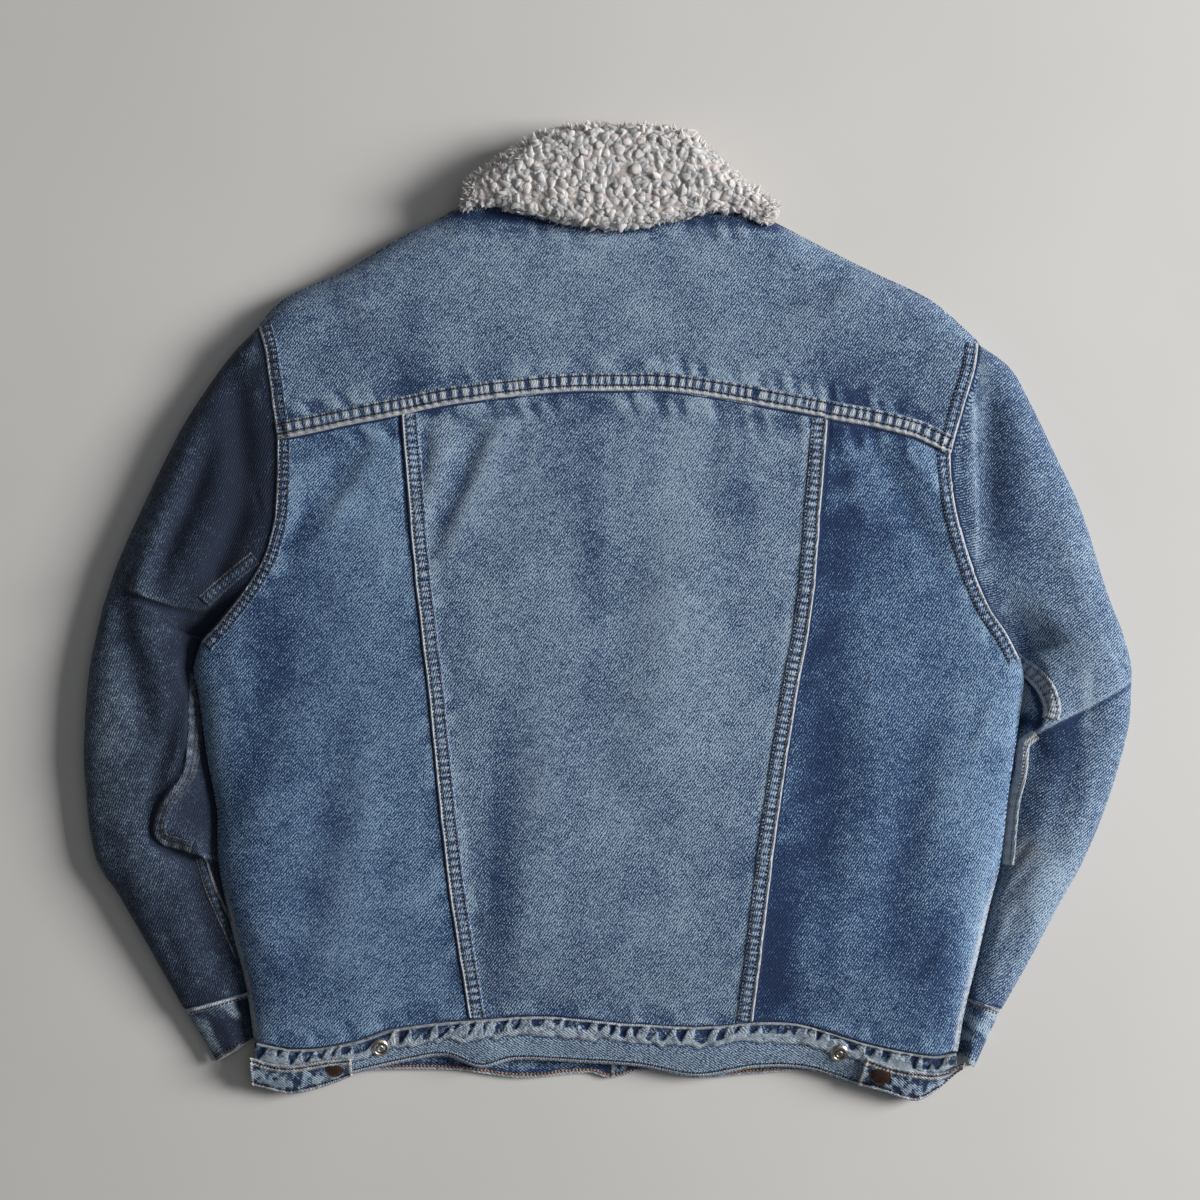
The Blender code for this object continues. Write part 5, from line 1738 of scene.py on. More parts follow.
    def dress(self, x: Array, y: Array) -> tuple[Array, Array]:
        """Fine relief of the back, and its wear with painted shade and highlight.

        Args:
            x: Places across.
            y: Places along.

        Returns:
            Heights to add and wear, one of each for each place.
        """
        noise = self.noise
        added = 0.55 * noise.cloud(x, y, 85) + 0.16 * noise.cloud(x + 400, y, 18)
        added = added + folded(x, y, self.creases)
        wear = sum((patch.wear(x, y) for patch in self.patches), np.zeros(np.shape(x)))
        wear = wear + 0.07 * noise.at(x, y + 900, 26, 150) + 0.13 * noise.cloud(x, y + 300, 80)
        wear = wear + 0.16 * noise.cloud(x + 120, y + 50, 24)
        found = {}
        for halo in self.halos:
            if halo.seam not in found:
                found[halo.seam] = self.seams[halo.seam].near(x, y, 45.0)
            height, worn_and_shaded = halo.shape(*found[halo.seam], noise)
            added, wear = added + height, wear + worn_and_shaded
        return added, wear

    def back_cloth(self, plan: Array, base: Array, calm: Array) -> Cloth:
        """Cloth of a back panel.

        Args:
            plan: Its plan grid.
            base: Its heights with rounded edges.
            calm: Share of the fine relief at each place, nought at a free edge.

        Returns:
            The panel's grid.
        """
        x, y = plan[..., 0], plan[..., 1]
        added, wear = self.dress(x, y)
        top = base + added * calm
        relief = (folded(x, y, self.folds) + added) * calm
        wear = wear + worn_and_shaded_by_relief(relief, 8, 0.16) + worn_and_shaded_by_relief(relief, 2, 0.35)
        return Cloth(plan, top, np.full_like(top, self.split + 0.15), wear)

    def crossed(self, seam: Rows, crossings: tuple[int, int], side: Side, across: Array) -> Array:
        """The stretch of a seam outside a princess seam, from the free side inwards.

        Args:
            seam: Rows of the seam.
            crossings: Numbers of the rows where it meets the princess seams.
            side: Which side.
            across: Fraction of each column.

        Returns:
            One point for each column.
        """
        if side is Side.LEFT:
            return stretch(seam, 0, crossings[0], across)
        return stretch(seam, len(seam) - 1, crossings[1], across)

    def side_panel(self, side: Side) -> None:
        """Side back panel from the hem to the yoke.

        Args:
            side: Which side.
        """
        across = np.linspace(0, 1, self.columns_side) ** 1.15
        free, seam = self.edges[side], flow(self.princess[side], self.levels)
        plan = coons(self.crossed(self.hem_seam, self.hem_crossings, side, across),
                     self.crossed(self.yoke_seam, self.yoke_crossings, side, across),
                     free, seam, across, self.levels)
        away = spans(plan, plan[:, :1])
        height = self.height(plan[..., 0], plan[..., 1])
        drop = round_edge(away, free[:, 4][:, None])
        base = height - (height - free[:, 2][:, None]) * drop
        cloth = self.back_cloth(plan, base, 1 - drop)
        away = away[:, ::-side.sign]
        # A paler band and pale yarn along the lower free rim: partly a rubbed edge, partly a painted highlight where
        # the rim catches the light.
        cloth.wear = cloth.wear + 0.16 * bell(away - 4, 7)
        cloth.edge = 0.6 * bell(away - 1.2, 1.6) * smooth((-190 - cloth.plan[..., 1]) / 40)
        cloth.free, cloth.lined, cloth.bulge = (side.free,), ("low",), 1.6
        cloth.grain = 4.0 * side.sign
        self.add("back_side_" + side.value, cloth)

    def centre_panel(self) -> None:
        """Centre back panel between the princess seams."""
        across = np.linspace(0, 1, self.columns_centre)
        edges = [flow(self.princess[side], self.levels) for side in Side]
        plan = coons(stretch(self.hem_seam, *self.hem_crossings, across),
                     stretch(self.yoke_seam, *self.yoke_crossings, across),
                     *edges, across, self.levels)
        base = self.height(plan[..., 0], plan[..., 1])
        cloth = self.back_cloth(plan, base, np.ones_like(base))
        cloth.lined = ("low",)
        self.add("back_centre", cloth)

    def yoke(self) -> None:
        """Back yoke, over the shoulders and up to the back neck."""
        across = np.linspace(0, 1, 2 * self.columns_centre)
        along = np.linspace(0, 1, self.rows_yoke)
        high = flow(self.shoulder, across)
        plan = coons(flow(self.yoke_seam, across), high,
                     *[flow(self.yoke_side[side], along) for side in Side], across, along)
        height = self.height(plan[..., 0], plan[..., 1])
        away = spans(plan, plan[-1:])
        drop = round_edge(away, high[:, 4][None])
        base = height - (height - high[:, 2][None]) * drop
        left = spans(plan, plan[:, :1])
        right = spans(plan, plan[:, -1:])
        base = np.minimum(base, ARM_RIM + 4 * smooth(np.minimum(left, right) / 18) + 1e-3)
        cloth = self.back_cloth(plan, base, 1 - drop)
        cloth.free, cloth.bulge = ("high",), 1.8
        self.add("yoke_back", cloth)

    def front(self, side: Side) -> None:
        """Front panel on the surface, from its side to the front band.

        Args:
            side: Which side.
        """
        columns = np.linspace(0, 1, self.columns_front) ** 1.5
        free = self.edges[side][::2]
        if len(self.edges[side]) % 2 == 0:
            free = np.concatenate([free, self.edges[side][-1:]])
        upper = flow(self.yoke_side[side], np.linspace(0, 1, self.rows_shoulder))[1:]
        lift = 10 * smooth(np.arange(len(upper)) / 12)
        rest = np.column_stack([upper, 0 * lift, lift, 0 * lift + 24])
        outer = np.concatenate([free, rest])
        along = reach_of(outer) / reach_of(outer)[-1]
        band = self.front_opening + side.sign * self.front_band
        low = flow((*self.front_hem[side], (band, self.hem_y)), columns)
        shoulder = self.shoulder[::-1] if side is Side.RIGHT else self.shoulder
        edge = [row[:2] for row in shoulder[:5]] + [self.neck[side]]
        neck = 0.7
        first = flow(edge, np.minimum(columns / neck, 1))
        second = (columns[:, None] - neck) / (1 - neck)
        foot = np.array([band, self.neck_foot])
        high = np.where(columns[:, None] <= neck, first, first + (foot - first) * second)
        inner = np.column_stack([np.full(len(along), band),
                                 low[-1, 1] + (self.neck_foot - low[-1, 1]) * along])
        plan = coons(low, high, outer, inner, columns, along)
        away = spans(plan, plan[:, :1])
        under = np.minimum(outer[:, 3], SIDE_LIFT)[:, None] * tuck_edge(away, outer[:, 4][:, None])
        above = spans(plan, plan[-1:])
        lifted = 9 * tuck_edge(above, 24.0) * (columns < neck)[None]
        top = np.full_like(under, self.split - 0.15)
        wear = 0.12 * self.noise.cloud(plan[..., 0], plan[..., 1] + 700, 60)
        cloth = Cloth(plan, top, np.minimum(np.maximum(under, lifted), top - 2.4), wear)
        cloth.free, cloth.lined, cloth.bulge = (side.free, "high"), ("low",), 1.6
        self.add("front_" + side.value, cloth)

    def front_bands(self) -> None:
        """Front bands with the fastened snaps pressed into the left one."""
        for side in Side:
            x0 = self.front_opening + (0 if side is Side.RIGHT else -self.front_band)
            x = np.linspace(x0, x0 + self.front_band, self.columns_band)
            y = np.linspace(self.hem_y, self.neck_foot, self.rows_band)
            plan = np.stack(np.meshgrid(x, y), 2)
            under = np.zeros(plan.shape[:2])
            if side is Side.LEFT:
                middle = x0 + self.front_band / 2
                for k in range(self.snaps):
                    away = np.hypot(plan[..., 0] - middle,
                                    plan[..., 1] - self.snap_first - k * self.snap_step)
                    under += 2.7 * (1 - smooth((away - self.snap_radius - 0.4) / 3))
            top = np.full_like(under, self.split - 0.15)
            cloth = Cloth(plan, top, under, self.noise.cloud(plan[..., 0], plan[..., 1], 40) * 0.2)
            cloth.lined = ("low",)
            self.add("front_band_" + side.value, cloth)

    def add(self, node: str, cloth: Cloth) -> None:
        """Make a panel's shell in the place of its solid.

        Args:
            node: Name of the solid.
            cloth: The panel.
        """
        cloth.sewn()
        denim = self.finishes.deep if node.startswith("back_side") else self.finishes.denim
        rests_on = ("front_left", "front_right") if node.startswith(("back", "yoke")) else ()
        self.pieces[node] = cloth.lay(node, "denim", [denim, self.finishes.sherpa], rests_on)

    def build(self) -> None:
        """Make every panel."""
        for side in Side:
            self.side_panel(side)
            self.front(side)
        self.centre_panel()
        self.yoke()
        self.front_bands()
        self.back = Ground(*[self.pieces[k] for k in ("back_side_left", "back_side_right",
                                                      "back_centre", "yoke_back")])


@dataclass
class BackSeams:
    """The felled seams of the back and their stitches."""

    body: Body
    width: float = 12.4
    slim: float = 10.2
    missing: float = 18.0

    def lines(self) -> list[Strip]:
        """Every felled strip of the back, with its rows of stitches.

        Returns:
            The strips.
        """
        body, wide, slim = self.body, self.width, self.slim
        near, far = 3.2, wide - 2.2
        dense = np.linspace(0, 1, 300)
        strips = []
        for side in Side:
            line = flow(body.princess[side], dense)[:, :2]
            strips.append(Strip("seam_princess_" + side.value, line, wide * side.sign,
                                rows=(near - 0.2, far), roped=(0.9,), pitch=5.2, mottle=0.95,
                                wear=-0.08, cord=0.8, deep=1.5, seed=11 + side.sign))
            for word, line, wear, seed in (
                    ("armhole", flow(body.armhole[side], dense), -0.30, 21),
                    ("shoulder", flow(body.yoke_side[side], dense[:297]), -0.28, 31)):
                strips.append(Strip("seam_%s_%s" % (word, side.value), line[::-1, :2],
                                    -slim * side.sign, rise=0.9, rows=(near, slim - 1.6),
                                    roped=(0.6,), pitch=5.0, mottle=0.8, wear=wear, cord=0.75,
                                    deep=1.3, seed=seed + side.sign))
        strips.append(Strip("seam_yoke", flow(body.yoke_seam, dense)[:, :2], wide + 1.4,
                            rise=1.5, rows=(near + 0.9, far + 1.0), roped=(1.1,), pitch=6.8,
                            mottle=1.5, wear=-0.02, relief=0.45, cord=1.2, deep=1.8, seed=2))
        return strips

    def build(self) -> Object:
        """Make the strips on the back, then sew them.

        Returns:
            The stitches.
        """
        finishes = self.body.finishes
        sewing = Stitching("stitches_back", finishes.brown)
        ground = self.body.back
        strips, pieces = self.lines(), []
        for strip in strips:
            piece = strip.make(ground, finishes.denim, missing=self.missing)
            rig.slot(piece, "denim")
            pieces.append(piece)
        sewn = Ground(*pieces)
        for strip in strips:
            strip.stitch(sewing, sewn, missing=self.missing)
        return sewing.make()


# ---------------------------------------------------------------- sleeves
@dataclass
class Sleeve:
    """Top sleeve on under sleeve, sewn to the armhole and tucked under the body's side."""

    side: Side
    body: Body
    finishes: Finishes
    tuck_top: float = 6.2
    tuck_split: float = 4.2
    clear: float = 1.8
    underarm_drop: float = 60.0
    rim: float = 2.6
    rows: tuple[int, int, int] = (40, 80, 160)
    columns: int = 84
    least: float = 1.6
    seam_reach: float = 60.0
    shoulder_rim: float = 19.0
    shoulder_roll: float = 24.0
    # The left sleeve's lower base paints the shade that the left sleeve lies in.
    bases: dict[Side, float] = by_side(-0.62, -0.16)
    patches: dict[Side, tuple[Patch, ...]] = by_side(
        # Patch(-280, 100) and Patch(-296, -130) paint the shade on the left sleeve beside the body.
        (Patch(-372, -60, 40, 80, 0.10), Patch(-280, 100, 34, 90, -0.70),
         Patch(-290, 10, 26, 26, -0.40), Patch(-318, -40, 16, 40, -0.30),
         Patch(-296, -130, 18, 120, -0.55), Patch(-338, -30, 24, 60, -0.20),
         Patch(-322, -130, 14, 70, -0.30), Patch(-297, -40, 14, 50, -0.30),
         Patch(-382, -110, 14, 110, 0.40)),
        # Patch(364, -60) paints a highlight on the rim of the elbow fold.
        (Patch(350, -20, 60, 60, 0.12), Patch(364, -60, 5, 26, 0.80),
         Patch(322, -150, 22, 26, -0.35), Patch(330, -230, 40, 60, 0.30),
         Patch(296, 100, 16, 80, -0.26), Patch(335, -115, 26, 30, -0.30),
         Patch(345, -195, 18, 40, 0.25), Patch(308, 100, 30, 70, -0.24),
         Patch(307, -20, 14, 30, 0.25), Patch(281, 150, 10, 45, 0.35),
         # Patch(316, -62) paints light into the shaded gusset; Patch(317, -81) paints the shadow in the dark notch
         # below it.
         Patch(316, -62, 8, 14, 0.7), Patch(317, -81, 8, 5, -1.6),
         Patch(305, 60, 16, 60, -0.20), Patch(283, 60, 8, 70, 0.25)))
    stains: dict[Side, tuple[Patch, ...]] = by_side(
        (),
        (Patch(316, -180, 14, 14, 1.0), Patch(306, -214, 10, 26, 0.45)))
    outer: dict[Side, tuple[Rows, Rows, Rows]] = by_side(
        (((-264, 219), (-286, 196), (-311, 161), (-324, 140)),
         ((-324, 140), (-345, 98), (-371, 41), (-383, 6)),
         ((-383, 6), (-393, -40), (-397, -85), (-397, -124), (-389, -185),
          (-370, -216), (-336, -276), (-322, -301))),
        (((282, 206), (307, 187), (321, 163), (337, 130)),
         ((337, 130), (361, 79), (381, 16), (392, -12)),
         ((392, -12), (399, -38), (399, -60), (397, -86), (383, -137), (364, -185),
          (343, -224), (323, -262), (301, -301))))
    tuck: dict[Side, Rows] = by_side(
        ((-307, -21), (-300, -48), (-295, -80), (-288, -125), (-281, -170),
         (-277, -215), (-266, -262), (-259, -284)),
        ((313, -33), (303, -52), (300, -80), (295, -125), (286, -175),
         (277, -225), (269, -262), (262, -288)))
    stations: Rows = ((31, 13, 24), (31, 13, 28), (30, 13, 30), (30, 12, 32), (29, 12, 32),
                      (28, 12, 32), (25, 10, 28), (20, 8, 22))
    folds: dict[Side, tuple[Fold, ...]] = by_side(
        (Fold(-281, 186, -274, 96, 13, -5.0, 0), Fold(-274, 84, -300, 22, 12, -5.0, 0),
         Fold(-308, 156, -354, 26, 11, 2.4, 0), Fold(-352, 30, -358, -30, 14, 2.0, 2.0),
         Fold(-300, 128, -338, 26, 9, -4.2, 0), Fold(-286, 110, -316, 24, 12, 1.6, 0),
         Fold(-258, 34, -300, -6, 7, -2.2, 0), Fold(-262, 96, -257, 78, 3.5, 0.9, 1.1),
         Fold(-352, 10, -330, -96, 14, 1.5, 4.6),
         Fold(-311, -62, -336, -156, 10, 3.0, 2.6), Fold(-336, -158, -292, -186, 11, 3.2, 5.4),
         Fold(-308, -184, -278, -262, 12, 1.4, 2.4), Fold(-372, -120, -350, -214, 18, 1.6, 2.2),
         Fold(-316, 66, -334, 22, 9, 1.2, 1.6),
         Fold(-308, -66, -312, -120, 5, 1.0, 1.2), Fold(-330, -176, -300, -186, 4, 1.4, 1.6),
         Fold(-372, 40, -384, -60, 14, 0.8, 0.8), Fold(-330, -230, -312, -276, 8, 0.8, 0.9)),
        (Fold(286, 172, 289, 62, 11, -4.2, 0), Fold(318, 172, 318, 70, 15, 1.8, 0),
         Fold(279, 39, 279, 84, 3.2, 0.9, 1.7), Fold(279, 88, 276, 172, 3.2, 0.9, 1.5),
         Fold(266, 92, 281, 60, 4.5, 1.4, 1.2), Fold(269, 60, 278, 34, 4, 0.9, 0.8),
         Fold(318, -106, 372, -76, 15, -4.0, 0),
         Fold(332, -30, 342, -62, 10, 0.6, 0.9),
         Fold(320, -120, 308, -212, 12, 1.6, 2.6), Fold(340, -110, 318, -236, 14, 1.4, 2.2),
         Fold(372, -110, 352, -190, 16, 1.4, 2.0), Fold(306, -190, 292, -286, 10, 1.4, 2.4),
         Fold(300, -196, 316, -170, 4, 0.9, 1.0),
         Fold(296, -214, 320, -186, 5, 0.9, 1.2), Fold(288, -262, 308, -222, 5, 0.8, 1.0),
         Fold(350, 60, 366, 0, 14, 0.9, 1.0), Fold(330, -224, 304, -284, 7, 0.9, 1.0)))
    steps: dict[Side, tuple[Step, ...]] = by_side(
        (Step(((-318, -58), (-318, -91), (-322, -119), (-334, -137), (-341, -151), (-343, -167),
               (-337, -175), (-326, -179), (-308, -184), (-292, -191)), 1.4, 26, 0.7),
         Step(((-308, -14), (-303, 5), (-283, 24), (-263, 40), (-252, 52)), 2.2, 18, 1.6),
         Step(((-366, 20), (-340, 10), (-318, 4), (-292, 4)), 3.0, 40, 0.0)),
        (Step(((303, -28), (315, -43), (323, -50), (328, -61), (331, -75), (329, -85),
               (322, -90)), 2.6, 30, 1.8),
         Step(((318, -96), (334, -86), (362, -72), (402, -50)), 3.2, 60, 0.25)))

    def __post_init__(self) -> None:
        """Sample both edges from the shoulder down to the cuff."""
        upper = np.linspace(0.012, 1, self.rows[0])[:-1]
        arm = np.linspace(0, 1, self.rows[1])[:-1]
        low = np.linspace(0, 1, self.rows[2])
        outer, body = self.outer[self.side], self.body
        self.outside = np.concatenate([flow(outer[0], upper), flow(outer[1], arm), flow(outer[2], low)])
        hole = body.armhole[self.side]
        self.inside = np.concatenate([flow(body.yoke_side[self.side], 1 - upper),
                                      flow(hole, 1 - arm)[:, :2],
                                      flow(self.tuck[self.side], low)])
        steps = [np.interp(upper, (0.04, 0.1, 0.2, 0.36, 0.58, 0.8, 1.0), range(7)),
                 np.interp(arm, (0, 0.16, 0.34, 0.52, 0.70, 0.86, 1), range(6, 13)),
                 np.interp(low, (0, 0.09, 0.2, 0.32, 0.44, 0.56, 0.68, 0.8, 0.9, 1),
                           range(12, 22))]
        place = np.concatenate(steps) / 21 * (len(self.stations) - 1)
        table = np.array(self.stations, float)
        self.station = np.stack([np.interp(place, range(len(table)), table[:, k]) for k in range(3)], 1)
        self.sewn = len(upper) + len(arm)
        crown = body.height(self.inside[:, 0], self.inside[:, 1])
        shoulder = np.hypot(*(self.inside - body.yoke_side[self.side][-1]).T)
        crown = crown - (crown - self.shoulder_rim) * round_edge(shoulder, self.shoulder_roll)
        self.rims = np.minimum(crown, ARM_RIM)
        self.rims[len(upper):self.sewn] = flow(hole, 1 - arm)[:, 2]

    def clearance(self, x: Array, y: Array) -> Array:
        """Greatest height of the sleeve beside or under the body's side.

        Args:
            x: Places across.
            y: Places along.

        Returns:
            Heights in millimetres.
        """
        edge = self.body.edges[self.side][::4]
        best, near = np.full(np.shape(x), 1e9), np.zeros((*np.shape(x), 5))
        for a, b in zip(edge, edge[1:]):
            run = b[:2] - a[:2]
            t = np.clip(((x - a[0]) * run[0] + (y - a[1]) * run[1]) / (run @ run), 0, 1)
            point = a + (b - a) * t[..., None]
            away = np.hypot(x - point[..., 0], y - point[..., 1])
            nearer = away < best
            best = np.where(nearer, away, best)
            near = np.where(nearer[..., None], point, near)
        under = np.minimum(near[..., 3], SIDE_LIFT)
        inside = (x - near[..., 0]) * -self.side.sign > 0
        tucked = under * tuck_edge(best, np.maximum(near[..., 4], 1)) - self.clear
        return np.where(inside, tucked, under - self.clear + best)

    def heights(self) -> tuple[Array, Array, Array, Array]:
        """Plan and the three heights of the sleeve.

        Returns:
            The plan grid, and its top, seam and underside.
        """
        s = np.linspace(0, 1, self.columns)[None]
        plan = self.outside[:, None] + (self.inside - self.outside)[:, None] * s[..., None]
        width = np.hypot(*(self.inside - self.outside).T)[:, None]
        crown, middle, roll = [self.station[:, k][:, None] for k in range(3)]
        rows = np.arange(len(width))[:, None]
        drawn = smooth(np.hypot(*(self.inside - self.tuck[self.side][0]).T) / self.underarm_drop)
        drawn = np.where(rows[:, 0] < self.sewn, drawn, 0)[:, None]
        inner_top = self.tuck_top + (self.rims[:, None] - self.tuck_top) * drawn
        inner_split = self.tuck_split + (middle - self.tuck_split) * drawn
        out, into = s * width, (1 - s) * width
        roll = np.minimum(roll, 0.6 * width)
        crown = np.where(rows < self.rows[0],
                         inner_top + (crown - inner_top) * smooth(width / 60), crown)
        edge = round_edge(out, roll)
        near = 1 - smooth(into / np.minimum(46, 0.75 * width))
        tucked = 1 - (1 - round_edge(into, np.minimum(60, 0.8 * width))) ** 1.4
        near = np.where(rows < self.sewn, near, tucked)
        x, y = plan[..., 0], plan[..., 1]
        calm = (1 - edge) * (1 - near ** 3)
        noise = self.body.noise
        fine = 0.6 * noise.cloud(x, y, 60) + 0.22 * noise.cloud(x + 200, y, 15)
        top = crown + (inner_top - crown) * near
        top = top + (middle + self.rim - top) * edge
        layers = [step.shape(x, y) for step in self.steps[self.side]]
        self.layered = sum(worn_and_shaded for _, worn_and_shaded in layers)
        fine = fine + sum(high for high, _ in layers)
        self.relief = (folded(x, y, self.folds[self.side]) + fine) * calm
        top = top + self.relief
        split = middle + (inner_split - middle) * (1 - smooth(into / 40))
        under = (middle - self.rim) * round_edge(out, roll)
        free = rows >= self.sewn
        under = np.where(free, np.maximum(under, self.least * (1 - smooth(into / 12))), under)
        top = np.where(free, np.minimum(top, self.clearance(x, y)), top)
        split = np.where(free, np.minimum(split, top - self.least), split)
        return plan, np.maximum(top, split + self.least), split, under

    def wear(self, plan: Array) -> Array:
        """The top sleeve's wear, with painted shade and highlight.

        Args:
            plan: The plan grid.

        Returns:
            Its wear and painted shading at each point.
        """
        x, y = plan[..., 0], plan[..., 1]
        noise = self.body.noise
        wear = self.bases[self.side] + 0.09 * noise.cloud(x, y + 300, 70)
        wear += worn_and_shaded_by_relief(self.relief, 6, 0.12) + worn_and_shaded_by_relief(self.relief, 2, 0.35)
        wear += sum(patch.wear(x, y) for patch in self.patches[self.side])
        # Painted shadow below the right elbow fold.
        if self.side is Side.RIGHT:
            under = Line(self.steps[self.side][-1].rows).near(x, y, 80)[0]
            shade = smooth(-under / 3) * np.exp(-(np.minimum(under, 0) / 26) ** 2)
            wear -= 1.05 * shade * smooth((x - 318) / 30) * smooth((366 - x) / 10)
        for seam in ("armhole_", "shoulder_"):
            away, place = self.body.seams[seam + self.side.value].near(x, y, self.seam_reach)
            beside = np.abs(away)
            # A dark line along the armhole and shoulder seams: partly unfaded indigo, partly painted shadow in the
            # seam.
            wear -= 1.7 * bell(beside, 1.5) + 0.2 * bell(beside, 5)
            wear += 0.30 * bell(beside - 9, 6) * noise.patchy(place, beside, 8)
        low = (self.outside[-1], self.inside[-1])
        beside = np.abs(Line(low).near(x, y, 40)[0])
        wear += 0.34 * (1 - smooth(beside / 20)) * noise.patchy(x * 0.9, y * 0.35, 6)
        wear -= 1.6 * bell(beside, 1.2)
        return wear + self.layered

    def build(self) -> None:
        """Make the top and the under sleeve."""
        plan, top, split, under = self.heights()
        word = self.side.value
        stain = np.zeros_like(top) + sum(patch.wear(plan[..., 0], plan[..., 1])
                                         for patch in self.stains[self.side])
        stain = 0.5 * np.clip(stain, 0, 1)
        self.pieces = []
        for half, high, low, wear, step, rests_on in (
                ("top", top, split + 0.15, self.wear(plan), 1, ["sleeve_%s_under_cloth" % word]),
                ("under", split - 0.15, under, 0.1 + 0 * top, 3, [])):
            pick = np.ix_(*[np.append(np.arange(0, n - 1, step), n - 1) for n in top.shape])
            cloth = Cloth(plan[pick], high[pick], low[pick], wear[pick], stain=stain[pick],
                          grain=-14.0 * self.side.sign, free=("start", "low"), bulge=0.9).sewn()
            self.pieces.append(cloth.lay("sleeve_%s_%s" % (word, half), "denim",
                                         [self.finishes.sleeve(self.side)], rests_on))
        self.ground = Ground(self.pieces[0])


@dataclass
class SleeveSeams:
    """Felled seams that show on a sleeve, and the roped seam of its cuff."""

    sleeve: Sleeve
    cuff: Object
    missing: float = 14.0
    missing_cuff: float = 12.0

    def strips(self) -> list[Strip]:
        """The strips of one sleeve.

        Returns:
            The strips.
        """
        dense = np.linspace(0, 1, 160)
        if self.sleeve.side is Side.LEFT:
            cap = flow(((-263, 39), (-282, 24), (-302, 6)), dense)
            elbow = flow(((-317, -45), (-318, -66), (-318, -91), (-321.5, -119), (-334, -137),
                          (-341, -151), (-343, -167), (-337, -175), (-327, -178),
                          (-316, -181)), dense)
            placket = flow(((-313, -186), (-304, -212), (-293, -238), (-283, -262)), dense)
            # The left strips are darkened with the left sleeve, as painted shade.
            return [Strip("seam_cap_left", cap, -10.4, rise=0.9, rows=(1.8, 8.4), pitch=4.4,
                          mottle=0.6, wear=-0.6, frayed=(10.1,), seed=51),
                    Strip("seam_elbow_left", elbow, 9.4, rise=1.3, rows=(5.4, 8.0),
                          pitch=9.0, mottle=0.2, wear=-0.55, bare=0.08, seed=52),
                    Strip("seam_placket_left", placket, 8.4, rise=1.0, rows=(1.6, 6.4),
                          pitch=6.0, mottle=0.4, wear=-0.5, frayed=(0.4, 8.0), seed=53)]
        elbow = flow(((306, -20), (318, -32), (331, -43), (339.5, -56), (343.5, -70),
                      (342, -80)), dense)
        under = flow(((323, -88), (314, -97), (311, -119), (306, -141), (303, -165),
                      (301, -190)), dense)
        return [Strip("seam_elbow_right", elbow, -12.4, rows=(3.2, 9.4), roped=(11.6,),
                      frayed=(0.5,), bare=0.35, pitch=6.4, mottle=1.1, wear=0.35, cord=0.7,
                      seed=54),
                # The under seam strip is made very pale and bare: a painted highlight where it catches the light
                # beside the body's edge.
                Strip("seam_under_right", under, 8.6, rise=0.6, rows=(5.6,), bare=0.8,
                      pitch=8.0, mottle=0.35, wear=0.9, seed=55)]

    def build(self) -> None:
        """Make the strips on the sleeve, and sew them."""
        sleeve, word = self.sleeve, self.sleeve.side.value
        finishes = sleeve.finishes
        sewing = Stitching("stitches_sleeve_" + word, finishes.brown, radius=0.32)
        strips = self.strips()
        pieces = [strip.make(sleeve.ground, finishes.sleeve(sleeve.side), missing=self.missing)
                  for strip in strips]
        sewn = Ground(*pieces)
        for strip in strips:
            strip.stitch(sewing, sewn, missing=self.missing)
        ends = sleeve.outside[-1], sleeve.inside[-1]
        seam = flow((ends[0] + (ends[1] - ends[0]) * 0.02, ends[1]), np.linspace(0, 1, 60))
        width = 3.2 * sleeve.side.sign
        rope = Strip("rope_cuff_" + word, seam, width, rise=0.9, roped=(1.3,), pitch=5.0,
                     mottle=0.3, relief=0.2, cord=0.9, seed=60)
        both = Ground(sleeve.pieces[0], self.cuff)
        pieces.append(rope.make(both, finishes.denim, missing=self.missing_cuff))
        for piece in pieces:
            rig.slot(piece, "denim")
        sewing.make()


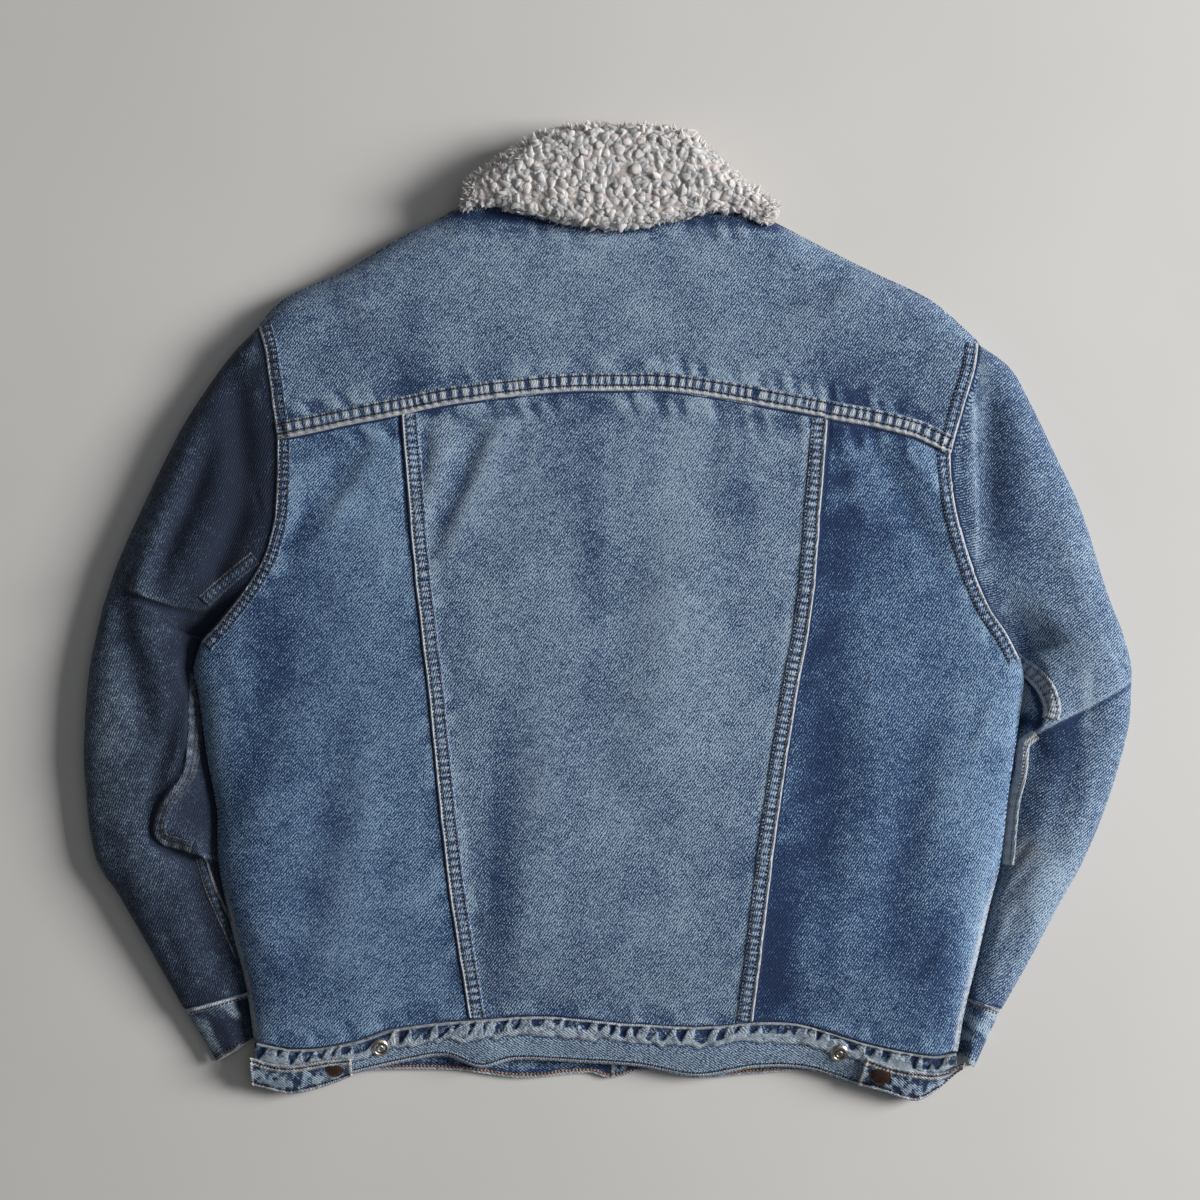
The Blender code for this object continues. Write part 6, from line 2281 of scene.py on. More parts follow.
@dataclass
class Cuff:
    """Top and under half of a cuff, open between them."""

    side: Side
    finishes: Finishes
    noise: Noise
    wall: float = 3.4
    crown: float = 17.0
    missing: float = 8.0
    columns: int = 40
    rows: int = 30
    corners: dict[Side, Rows] = by_side(
        ((-322, -302), (-266, -287), (-298, -342), (-263, -321)),
        ((301, -302), (268, -290), (281, -346), (269, -338)))

    def plan(self) -> Array:
        """Plan grid from the seam down to the free edge.

        Returns:
            Places as rows, columns, 2.
        """
        a, b, c, d = np.array(self.corners[self.side], float)
        s = np.linspace(0, 1, self.columns)[None, :, None]
        t = np.linspace(0, 1, self.rows)[:, None, None]
        return (1 - t) * (a + (b - a) * s) + t * (c + (d - c) * s)

    def build(self) -> None:
        """Make both halves, with puckers at the seam and a rolled edge."""
        plan = self.plan()
        x, y = plan[..., 0], plan[..., 1]
        width = np.hypot(*(plan[:, -1] - plan[:, 0]).T)[:, None]
        out = spans(plan, plan[:, :1])
        into = spans(plan, plan[:, -1:])
        t = np.linspace(0, 1, self.rows)[:, None]
        top = (self.crown - 1.5 * t - 7.5 * round_edge(out, 0.5 * width)
               - 8.6 * smooth(1 - into / (0.6 * width)))
        pucker = self.noise.patchy(out + 5 * t, t * 4, 6.0)
        top += 0.35 * pucker * (1 - smooth(t / 0.5)) + 0.45 * bell(t - 0.97, 0.05)
        top += 0.3 * self.noise.cloud(x, y, 14)
        # The left cuff is darker: painted shade, as on the left sleeve.
        wear = (0.05 if self.side is Side.RIGHT else -0.40) + 0.25 * pucker * (1 - smooth(t / 0.8))
        wear = wear + 0.75 * self.noise.patchy(x + 0.5 * y, y, 9)
        wear = wear - 1.6 * bell(t, 0.02)
        edge = 0.8 * bell(t - 0.995, 0.03) + 0.8 * bell(t - 0.05, 0.025)
        word = self.side.value
        self.pieces = []
        for half, high in (("top", top), ("under", np.full_like(top, self.wall))):
            cloth = Cloth(plan, high, high - self.wall, wear, edge=edge * np.ones_like(top),
                          grain=12.0 * self.side.sign, free=("start", "end", "high"), bulge=0.5)
            self.pieces.append(cloth.sewn(0.6).lay("cuff_%s_%s" % (word, half), "denim",
                                                   [self.finishes.sleeve(self.side)]))
        ground = Ground(self.pieces[0])
        sewing = Stitching("stitches_cuff_" + word, self.finishes.brown)
        for share in (0.10, 0.92):
            sewing.run(plan[int(share * (self.rows - 1)), 2:-2], ground, missing=self.missing)
        sewing.make()


# ---------------------------------------------------------------- waistband
@dataclass
class Waistband:
    """Back waistband over the two front ones, with its tabs and open snaps."""

    body: Body
    finishes: Finishes
    wall: float = 3.6
    gap: float = 1.2
    front_wall: float = 4.0
    tab_wall: float = 2.8
    tab_gap: float = 0.5
    missing_seam: float = 23.0
    missing_edge: float = 9.0
    missing_tab: float = 15.0
    rope_points: int = 500
    columns: int = 560
    rows: int = 38
    front_columns: int = 150
    front_rows: int = 26
    tab_columns: int = 120
    tab_rows: int = 32
    low_edge: Rows = ((-267, -358, 9), (-237, -362, 9), (-212, -355, 9), (-190, -349, 10),
                      (-156, -341, 12), (-124, -336, 13), (-96, -345, 12), (-71, -339, 13),
                      (-22, -341, 12), (24, -344, 12), (69, -352, 11), (115, -345, 12),
                      (152, -346, 11), (190, -358, 9), (232, -369, 9), (251, -362, 9),
                      (266, -349, 10))
    front_edge: Rows = ((-262, -354), (-236, -358), (-193, -350), (-119, -349), (-65, -355),
                        (-13, -351), (3, -355), (34, -349), (69, -355), (111, -352),
                        (160, -350), (193, -358), (230, -364), (258, -350))
    tabs: dict[Side, tuple[Rows, Rows]] = by_side(
        (((-271, -336), (-255, -341), (-237, -342), (-212, -338), (-194, -337)),
         ((-271, -359), (-256, -363), (-241, -366), (-214, -360), (-194, -352))),
        (((197, -336), (216, -343), (232, -346), (255, -348), (272, -340)),
         ((191, -359), (212, -364), (236, -371), (252, -363), (271, -346))))
    caps_up: dict[Side, float] = by_side(2.8, 3.0)

    def height(self, x: Array, y: Array) -> Array:
        """Height of the back waistband: level at its seam, then rolling down.

        Args:
            x: Places across.
            y: Places along.

        Returns:
            Heights in millimetres.
        """
        seam = across_at(self.body.hem_seam, x, 1)
        low = across_at(self.low_edge, x, 1)
        low_z = across_at(self.low_edge, x, 2)
        down = np.clip((seam - y) / (seam - low), 0, 1.1)
        top = self.body.hem_top - 1
        return top - (top - low_z) * (0.35 * down + 0.65 * down ** 2)

    def back(self) -> Object:
        """Back waistband, puckered along its seam.

        Returns:
            The new piece.
        """
        hem = flow(self.body.hem_seam, np.linspace(0, 1, self.columns))
        low = across_at(self.low_edge, hem[:, 0], 1)
        t = np.linspace(0, 1, self.rows)[:, None]
        y = hem[None, :, 1] - self.gap + (low - hem[:, 1])[None] * t
        plan = np.stack([np.broadcast_to(hem[None, :, 0], y.shape), y], 2)
        x = plan[..., 0]
        noise = self.body.noise
        seam_y = hem[None, :, 1] - y
        leant = x + 0.3 * seam_y + 1.2 * noise.at(x, seam_y, 5)
        phase = leant * math.tau / 11.5 + 4.6 * noise.at(leant, 0 * y, 30)
        teeth = 0.50 + 0.62 * np.sin(phase) + 0.85 * noise.at(leant + 500, seam_y * 0.4, 6.5)
        teeth = 0.8 + 12.5 * np.clip(teeth, 0, 1) * (0.85 + 0.35 * noise.at(x, 0 * y, 40))
        depth = 14.5 + 2.2 * noise.at(x + 900, 0 * y, 9) + 1.5 * teeth / 13
        window = 1 - smooth((seam_y - depth) / 1.8)
        pale = smooth((seam_y - teeth) / 2.2)
        rim = bell(seam_y - teeth - 1.6, 1.3) * window
        fine = noise.patchy(x + 60 + 0.4 * seam_y, seam_y, 3.2)
        top = self.height(x, y) + window * (1.4 * pale - 0.5 + 0.3 * fine) + 0.3 * rim
        top += 0.30 * noise.cloud(x, y, 26) - 0.5 * bell(seam_y - depth - 1.5, 1.4)
        wear = window * (1.55 * pale - 1.15 + 0.85 * fine) + 0.40 * rim
        wear += 0.14 * noise.cloud(x, y + 200, 30) + 0.10 * (1 - window)
        # The darkening in the groove below the puckered band is painted shade.
        wear += 0.40 * bell(seam_y - depth + 1.2, 1.1) - 0.70 * bell(seam_y - depth - 1.5, 1.2)
        # The slit is dipped and darkened: the darkening is painted shadow in the slit.
        slit = bell(x + 158, 2.2) * bell(seam_y - 8, 7)
        top -= 1.5 * slit
        wear -= 1.4 * slit
        edge = 0.9 * bell(x + 161.5, 1.0) * bell(seam_y - 8, 6) + 0.22 * window * pale
        cloth = Cloth(plan, top, top - self.wall, wear, edge=edge, grain=90.0,
                      free=("high", "start", "end"), bulge=0.6)
        return self.finish(cloth, "waistband_back", ["waistband_front_left_cloth",
                                                     "waistband_front_right_cloth"])

    def fronts(self) -> None:
        """Front waistbands on the surface, their inner faces up."""
        for side in Side:
            hem = self.body.front_hem[side]
            start, end = self.body.front_opening, self.front_edge[0 if side is Side.LEFT else -1][0]
            x = np.linspace(start + 0.4 * side.sign, end, self.front_columns)
            low = across_at(self.front_edge, x, 1)
            seam = sorted([*hem, (start, self.body.hem_y)])
            high = np.interp(x, [p[0] for p in seam], [p[1] for p in seam]) - 0.6
            t = np.linspace(0, 1, self.front_rows)[:, None]
            across, y = x[None] + 0 * t, high[None] + (low - high)[None] * t
            noise, below = self.body.noise, y - low[None]
            top = self.front_wall + 0.25 * noise.cloud(across, y, 14)
            top = top - 0.5 * bell(below - 3.2, 0.9)
            wear = -0.34 + 0.30 * noise.patchy(across, y + 80, 7) - 0.8 * bell(below - 4.6, 1.2)
            edge = 0.9 * bell(below - 0.3, 1.1) * (0.75 + 0.25 * noise.at(across, 0 * below, 3))
            split = bell(across - 4, 14) * smooth((below - 2.5) / 2)
            wear += split * (1.3 * noise.patchy(across, y + 30, 2.6) - 0.5)
            if side is Side.RIGHT:
                edge = np.maximum(edge, 0.9 * bell(across - start - 1.6, 1.3))
            cloth = Cloth(np.stack([across, y], 2), top, np.zeros_like(top), wear, edge=edge,
                          grain=90.0, free=("high", "start", "end"), bulge=0.4)
            piece = self.finish(cloth, "waistband_front_" + side.value)
            sewing = Stitching("stitches_front_band_" + side.value, self.finishes.orange,
                               length=2.6, radius=0.8)
            line = np.column_stack([x, low + 2.7])
            sewing.run(line, Ground(piece), missing=self.front_wall)
            sewing.make()

    def finish(self, cloth: Cloth, node: str, rests_on: Sequence[str] = ()) -> Object:
        """Make a shell of faded denim for a node."""
        return cloth.sewn(0.3).lay(node, "denim_faded", [self.finishes.faded], rests_on)

    def edges(self, band: Object) -> None:
        """Roped edges of the waistband, and their stitches.

        Args:
            band: The back waistband.
        """
        ground = Ground(band)
        x = np.linspace(-265.5, 265, self.rope_points)
        seam = np.column_stack([x, across_at(self.body.hem_seam, x, 1) - 1.0])
        low = np.column_stack([x, across_at(self.low_edge, x, 1) + 0.4])
        both = Ground(band, *[self.body.pieces[k] for k in ("back_side_left", "back_side_right",
                                                            "back_centre")])
        rope = Strip("rope_waist_seam", seam, -2.2, rise=1.2, roped=(1.1,), pitch=5.5, mottle=0.2,
                     relief=0.2, cord=0.8, twist=0.35, step=0.7, deep=1.6, seed=41)
        pieces = [rope.make(both, self.finishes.faded, missing=self.missing_seam)]
        fold = Strip("rope_waist_edge", low, 3.6, rise=0.5, rows=(1.9,), roped=(0.3,), pitch=5.0,
                     mottle=0.2, relief=0.15, wear=0.1, cord=0.7, twist=0.25, seed=43)
        pieces.append(fold.make(ground, self.finishes.faded, missing=self.missing_edge))
        for piece in pieces:
            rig.slot(piece, "denim_faded")
        sewing = Stitching("stitches_waist", self.finishes.brown)
        fold.stitch(sewing, Ground(pieces[1]), missing=self.missing_edge)
        sewing.make()

    def tab(self, side: Side, ground: Ground) -> Object:
        """Waist tab on the corner of the waistband.

        Args:
            side: Which side.
            ground: What it lies on.

        Returns:
            The new piece.
        """
        fractions = np.linspace(0, 1, self.tab_columns)
        top, low = [flow(rows, fractions) for rows in self.tabs[side]]
        t = np.linspace(0, 1, self.tab_rows)[:, None, None]
        plan = top[None] + (low - top)[None] * t
        x, y = plan[..., 0], plan[..., 1]
        base = ground.heights(x, y, missing=-1.0)
        base = np.where(base < 0, self.height(x, y), base)
        base = np.maximum(blurred(base, 5), self.height(x, y)) + 0.5
        s = fractions[None]
        tip = s if side is Side.LEFT else 1 - s
        below = spans(plan, plan[:1])
        above = spans(plan, plan[-1:])
        noise = self.body.noise
        soft = 0.6 * noise.patchy(x, y, 3.0) + 0.5 * noise.patchy(x + 70, y, 6.5)
        height = base + self.tab_gap + self.tab_wall + 0.4 * soft
        cap = middle_of("snap_cap_" + side.value) + (0, self.caps_up[side])
        from_cap = plan - cap
        lens = 4.4 - 0.06 * from_cap[..., 0] ** 2
        lip = smooth((np.abs(from_cap[..., 1]) - lens) / 1.8 + 0.5)
        if side is Side.LEFT:
            height += 1.9 * lip * bell(from_cap[..., 0], 9) * bell(from_cap[..., 1], 8)
        ropes = bell(below - 0.9, 1.2) + bell(below - 4.4, 1.2) + bell(above - 0.8, 1.0)
        ends = reach_of(top)[-1]
        ropes = ropes + bell(tip * ends - ends + 1.2, 1.1)
        ropes = ropes + bell(tip * ends - 1.0, 1.1)
        twist = np.sin((reach_of(top)[None] + 1.3 * below) * math.tau / 2.8)
        height += ropes * (0.6 + 0.25 * twist)
        height -= 0.5 * (bell(below - 2.6, 0.7) + bell(above - 3.0, 0.8))
        # The dark lines at the grooves near the tab's upper and lower edges are painted shade.
        wear = -0.22 + 2.6 * soft * (1 - np.clip(ropes, 0, 1)) - 0.5 * bell(above - 3.0, 0.9)
        wear = wear - 1.2 * bell(below - 2.6, 0.7) - 1.2 * bell(below - 6.2, 0.8)
        cloth = Cloth(plan, height, height - self.tab_wall, wear,
                      edge=np.clip(ropes * (0.72 + 0.26 * twist), 0, 1), grain=80.0,
                      free=ALL_ROUND, bulge=0.6)
        piece = self.finish(cloth, "waist_tab_" + side.value, ["waistband_back_cloth"])
        sewing = Stitching("stitches_tab_" + side.value, self.finishes.brown)
        own = Ground(piece)
        for share in (0.12, 0.86):
            sewing.run(plan[0] + (plan[-1] - plan[0]) * share, own, missing=self.missing_tab)
        sewing.make()
        return piece

    def build(self) -> None:
        """Make the waistbands, their edges and both tabs."""
        self.fronts()
        band = self.back()
        self.edges(band)
        ground = Ground(band)
        self.tab_pieces = {side: self.tab(side, ground) for side in Side}
        self.band_piece = band


@dataclass
class Snap:
    """A turned snap part: a closed cap or an open stud."""

    node: str
    finish: Material
    slot: str
    profile: Rows
    sink: float = 0.5
    lean: float = 0.0
    up: float = 0.0
    turns: int = 56
    probe: float = 6.0

    def build(self, ground: Ground) -> Object:
        """Turn the profile and set it over its solid, tilted with the cloth.

        Args:
            ground: The cloth it is pressed into.

        Returns:
            The new piece.
        """
        middle = middle_of(self.node) + (0, self.up)
        angles, probe = np.linspace(0, math.tau, 12, endpoint=False), self.probe
        ring = ground.heights(middle[0] + probe * np.cos(angles), middle[1] + probe * np.sin(angles))
        ring = np.where(ring < 1, ring.max(), ring)
        tilt = [float((ring * np.cos(angles)).mean() * 2 / probe),
                float((ring * np.sin(angles)).mean() * 2 / probe) - self.lean]
        rows = np.array(self.profile, float)
        reach = reach_of(rows)
        dense = np.linspace(0, reach[-1], 60)
        rows = np.stack([np.interp(dense, reach, rows[:, k]) for k in (0, 1)], 1)
        turn = np.linspace(0, math.tau, self.turns, endpoint=False)
        x = rows[:, 0][:, None] * np.cos(turn)
        y = rows[:, 0][:, None] * np.sin(turn)
        z = rows[:, 1][:, None] + 0 * x
        x, y, z = x - z * tilt[0], y - z * tilt[1], z + x * tilt[0] + y * tilt[1]
        points = np.stack([x, y, z], 2).reshape(-1, 3)
        points += [*middle, float(ring.mean()) - self.sink]
        faces = []
        for j in range(0, points.shape[0] - self.turns, self.turns):
            for k in range(self.turns):
                a, b = j + k, j + (k + 1) % self.turns
                faces.append([a, a + self.turns, b + self.turns, b])
        piece = make_mesh(self.node + "_turned", points, faces, [self.finish], crisp=35)
        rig.replaces(piece, self.node)
        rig.slot(piece, self.slot)
        return piece


# ---------------------------------------------------------------- pile
class Curls:
    """Matted curls of sherpa over a surface, by places on it in millimetres."""

    TABLE = (97, 89)

    def __init__(self, seed: int, size: float = 5.6) -> None:
        """Scatter the curls' middles.

        Args:
            seed: Seed of the scatter.
            size: Usual size of a curl.
        """
        self.size, self.noise = size, Noise(seed)
        random = np.random.default_rng(seed)
        self.offsets = random.uniform(0.08, 0.92, (*self.TABLE, 2))
        self.turns = random.uniform(0, math.pi, self.TABLE)
        self.sizes = random.uniform(0.75, 1.25, self.TABLE)

    def at(self, u: Array, v: Array) -> tuple[Array, Array]:
        """Height of the pile, and the painted shade of its creases.

        Args:
            u: Places along the piece.
            v: Places across it.

        Returns:
            Heights from 0 to 1, and a painted shade from 0 in a crease to 1 on a curl.
        """
        bend = self.size * 0.42
        u2 = u + bend * self.noise.at(u, v, self.size * 1.4)
        v2 = v + bend * self.noise.at(u + 77, v + 13, self.size * 1.4)
        gu, gv = u2 / self.size, v2 / self.size
        iu, iv = np.floor(gu).astype(int), np.floor(gv).astype(int)
        first, second = np.full(np.shape(u), 9.0), np.full(np.shape(u), 9.0)
        tall, swirl = np.ones(np.shape(u)), np.zeros(np.shape(u))
        for du in (-1, 0, 1):
            for dv in (-1, 0, 1):
                a, b = (iu + du) % self.TABLE[0], (iv + dv) % self.TABLE[1]
                x = gu - iu - du - self.offsets[a, b, 0]
                y = gv - iv - dv - self.offsets[a, b, 1]
                c, s = np.cos(self.turns[a, b]), np.sin(self.turns[a, b])
                away = np.hypot((x * c + y * s) * 0.78, (y * c - x * s) * 1.18)
                away = away / self.sizes[a, b]
                closer = away < first
                second = np.where(closer, first, np.minimum(second, away))
                tall = np.where(closer, self.sizes[a, b], tall)
                swirl = np.where(closer, np.arctan2(y, x) + self.turns[a, b], swirl)
                first = np.where(closer, away, first)
        border = np.clip((second - first) / 0.55, 0, 1)
        curl = np.sqrt(border) * (1 - 0.30 * np.clip(first, 0, 1) ** 2) * (0.55 + 0.45 * tall)
        curl *= 1 + 0.16 * np.sin(2 * swirl + 5 * first)
        curl += 0.10 * self.noise.at(u, v + 40, 1.7) + 0.06 * self.noise.at(u + 9, v, 0.9)
        return np.clip(curl, 0, 1.3), np.clip(border * 1.25, 0, 1)


@dataclass
class Tufts:
    """Many small tapered tufts of pile, bent over a surface."""

    rings: int = 7
    sides: int = 7
    uneven: float = 0.16
    parts: list[tuple[Array, Array, Array]] = field(default_factory=list)

    def grow(self, starts: Array, along: Array, up: Array, size: Array, curl: float,
             random: np.random.Generator) -> None:
        """Add one tuft at each start.

        Args:
            starts: Roots of the tufts.
            along: Unit vectors that they run along.
            up: Unit vectors out of the surface, square to the ones before.
            size: Length, half width and half thickness of each.
            curl: How high they arch over the surface.
            random: Source of their differences.
        """
        count, rings, sides = len(starts), self.rings, self.sides
        side = np.cross(along, up)
        length, width, thick = [size[:, k][:, None, None] for k in range(3)]
        s = np.linspace(0, 1, rings)[None, :, None]
        profile = np.sin(math.pi * (0.08 + 0.89 * s)) ** 0.7 * (1.25 - 0.7 * s)
        turn = np.linspace(0, math.tau, sides, endpoint=False)[None, None]
        bend = random.normal(0, 0.28, (count, 1, 1)) * length * s ** 2
        arch = curl * random.uniform(0.5, 1.4, (count, 1, 1)) * np.sin(math.pi * s * 0.8)
        rough = 1 + self.uneven * random.normal(size=(count, rings, sides))
        around = bend + width * profile * np.cos(turn) * rough
        raised = arch + thick * profile * np.sin(turn) * rough
        onward = length * s + 0 * around
        axes = [v[:, None, None, :] for v in (along, side, up)]
        body = starts[:, None, None] + sum(a * b[..., None] for a, b in
                                           zip(axes, (onward, around, raised)))
        ends = [body[:, k].mean(1) + along * push for k, push in ((0, -0.2), (-1, 0.25))]
        points = np.concatenate([body.reshape(count, -1, 3)] + [e[:, None] for e in ends], 1)
        # Painted shade: each tuft is darker underneath and at its root, lighter on top and at its tip.
        shade = 0.50 + 0.30 * np.clip(np.sin(turn) + 0.5, 0, 1) + 0.16 * s
        shade = shade + 0.06 * random.normal(size=(count, 1, 1))
        shade = np.concatenate([shade.reshape(count, -1), np.full((count, 1), 0.2),
                                np.full((count, 1), 0.9)], 1)
        strand = np.stack([around + raised, onward,
                           np.arange(count)[:, None, None] * 9.0 + 0 * onward], 3)
        strand = strand.reshape(count, -1, 3)
        strand = np.concatenate([strand, strand[:, :1], strand[:, -1:]], 1)
        self.parts.append((points, np.clip(shade, 0, 1), strand))

    def make(self, name: str, finish: Material) -> Object:
        """Make all tufts as one piece.

        Args:
            name: Name of the piece.
            finish: Its pile.

        Returns:
            The new piece.
        """
        points, shade, strand = [np.concatenate(part) for part in zip(*self.parts)]
        count, each = points.shape[:2]
        rings, sides = self.rings, self.sides
        faces = []
        for j in range(rings - 1):
            for k in range(sides):
                n, a, b = (k + 1) % sides, j * sides, (j + 1) * sides
                faces.append([a + k, b + k, b + n, a + n])
        caps = [[each - 2, k, (k + 1) % sides] for k in range(sides)]
        last = (rings - 1) * sides
        caps += [[each - 1, last + (k + 1) % sides, last + k] for k in range(sides)]
        shift = np.arange(count)[:, None, None] * each
        every = (np.array(faces)[None] + shift).reshape(-1, 4).tolist()
        every += (np.array(caps)[None] + shift).reshape(-1, 3).tolist()
        piece = make_mesh(name, points.reshape(-1, 3), every, [finish],
                          {"crease": shade.ravel(), "strand": strand.reshape(-1, 3) * MM},
                          crisp=180)
        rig.slot(piece, "sherpa")
        return piece


@dataclass
class Collar:
    """Sherpa collar folded over at the back neck, with the denim inside its fold."""

    body: Body
    finishes: Finishes
    pile: float = 11.0
    lap: float = 9.0
    under: float = 1.8
    gap: float = 0.5
    missing: float = 26.0
    curl_height: float = 1.6
    rows: int = 220
    curls: int = 1350
    tips: int = 170
    wisps: int = 1500
    outer_columns: int = 112
    edge_columns: int = 12
    leaves: Rows = (
        (-110, 305, -106, 325, 34, 15), (-96, 311, -93, 334, 40, 14),
        (-80, 309, -76, 346, 43, 13.5), (-58, 304, -52, 361, 45, 10),
        (-30, 297, -27, 368, 46, 4), (5, 293, 6, 369, 46, 3), (38, 297, 37, 368, 46, 4),
        (62, 302, 60, 363, 45, 10), (84, 306, 83, 345, 43, 13.5), (103, 304, 106, 324, 40, 14),
        (123, 294, 130, 308, 34, 15))

    def section(self, leaf: Array, low: float) -> tuple[Array, Array]:
        """Outer and inner line of the folded sherpa as reach and height.

        Args:
            leaf: A row of the collar.
            low: Height of the free edge's underside.

        Returns:
            The outer line from the free edge round the roll, and the inner line back.
        """
        x, y, out_x, out_y, top, floor = leaf
        reach = math.hypot(out_x - x, out_y - y)
        lap = min(self.lap, 0.55 * reach)
        wall = min(self.pile, 0.34 * reach, 0.42 * (top - floor))
        middle, turn = (top + floor) / 2, 0.5 * (top - floor)
        bend = min(turn, reach - lap - wall * 0.5)
        outer = [(0.0, low), (-0.6, (top + low) / 2 - 1), (2.6, top - 2.4)]
        outer += [(reach - bend * (1 - math.sin(a)), middle + turn * math.cos(a))
                  for a in (math.radians(d) for d in range(0, 181, 30))]
        outer.append((lap, floor))
        inner_turn, inner_bend = max(turn - wall, 0.8), max(bend - wall, 0.4)
        inner = [(lap, floor + wall)]
        inner += [(reach - wall - inner_bend * (1 - math.sin(a)),
                   middle + inner_turn * math.cos(a))
                  for a in (math.radians(d) for d in range(180, -1, -45))]
        inner.append((2.0, low + 0.2))
        return np.array(outer), np.array(inner)

    def build(self) -> None:
        """Make the pile, its wisps and the denim under it."""
        fractions = np.linspace(0, 1, self.rows)
        leaves = flow(self.leaves, fractions)
        run = reach_of(leaves)
        out = leaves[:, 2:4] - leaves[:, :2]
        out /= np.hypot(*out.T)[:, None]
        under = self.highest_under(leaves, out)
        low = under + self.under + 2 * self.gap
        outer_share = np.concatenate([np.linspace(0, 0.72, 120)[:-1], np.linspace(0.72, 1, 22)])
        inner_share = np.linspace(0, 1, 20)
        curls = Curls(8, 7.4)
        sections, ring_u, ring_v, grow, normals = [], [], [], [], []
        for leaf, edge, place in zip(leaves, low, run):
            outer, inner = self.section(leaf, edge)
            line = flow(outer, outer_share)
            length = reach_of(line)
            back = flow(inner, inner_share)
            sections.append(np.concatenate([line, back]))
            normals.append(np.concatenate([left_of(line), np.zeros_like(back)]))
            ring_v.append(np.concatenate([length, np.zeros(len(back))]))
            ring_u.append(np.full(len(line) + len(back), place))
            reach = smooth((length[-1] - length) / 12)
            ends = smooth(min(place, run[-1] - place) / 5)
            grow.append(np.concatenate([reach * (0.35 + 0.65 * ends), np.zeros(len(back))]))
        sections, normals = np.array(sections), np.array(normals)
        u, v, grow = np.array(ring_u), np.array(ring_v), np.array(grow)
        height, crease = curls.at(u, v)
        crease = np.where(grow > 0, crease, 0.4)
        push = (height - 0.45) * self.curl_height * grow
        sections = sections + normals * push[..., None]
        plan = leaves[:, None, :2] + out[:, None] * sections[..., :1]
        points = np.concatenate([plan, sections[..., 1:]], 2)
        noise = Noise(12)
        points[..., 0] += 0.9 * noise.at(u, v, 4.0) * grow
        points[..., 1] += 0.9 * noise.at(u + 50, v, 4.0) * grow
        self.make_ring("collar_pile", points, crease)
        self.fleece(points, u, v, grow)
        self.under_collar(leaves, out, under)

    def highest_under(self, leaves: Array, out: Array) -> Array:
        """Highest point of the yoke under each row's free edge.

        Args:
            leaves: Rows of the collar.
            out: Their outward directions.

        Returns:
            One height for each row.
        """
        reached = [self.body.back.heights(leaves[:, 0] + out[:, 0] * r,
                                          leaves[:, 1] + out[:, 1] * r)
                   for r in (-4, -2, 0, 2, 4, 6, 8)]
        return np.maximum(blurred(np.max(reached, axis=0)[:, None], 4)[:, 0], self.missing)

    def make_ring(self, name: str, points: Array, crease: Array) -> None:
        """Join the closed sections of all rows and round off both ends.

        Args:
            name: Name of the piece.
            points: Sections as rows, columns, 3.
            crease: Painted shade of each point.
        """
        columns = points.shape[1]
        caps = []
        for end, inner in ((0, 6), (-1, -7)):
            middle = points[end].mean(0)
            away = unit(middle - points[inner].mean(0))
            caps.append([middle + (points[end] - middle) * size + away * push
                         for size, push in ((0.86, 1.6), (0.5, 2.8), (0.08, 3.2))])
        grid = np.concatenate([caps[0][::-1], points, caps[1]])
        shade = np.concatenate([[crease[0]] * 3, crease, [crease[-1]] * 3])
        rows = len(grid)
        first = np.arange(rows - 1)[:, None] * columns
        corner = (first + np.arange(columns)).ravel()
        beside = (first + (np.arange(columns) + 1) % columns).ravel()
        faces = np.stack([corner, beside, beside + columns, corner + columns], 1).tolist()
        faces.append(list(range(columns))[::-1])
        faces.append(list(range((rows - 1) * columns, rows * columns)))
        piece = make_mesh(name, grid.reshape(-1, 3), faces, [self.finishes.sherpa],
                          {"crease": 0.2 + 0.5 * shade.ravel(),
                           "strand": grid.reshape(-1, 3) * MM}, crisp=180)
        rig.replaces(piece, "collar_sherpa")
        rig.slot(piece, "sherpa")
        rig.padded(piece, fill=0.5)

    def fleece(self, points: Array, u: Array, v: Array, grow: Array) -> None:
        """Matted curls over the pile, and wisps at their tips and along its edges.

        Args:
            points: The pile's surface.
            u: Places along the collar.
            v: Places round its fold.
            grow: Where pile grows, from 0 to 1.
        """
        random = np.random.default_rng(4)
        rows, columns = points.shape[:2]
        across, along = np.gradient(points, axis=0), np.gradient(points, axis=1)
        normal = np.cross(along, across)
        area = np.linalg.norm(normal, axis=2)
        normal = unit(normal) * np.sign(normal[rows // 2, 40, 2])
        across, along = unit(across), unit(along)
        near_end = np.minimum(np.arange(rows), rows - 1 - np.arange(rows))[:, None]
        outer = (np.arange(columns) < self.outer_columns)[None]

        def pick(count: int, chances: Array) -> Array:
            """Numbers of random points, by their chances."""
            share = (chances / chances.sum()).ravel()
            return random.choice(rows * columns, count, p=share)

        def tangent(at: Array, angle: Array) -> Array:
            """Directions along the surface.

            Args:
                at: Numbers of the points.
                angle: Turn from the way round the fold.

            Returns:
                One unit vector for each point.
            """
            flat = [grid.reshape(-1, 3)[at] for grid in (along, across, normal)]
            way = flat[0] * np.cos(angle)[:, None] + flat[1] * np.sin(angle)[:, None]
            return unit(way - flat[2] * (way * flat[2]).sum(1)[:, None])

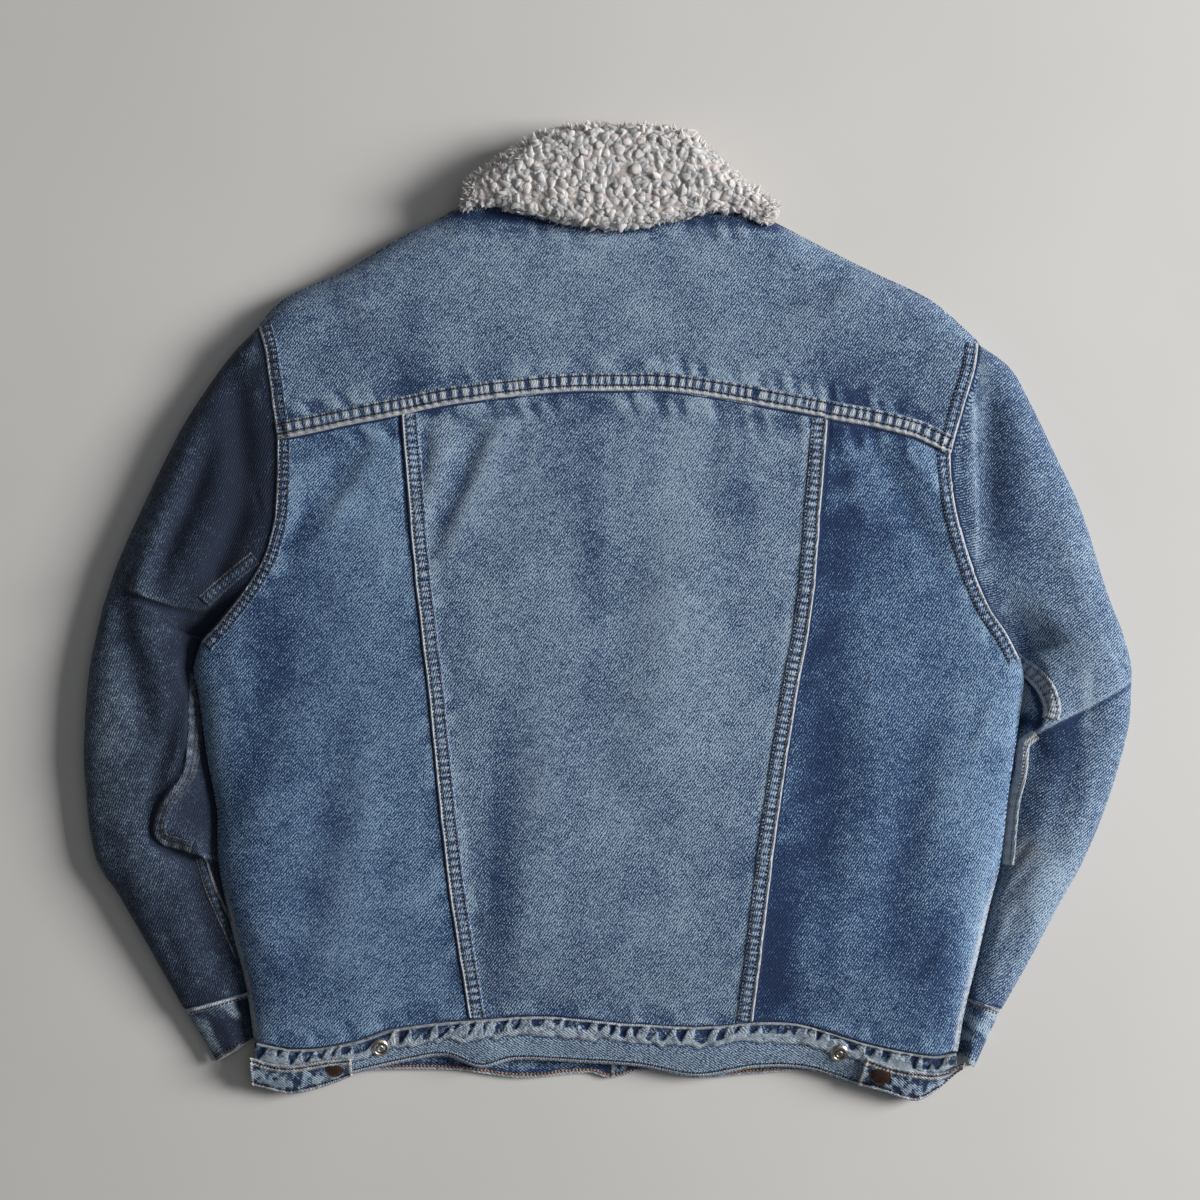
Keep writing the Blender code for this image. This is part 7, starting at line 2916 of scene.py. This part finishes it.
        at = pick(self.curls, area * grow)
        start, up = points.reshape(-1, 3)[at], normal.reshape(-1, 3)[at]
        downwards = random.uniform(0, 1, len(at)) < smooth((46 - at % columns) / 34)
        angle = np.where(downwards, math.pi, 0.0) + random.normal(0, 0.55, len(at))
        angle += 1.3 * Noise(31).at(u.ravel()[at], v.ravel()[at], 30)
        way = tangent(at, angle)
        scale = 0.55 + 0.45 * smooth(near_end[at // columns, 0] / 40)
        size = random.uniform([7.0, 3.8, 1.3], [11.5, 6.0, 1.9], (len(at), 3)) * scale[:, None]
        fleece = Tufts(sides=6, uneven=0.10)
        root = start - way * size[:, :1] * 0.4 - up * 1.5
        fleece.grow(root, way, up, size, 1.2, random)
        flat = np.abs(normal[..., 2])
        rim = area * grow * (smooth((0.45 - flat) / 0.3) + 0.3 * (np.arange(columns) < 8)[None])
        at_rim = pick(self.tips, rim * outer)
        out = unit(normal.reshape(-1, 3)[at_rim] + random.normal(0, 0.22, (len(at_rim), 3)))
        size_rim = random.uniform([5.0, 2.0, 1.3], [9.5, 3.6, 2.0], (len(at_rim), 3))
        size_rim *= np.where(at_rim % columns < self.edge_columns, 0.55, 1.0)[:, None]
        self.lean(fleece, points.reshape(-1, 3)[at_rim] - out * 2.4, out, size_rim, random)
        fleece.make("collar_curls", self.finishes.sherpa)

        wisps = Tufts(rings=4, sides=3, uneven=0.1)
        lean = unit(way * 0.9 + up * 0.55 + random.normal(0, 0.3, way.shape))
        tips = root + way * size[:, :1] * 0.85 + up * 1.5
        sizes = random.uniform([1.6, 0.16, 0.16], [3.6, 0.40, 0.40], (len(at), 3))
        self.lean(wisps, tips + random.normal(0, 0.9, tips.shape), lean, sizes, random)
        beside = (np.arange(columns) < self.edge_columns)[None] + 1.5 * (near_end < 10)
        at = pick(self.wisps, area * grow * (smooth((0.55 - flat) / 0.4) + beside) * outer)
        out = unit(normal.reshape(-1, 3)[at] + random.normal(0, 0.38, (len(at), 3)))
        sizes = random.uniform([2.8, 0.26, 0.26], [7.4, 0.85, 0.85], (len(at), 3))
        sizes[:, 0] *= np.where(at % columns < self.edge_columns, 0.5, 1.0)
        self.lean(wisps, points.reshape(-1, 3)[at] - out * 0.6, out, sizes, random)
        wisps.make("collar_wisps", self.finishes.sherpa)

    @staticmethod
    def lean(wisps: Tufts, starts: Array, way: Array, sizes: Array,
             random: np.random.Generator) -> None:
        """Add wisps that lean a given way, each bent by its own amount."""
        side = unit(np.cross(way, random.normal(size=way.shape)))
        wisps.grow(starts, way, np.cross(side, way), sizes, 0.5, random)

    def under_collar(self, leaves: Array, out: Array, under: Array) -> None:
        """Dark denim that shows under the collar's free edge: its own indigo, and also the painted shade under that
        edge.

        Args:
            leaves: Rows of the collar.
            out: Their outward directions.
            under: Highest point below each row.
        """
        rows = slice(24, -24)
        leaves, out, under = leaves[rows], out[rows], under[rows]
        reach = np.linspace(-3.4, 16, 14)
        plan = leaves[:, None, :2] + out[:, None] * reach[None, :, None]
        plan = np.moveaxis(plan, 0, 1)
        base = self.body.back.heights(plan[..., 0], plan[..., 1], missing=self.missing)
        level = np.maximum(base, under[None] - 6 * smooth((2 - reach) / 5)[:, None])
        top = level + self.gap + self.under
        noise = self.body.noise
        top += 0.2 * noise.at(plan[..., 0], plan[..., 1], 6)
        wear = 0.4 * noise.cloud(plan[..., 0], plan[..., 1], 10)
        cloth = Cloth(plan, top, top - self.under, wear, free=ALL_ROUND, bulge=0.4)
        piece = cloth.make("under_collar_cloth", [self.finishes.dark])
        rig.replaces(piece, "collar_under")
        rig.slot(piece, "denim_dark")
        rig.sheet(piece, held="folded", rests_on=["yoke_back_cloth"], **cloth.cut())


@dataclass
class PilePieces:
    """Sherpa that shows at the openings: the collar's front ends and the hem's lining."""

    body: Body
    finishes: Finishes
    height: float = 11.0
    lining: float = 3.0

    def collar_end(self, side: Side) -> None:
        """Front end of the collar on the surface.

        Args:
            side: Which side.
        """
        sign = side.sign
        neck = np.array(self.body.neck[side], float)
        band = self.body.front_opening + sign * self.body.front_band
        middle = self.body.front_opening + sign * 0.4
        s = np.linspace(0, 1, 64)
        low = flow((tuple(neck), (band, self.body.neck_foot), (middle, self.body.neck_foot)), s)
        high = flow((tuple(neck + [-22 * sign, 20]), tuple(neck + [-62 * sign, -8]), (middle, 276)), s)
        low[:, 1] += 2.0
        t = np.linspace(0, 1, 36)[:, None, None]
        plan = low[None] + (high - low)[None] * t
        rim = np.minimum(np.minimum(t[..., 0], 1 - t[..., 0]) * 40, np.minimum(s, 1 - s)[None] * 90)
        curl, crease = Curls(17 + sign).at(plan[..., 0], plan[..., 1])
        top = self.height - 2.5 + (curl - 0.5) * 2.4 - 4.0 * bell(rim, 3.0)
        self.add("collar_end_" + side.value, plan, top, np.zeros_like(top), crease)

    def hem_lining(self) -> None:
        """Pile lining that shows between the waistbands."""
        x, t = np.meshgrid(np.linspace(-258, 256, 340), np.linspace(0, 1, 14))
        curl, crease = Curls(23, 5.0).at(x, 16 * t)
        hem = np.minimum(across_at(self.body.hem_seam, x, 1), -321.0) - 4.5
        z = 5.2 + 12.5 * t
        front = np.stack([x, hem - self.lining * curl * np.sin(math.pi * t), z], 2)
        back = np.stack([x, hem + self.lining, z], 2)
        quads, columns = cells(*z.shape), z.shape[1]
        faces = quads.tolist() + (quads[:, ::-1] + z.size).tolist()
        ring = [j * columns + i for j, i, _ in rim_of(*z.shape)]
        for a, b in zip(ring, ring[1:] + ring[:1]):
            faces.append([b, a, a + z.size, b + z.size])
        points = np.concatenate([front.reshape(-1, 3), back.reshape(-1, 3)])
        shade = np.concatenate([crease.ravel(), crease.ravel()])
        piece = make_mesh("hem_lining_pile", points, faces, [self.finishes.sherpa],
                          {"crease": shade, "strand": points * MM}, crisp=180)
        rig.slot(piece, "sherpa")

    def add(self, node: str, plan: Array, top: Array, under: Array, crease: Array) -> None:
        """Make a pile slab in the place of its solid.

        Args:
            node: Name of the solid.
            plan: Plan grid.
            top: Heights of its upper face.
            under: Heights of its lower face.
            crease: Painted shade of its curls, from 0 in a crease to 1.
        """
        cloth = Cloth(plan, top, under, crease, free=ALL_ROUND, bulge=1.5)
        piece = cloth.make(node + "_pile", [self.finishes.sherpa])
        mesh = piece.data
        shade = np.zeros(len(mesh.vertices), np.float32)
        places = np.zeros(3 * len(shade), np.float32)
        mesh.attributes["wear"].data.foreach_get("value", shade)
        mesh.vertices.foreach_get("co", places)
        mesh.attributes.new("crease", "FLOAT", "POINT").data.foreach_set("value", shade)
        made = mesh.attributes.new("strand", "FLOAT_VECTOR", "POINT")
        made.data.foreach_set("vector", places)
        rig.replaces(piece, node)
        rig.slot(piece, "sherpa")
        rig.padded(piece, fill=0.5)

    def build(self) -> None:
        """Make every piece."""
        for side in Side:
            self.collar_end(side)
        self.hem_lining()


# ---------------------------------------------------------------- studio
@dataclass
class Studio:
    """Pale floor, soft light from the wearer's right, and the camera straight above."""

    middle: tuple[float, float] = (-0.00583, 0.01196)
    width: float = 0.912
    lens: float = 85.0
    level: float = 0.020
    floor_size: float = 40.0
    window: tuple = ((3.90, 0.69, 2.12), 1.84, 300.0, (1.0, 0.985, 0.96))
    ceiling: tuple = ((0.5, 0.3, 2.3), 1.6, 5.0, (0.95, 0.97, 1.0))
    sky: tuple[float, ...] = (0.86, 0.88, 0.92, 1.0)
    sky_strength: float = 0.10

    def floor(self) -> None:
        """A plain pale floor."""
        made, graph, shader = start_material("pale_floor")
        place = graph.add("TexCoord").outputs["Object"]
        tone = graph.spread(graph.noise(place, 3.0, 4.0), 0.2, 0.8, 0.0, 1.0)
        graph.feed(shader.inputs["Base Color"],
                   graph.blend(tone, (0.60, 0.59, 0.575, 1.0), (0.64, 0.63, 0.615, 1.0)))
        settle(shader, {"Roughness": 0.8})
        half = self.floor_size / 2
        mesh = bpy.data.meshes.new("floor")
        mesh.from_pydata([(-half, -half, 0), (half, -half, 0), (half, half, 0),
                          (-half, half, 0)], [], [(0, 1, 2, 3)])
        mesh.materials.append(made)
        floor = bpy.data.objects.new("floor", mesh)
        bpy.context.scene.collection.objects.link(floor)
        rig.stage(floor)

    def light(self, name: str, place: Triple, size: float,
              power: float, colour: Triple) -> None:
        """A soft square light that looks at the jacket.

        Args:
            name: Name of the light.
            place: Where it stands, in metres.
            size: Length of its side in metres.
            power: Its power in watts.
            colour: Its colour.
        """
        data = bpy.data.lights.new(name, "AREA")
        data.size, data.energy, data.color = size, power, colour
        made = bpy.data.objects.new(name, data)
        made.location = place
        made.rotation_euler = (-Vector(place)).to_track_quat("-Z", "Y").to_euler()
        bpy.context.scene.collection.objects.link(made)

    def camera(self) -> None:
        """The camera, straight above the jacket."""
        data = bpy.data.cameras.new("camera")
        data.lens, data.sensor_width = self.lens, 36.0
        made = bpy.data.objects.new("camera", data)
        far = self.width * self.lens / data.sensor_width
        made.location = (*self.middle, far + self.level)
        bpy.context.scene.collection.objects.link(made)
        bpy.context.scene.camera = made

    def build(self) -> None:
        """Make the floor, lights and camera."""
        self.floor()
        self.light("window", *self.window)
        self.light("ceiling", *self.ceiling)
        world = bpy.data.worlds.new("room")
        world.use_nodes = True
        settle(world.node_tree.nodes["Background"], {"Color": self.sky, "Strength": self.sky_strength})
        bpy.context.scene.world = world
        bpy.context.scene.view_settings.view_transform = "Standard"
        self.camera()


def build_snaps(finishes: Finishes, waist: Waistband) -> None:
    """Snap caps, open studs and the fastened snaps of the front.

    Args:
        finishes: The materials.
        waist: The waistband that they sit on.
    """
    cap = ((0, 2.55), (2.0, 2.5), (3.8, 2.3), (5.4, 1.95), (6.0, 1.6), (6.3, 1.75), (6.7, 1.7),
           (7.1, 1.2), (7.3, 0.6), (7.1, 0.0), (0, 0))
    stud = ((0, 0.3), (1.5, 0.3), (1.7, 1.6), (2.2, 2.0), (2.7, 1.6), (2.9, 0.3), (3.9, 0.3),
            (4.1, 1.5), (4.7, 2.1), (5.5, 2.0), (6.4, 1.3), (7.0, 0.6), (7.0, 0.0), (0, 0))
    for side, size, sink in ((Side.LEFT, 1.0, 2.5), (Side.RIGHT, 1.14, 0.9)):
        Snap("snap_cap_" + side.value, finishes.copper, "copper",
             tuple((size * r, z) for r, z in cap), sink=sink,
             lean=0.30, up=waist.caps_up[side]).build(Ground(waist.tab_pieces[side]))
        Snap("stud_" + side.value, finishes.nickel, "nickel", stud).build(Ground(waist.band_piece))
    for name, node in frame["nodes"].items():
        if name.startswith("front_snap_"):
            node.data.materials.clear()
            node.data.materials.append(finishes.copper)


def main() -> None:
    """Build the jacket and its studio, then write the sizes."""
    logging.basicConfig(level=logging.INFO, format="%(message)s")
    finishes = Finishes()
    body = Body(finishes)
    body.build()
    BackSeams(body).build()
    for side in Side:
        sleeve, cuff = Sleeve(side, body, finishes), Cuff(side, finishes, body.noise)
        sleeve.build()
        cuff.build()
        SleeveSeams(sleeve, cuff.pieces[0]).build()
    waist = Waistband(body, finishes)
    waist.build()
    build_snaps(finishes, waist)
    Collar(body, finishes).build()
    PilePieces(body, finishes).build()
    Studio().build()
    boxes = {"cad": [list(corner) for corner in CAD_BOX],
             "visual": [list(corner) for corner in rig.bounds()]}
    with open(SIZES_FILE, "w") as file:
        json.dump(boxes, file)


if __name__ == "__main__":
    main()
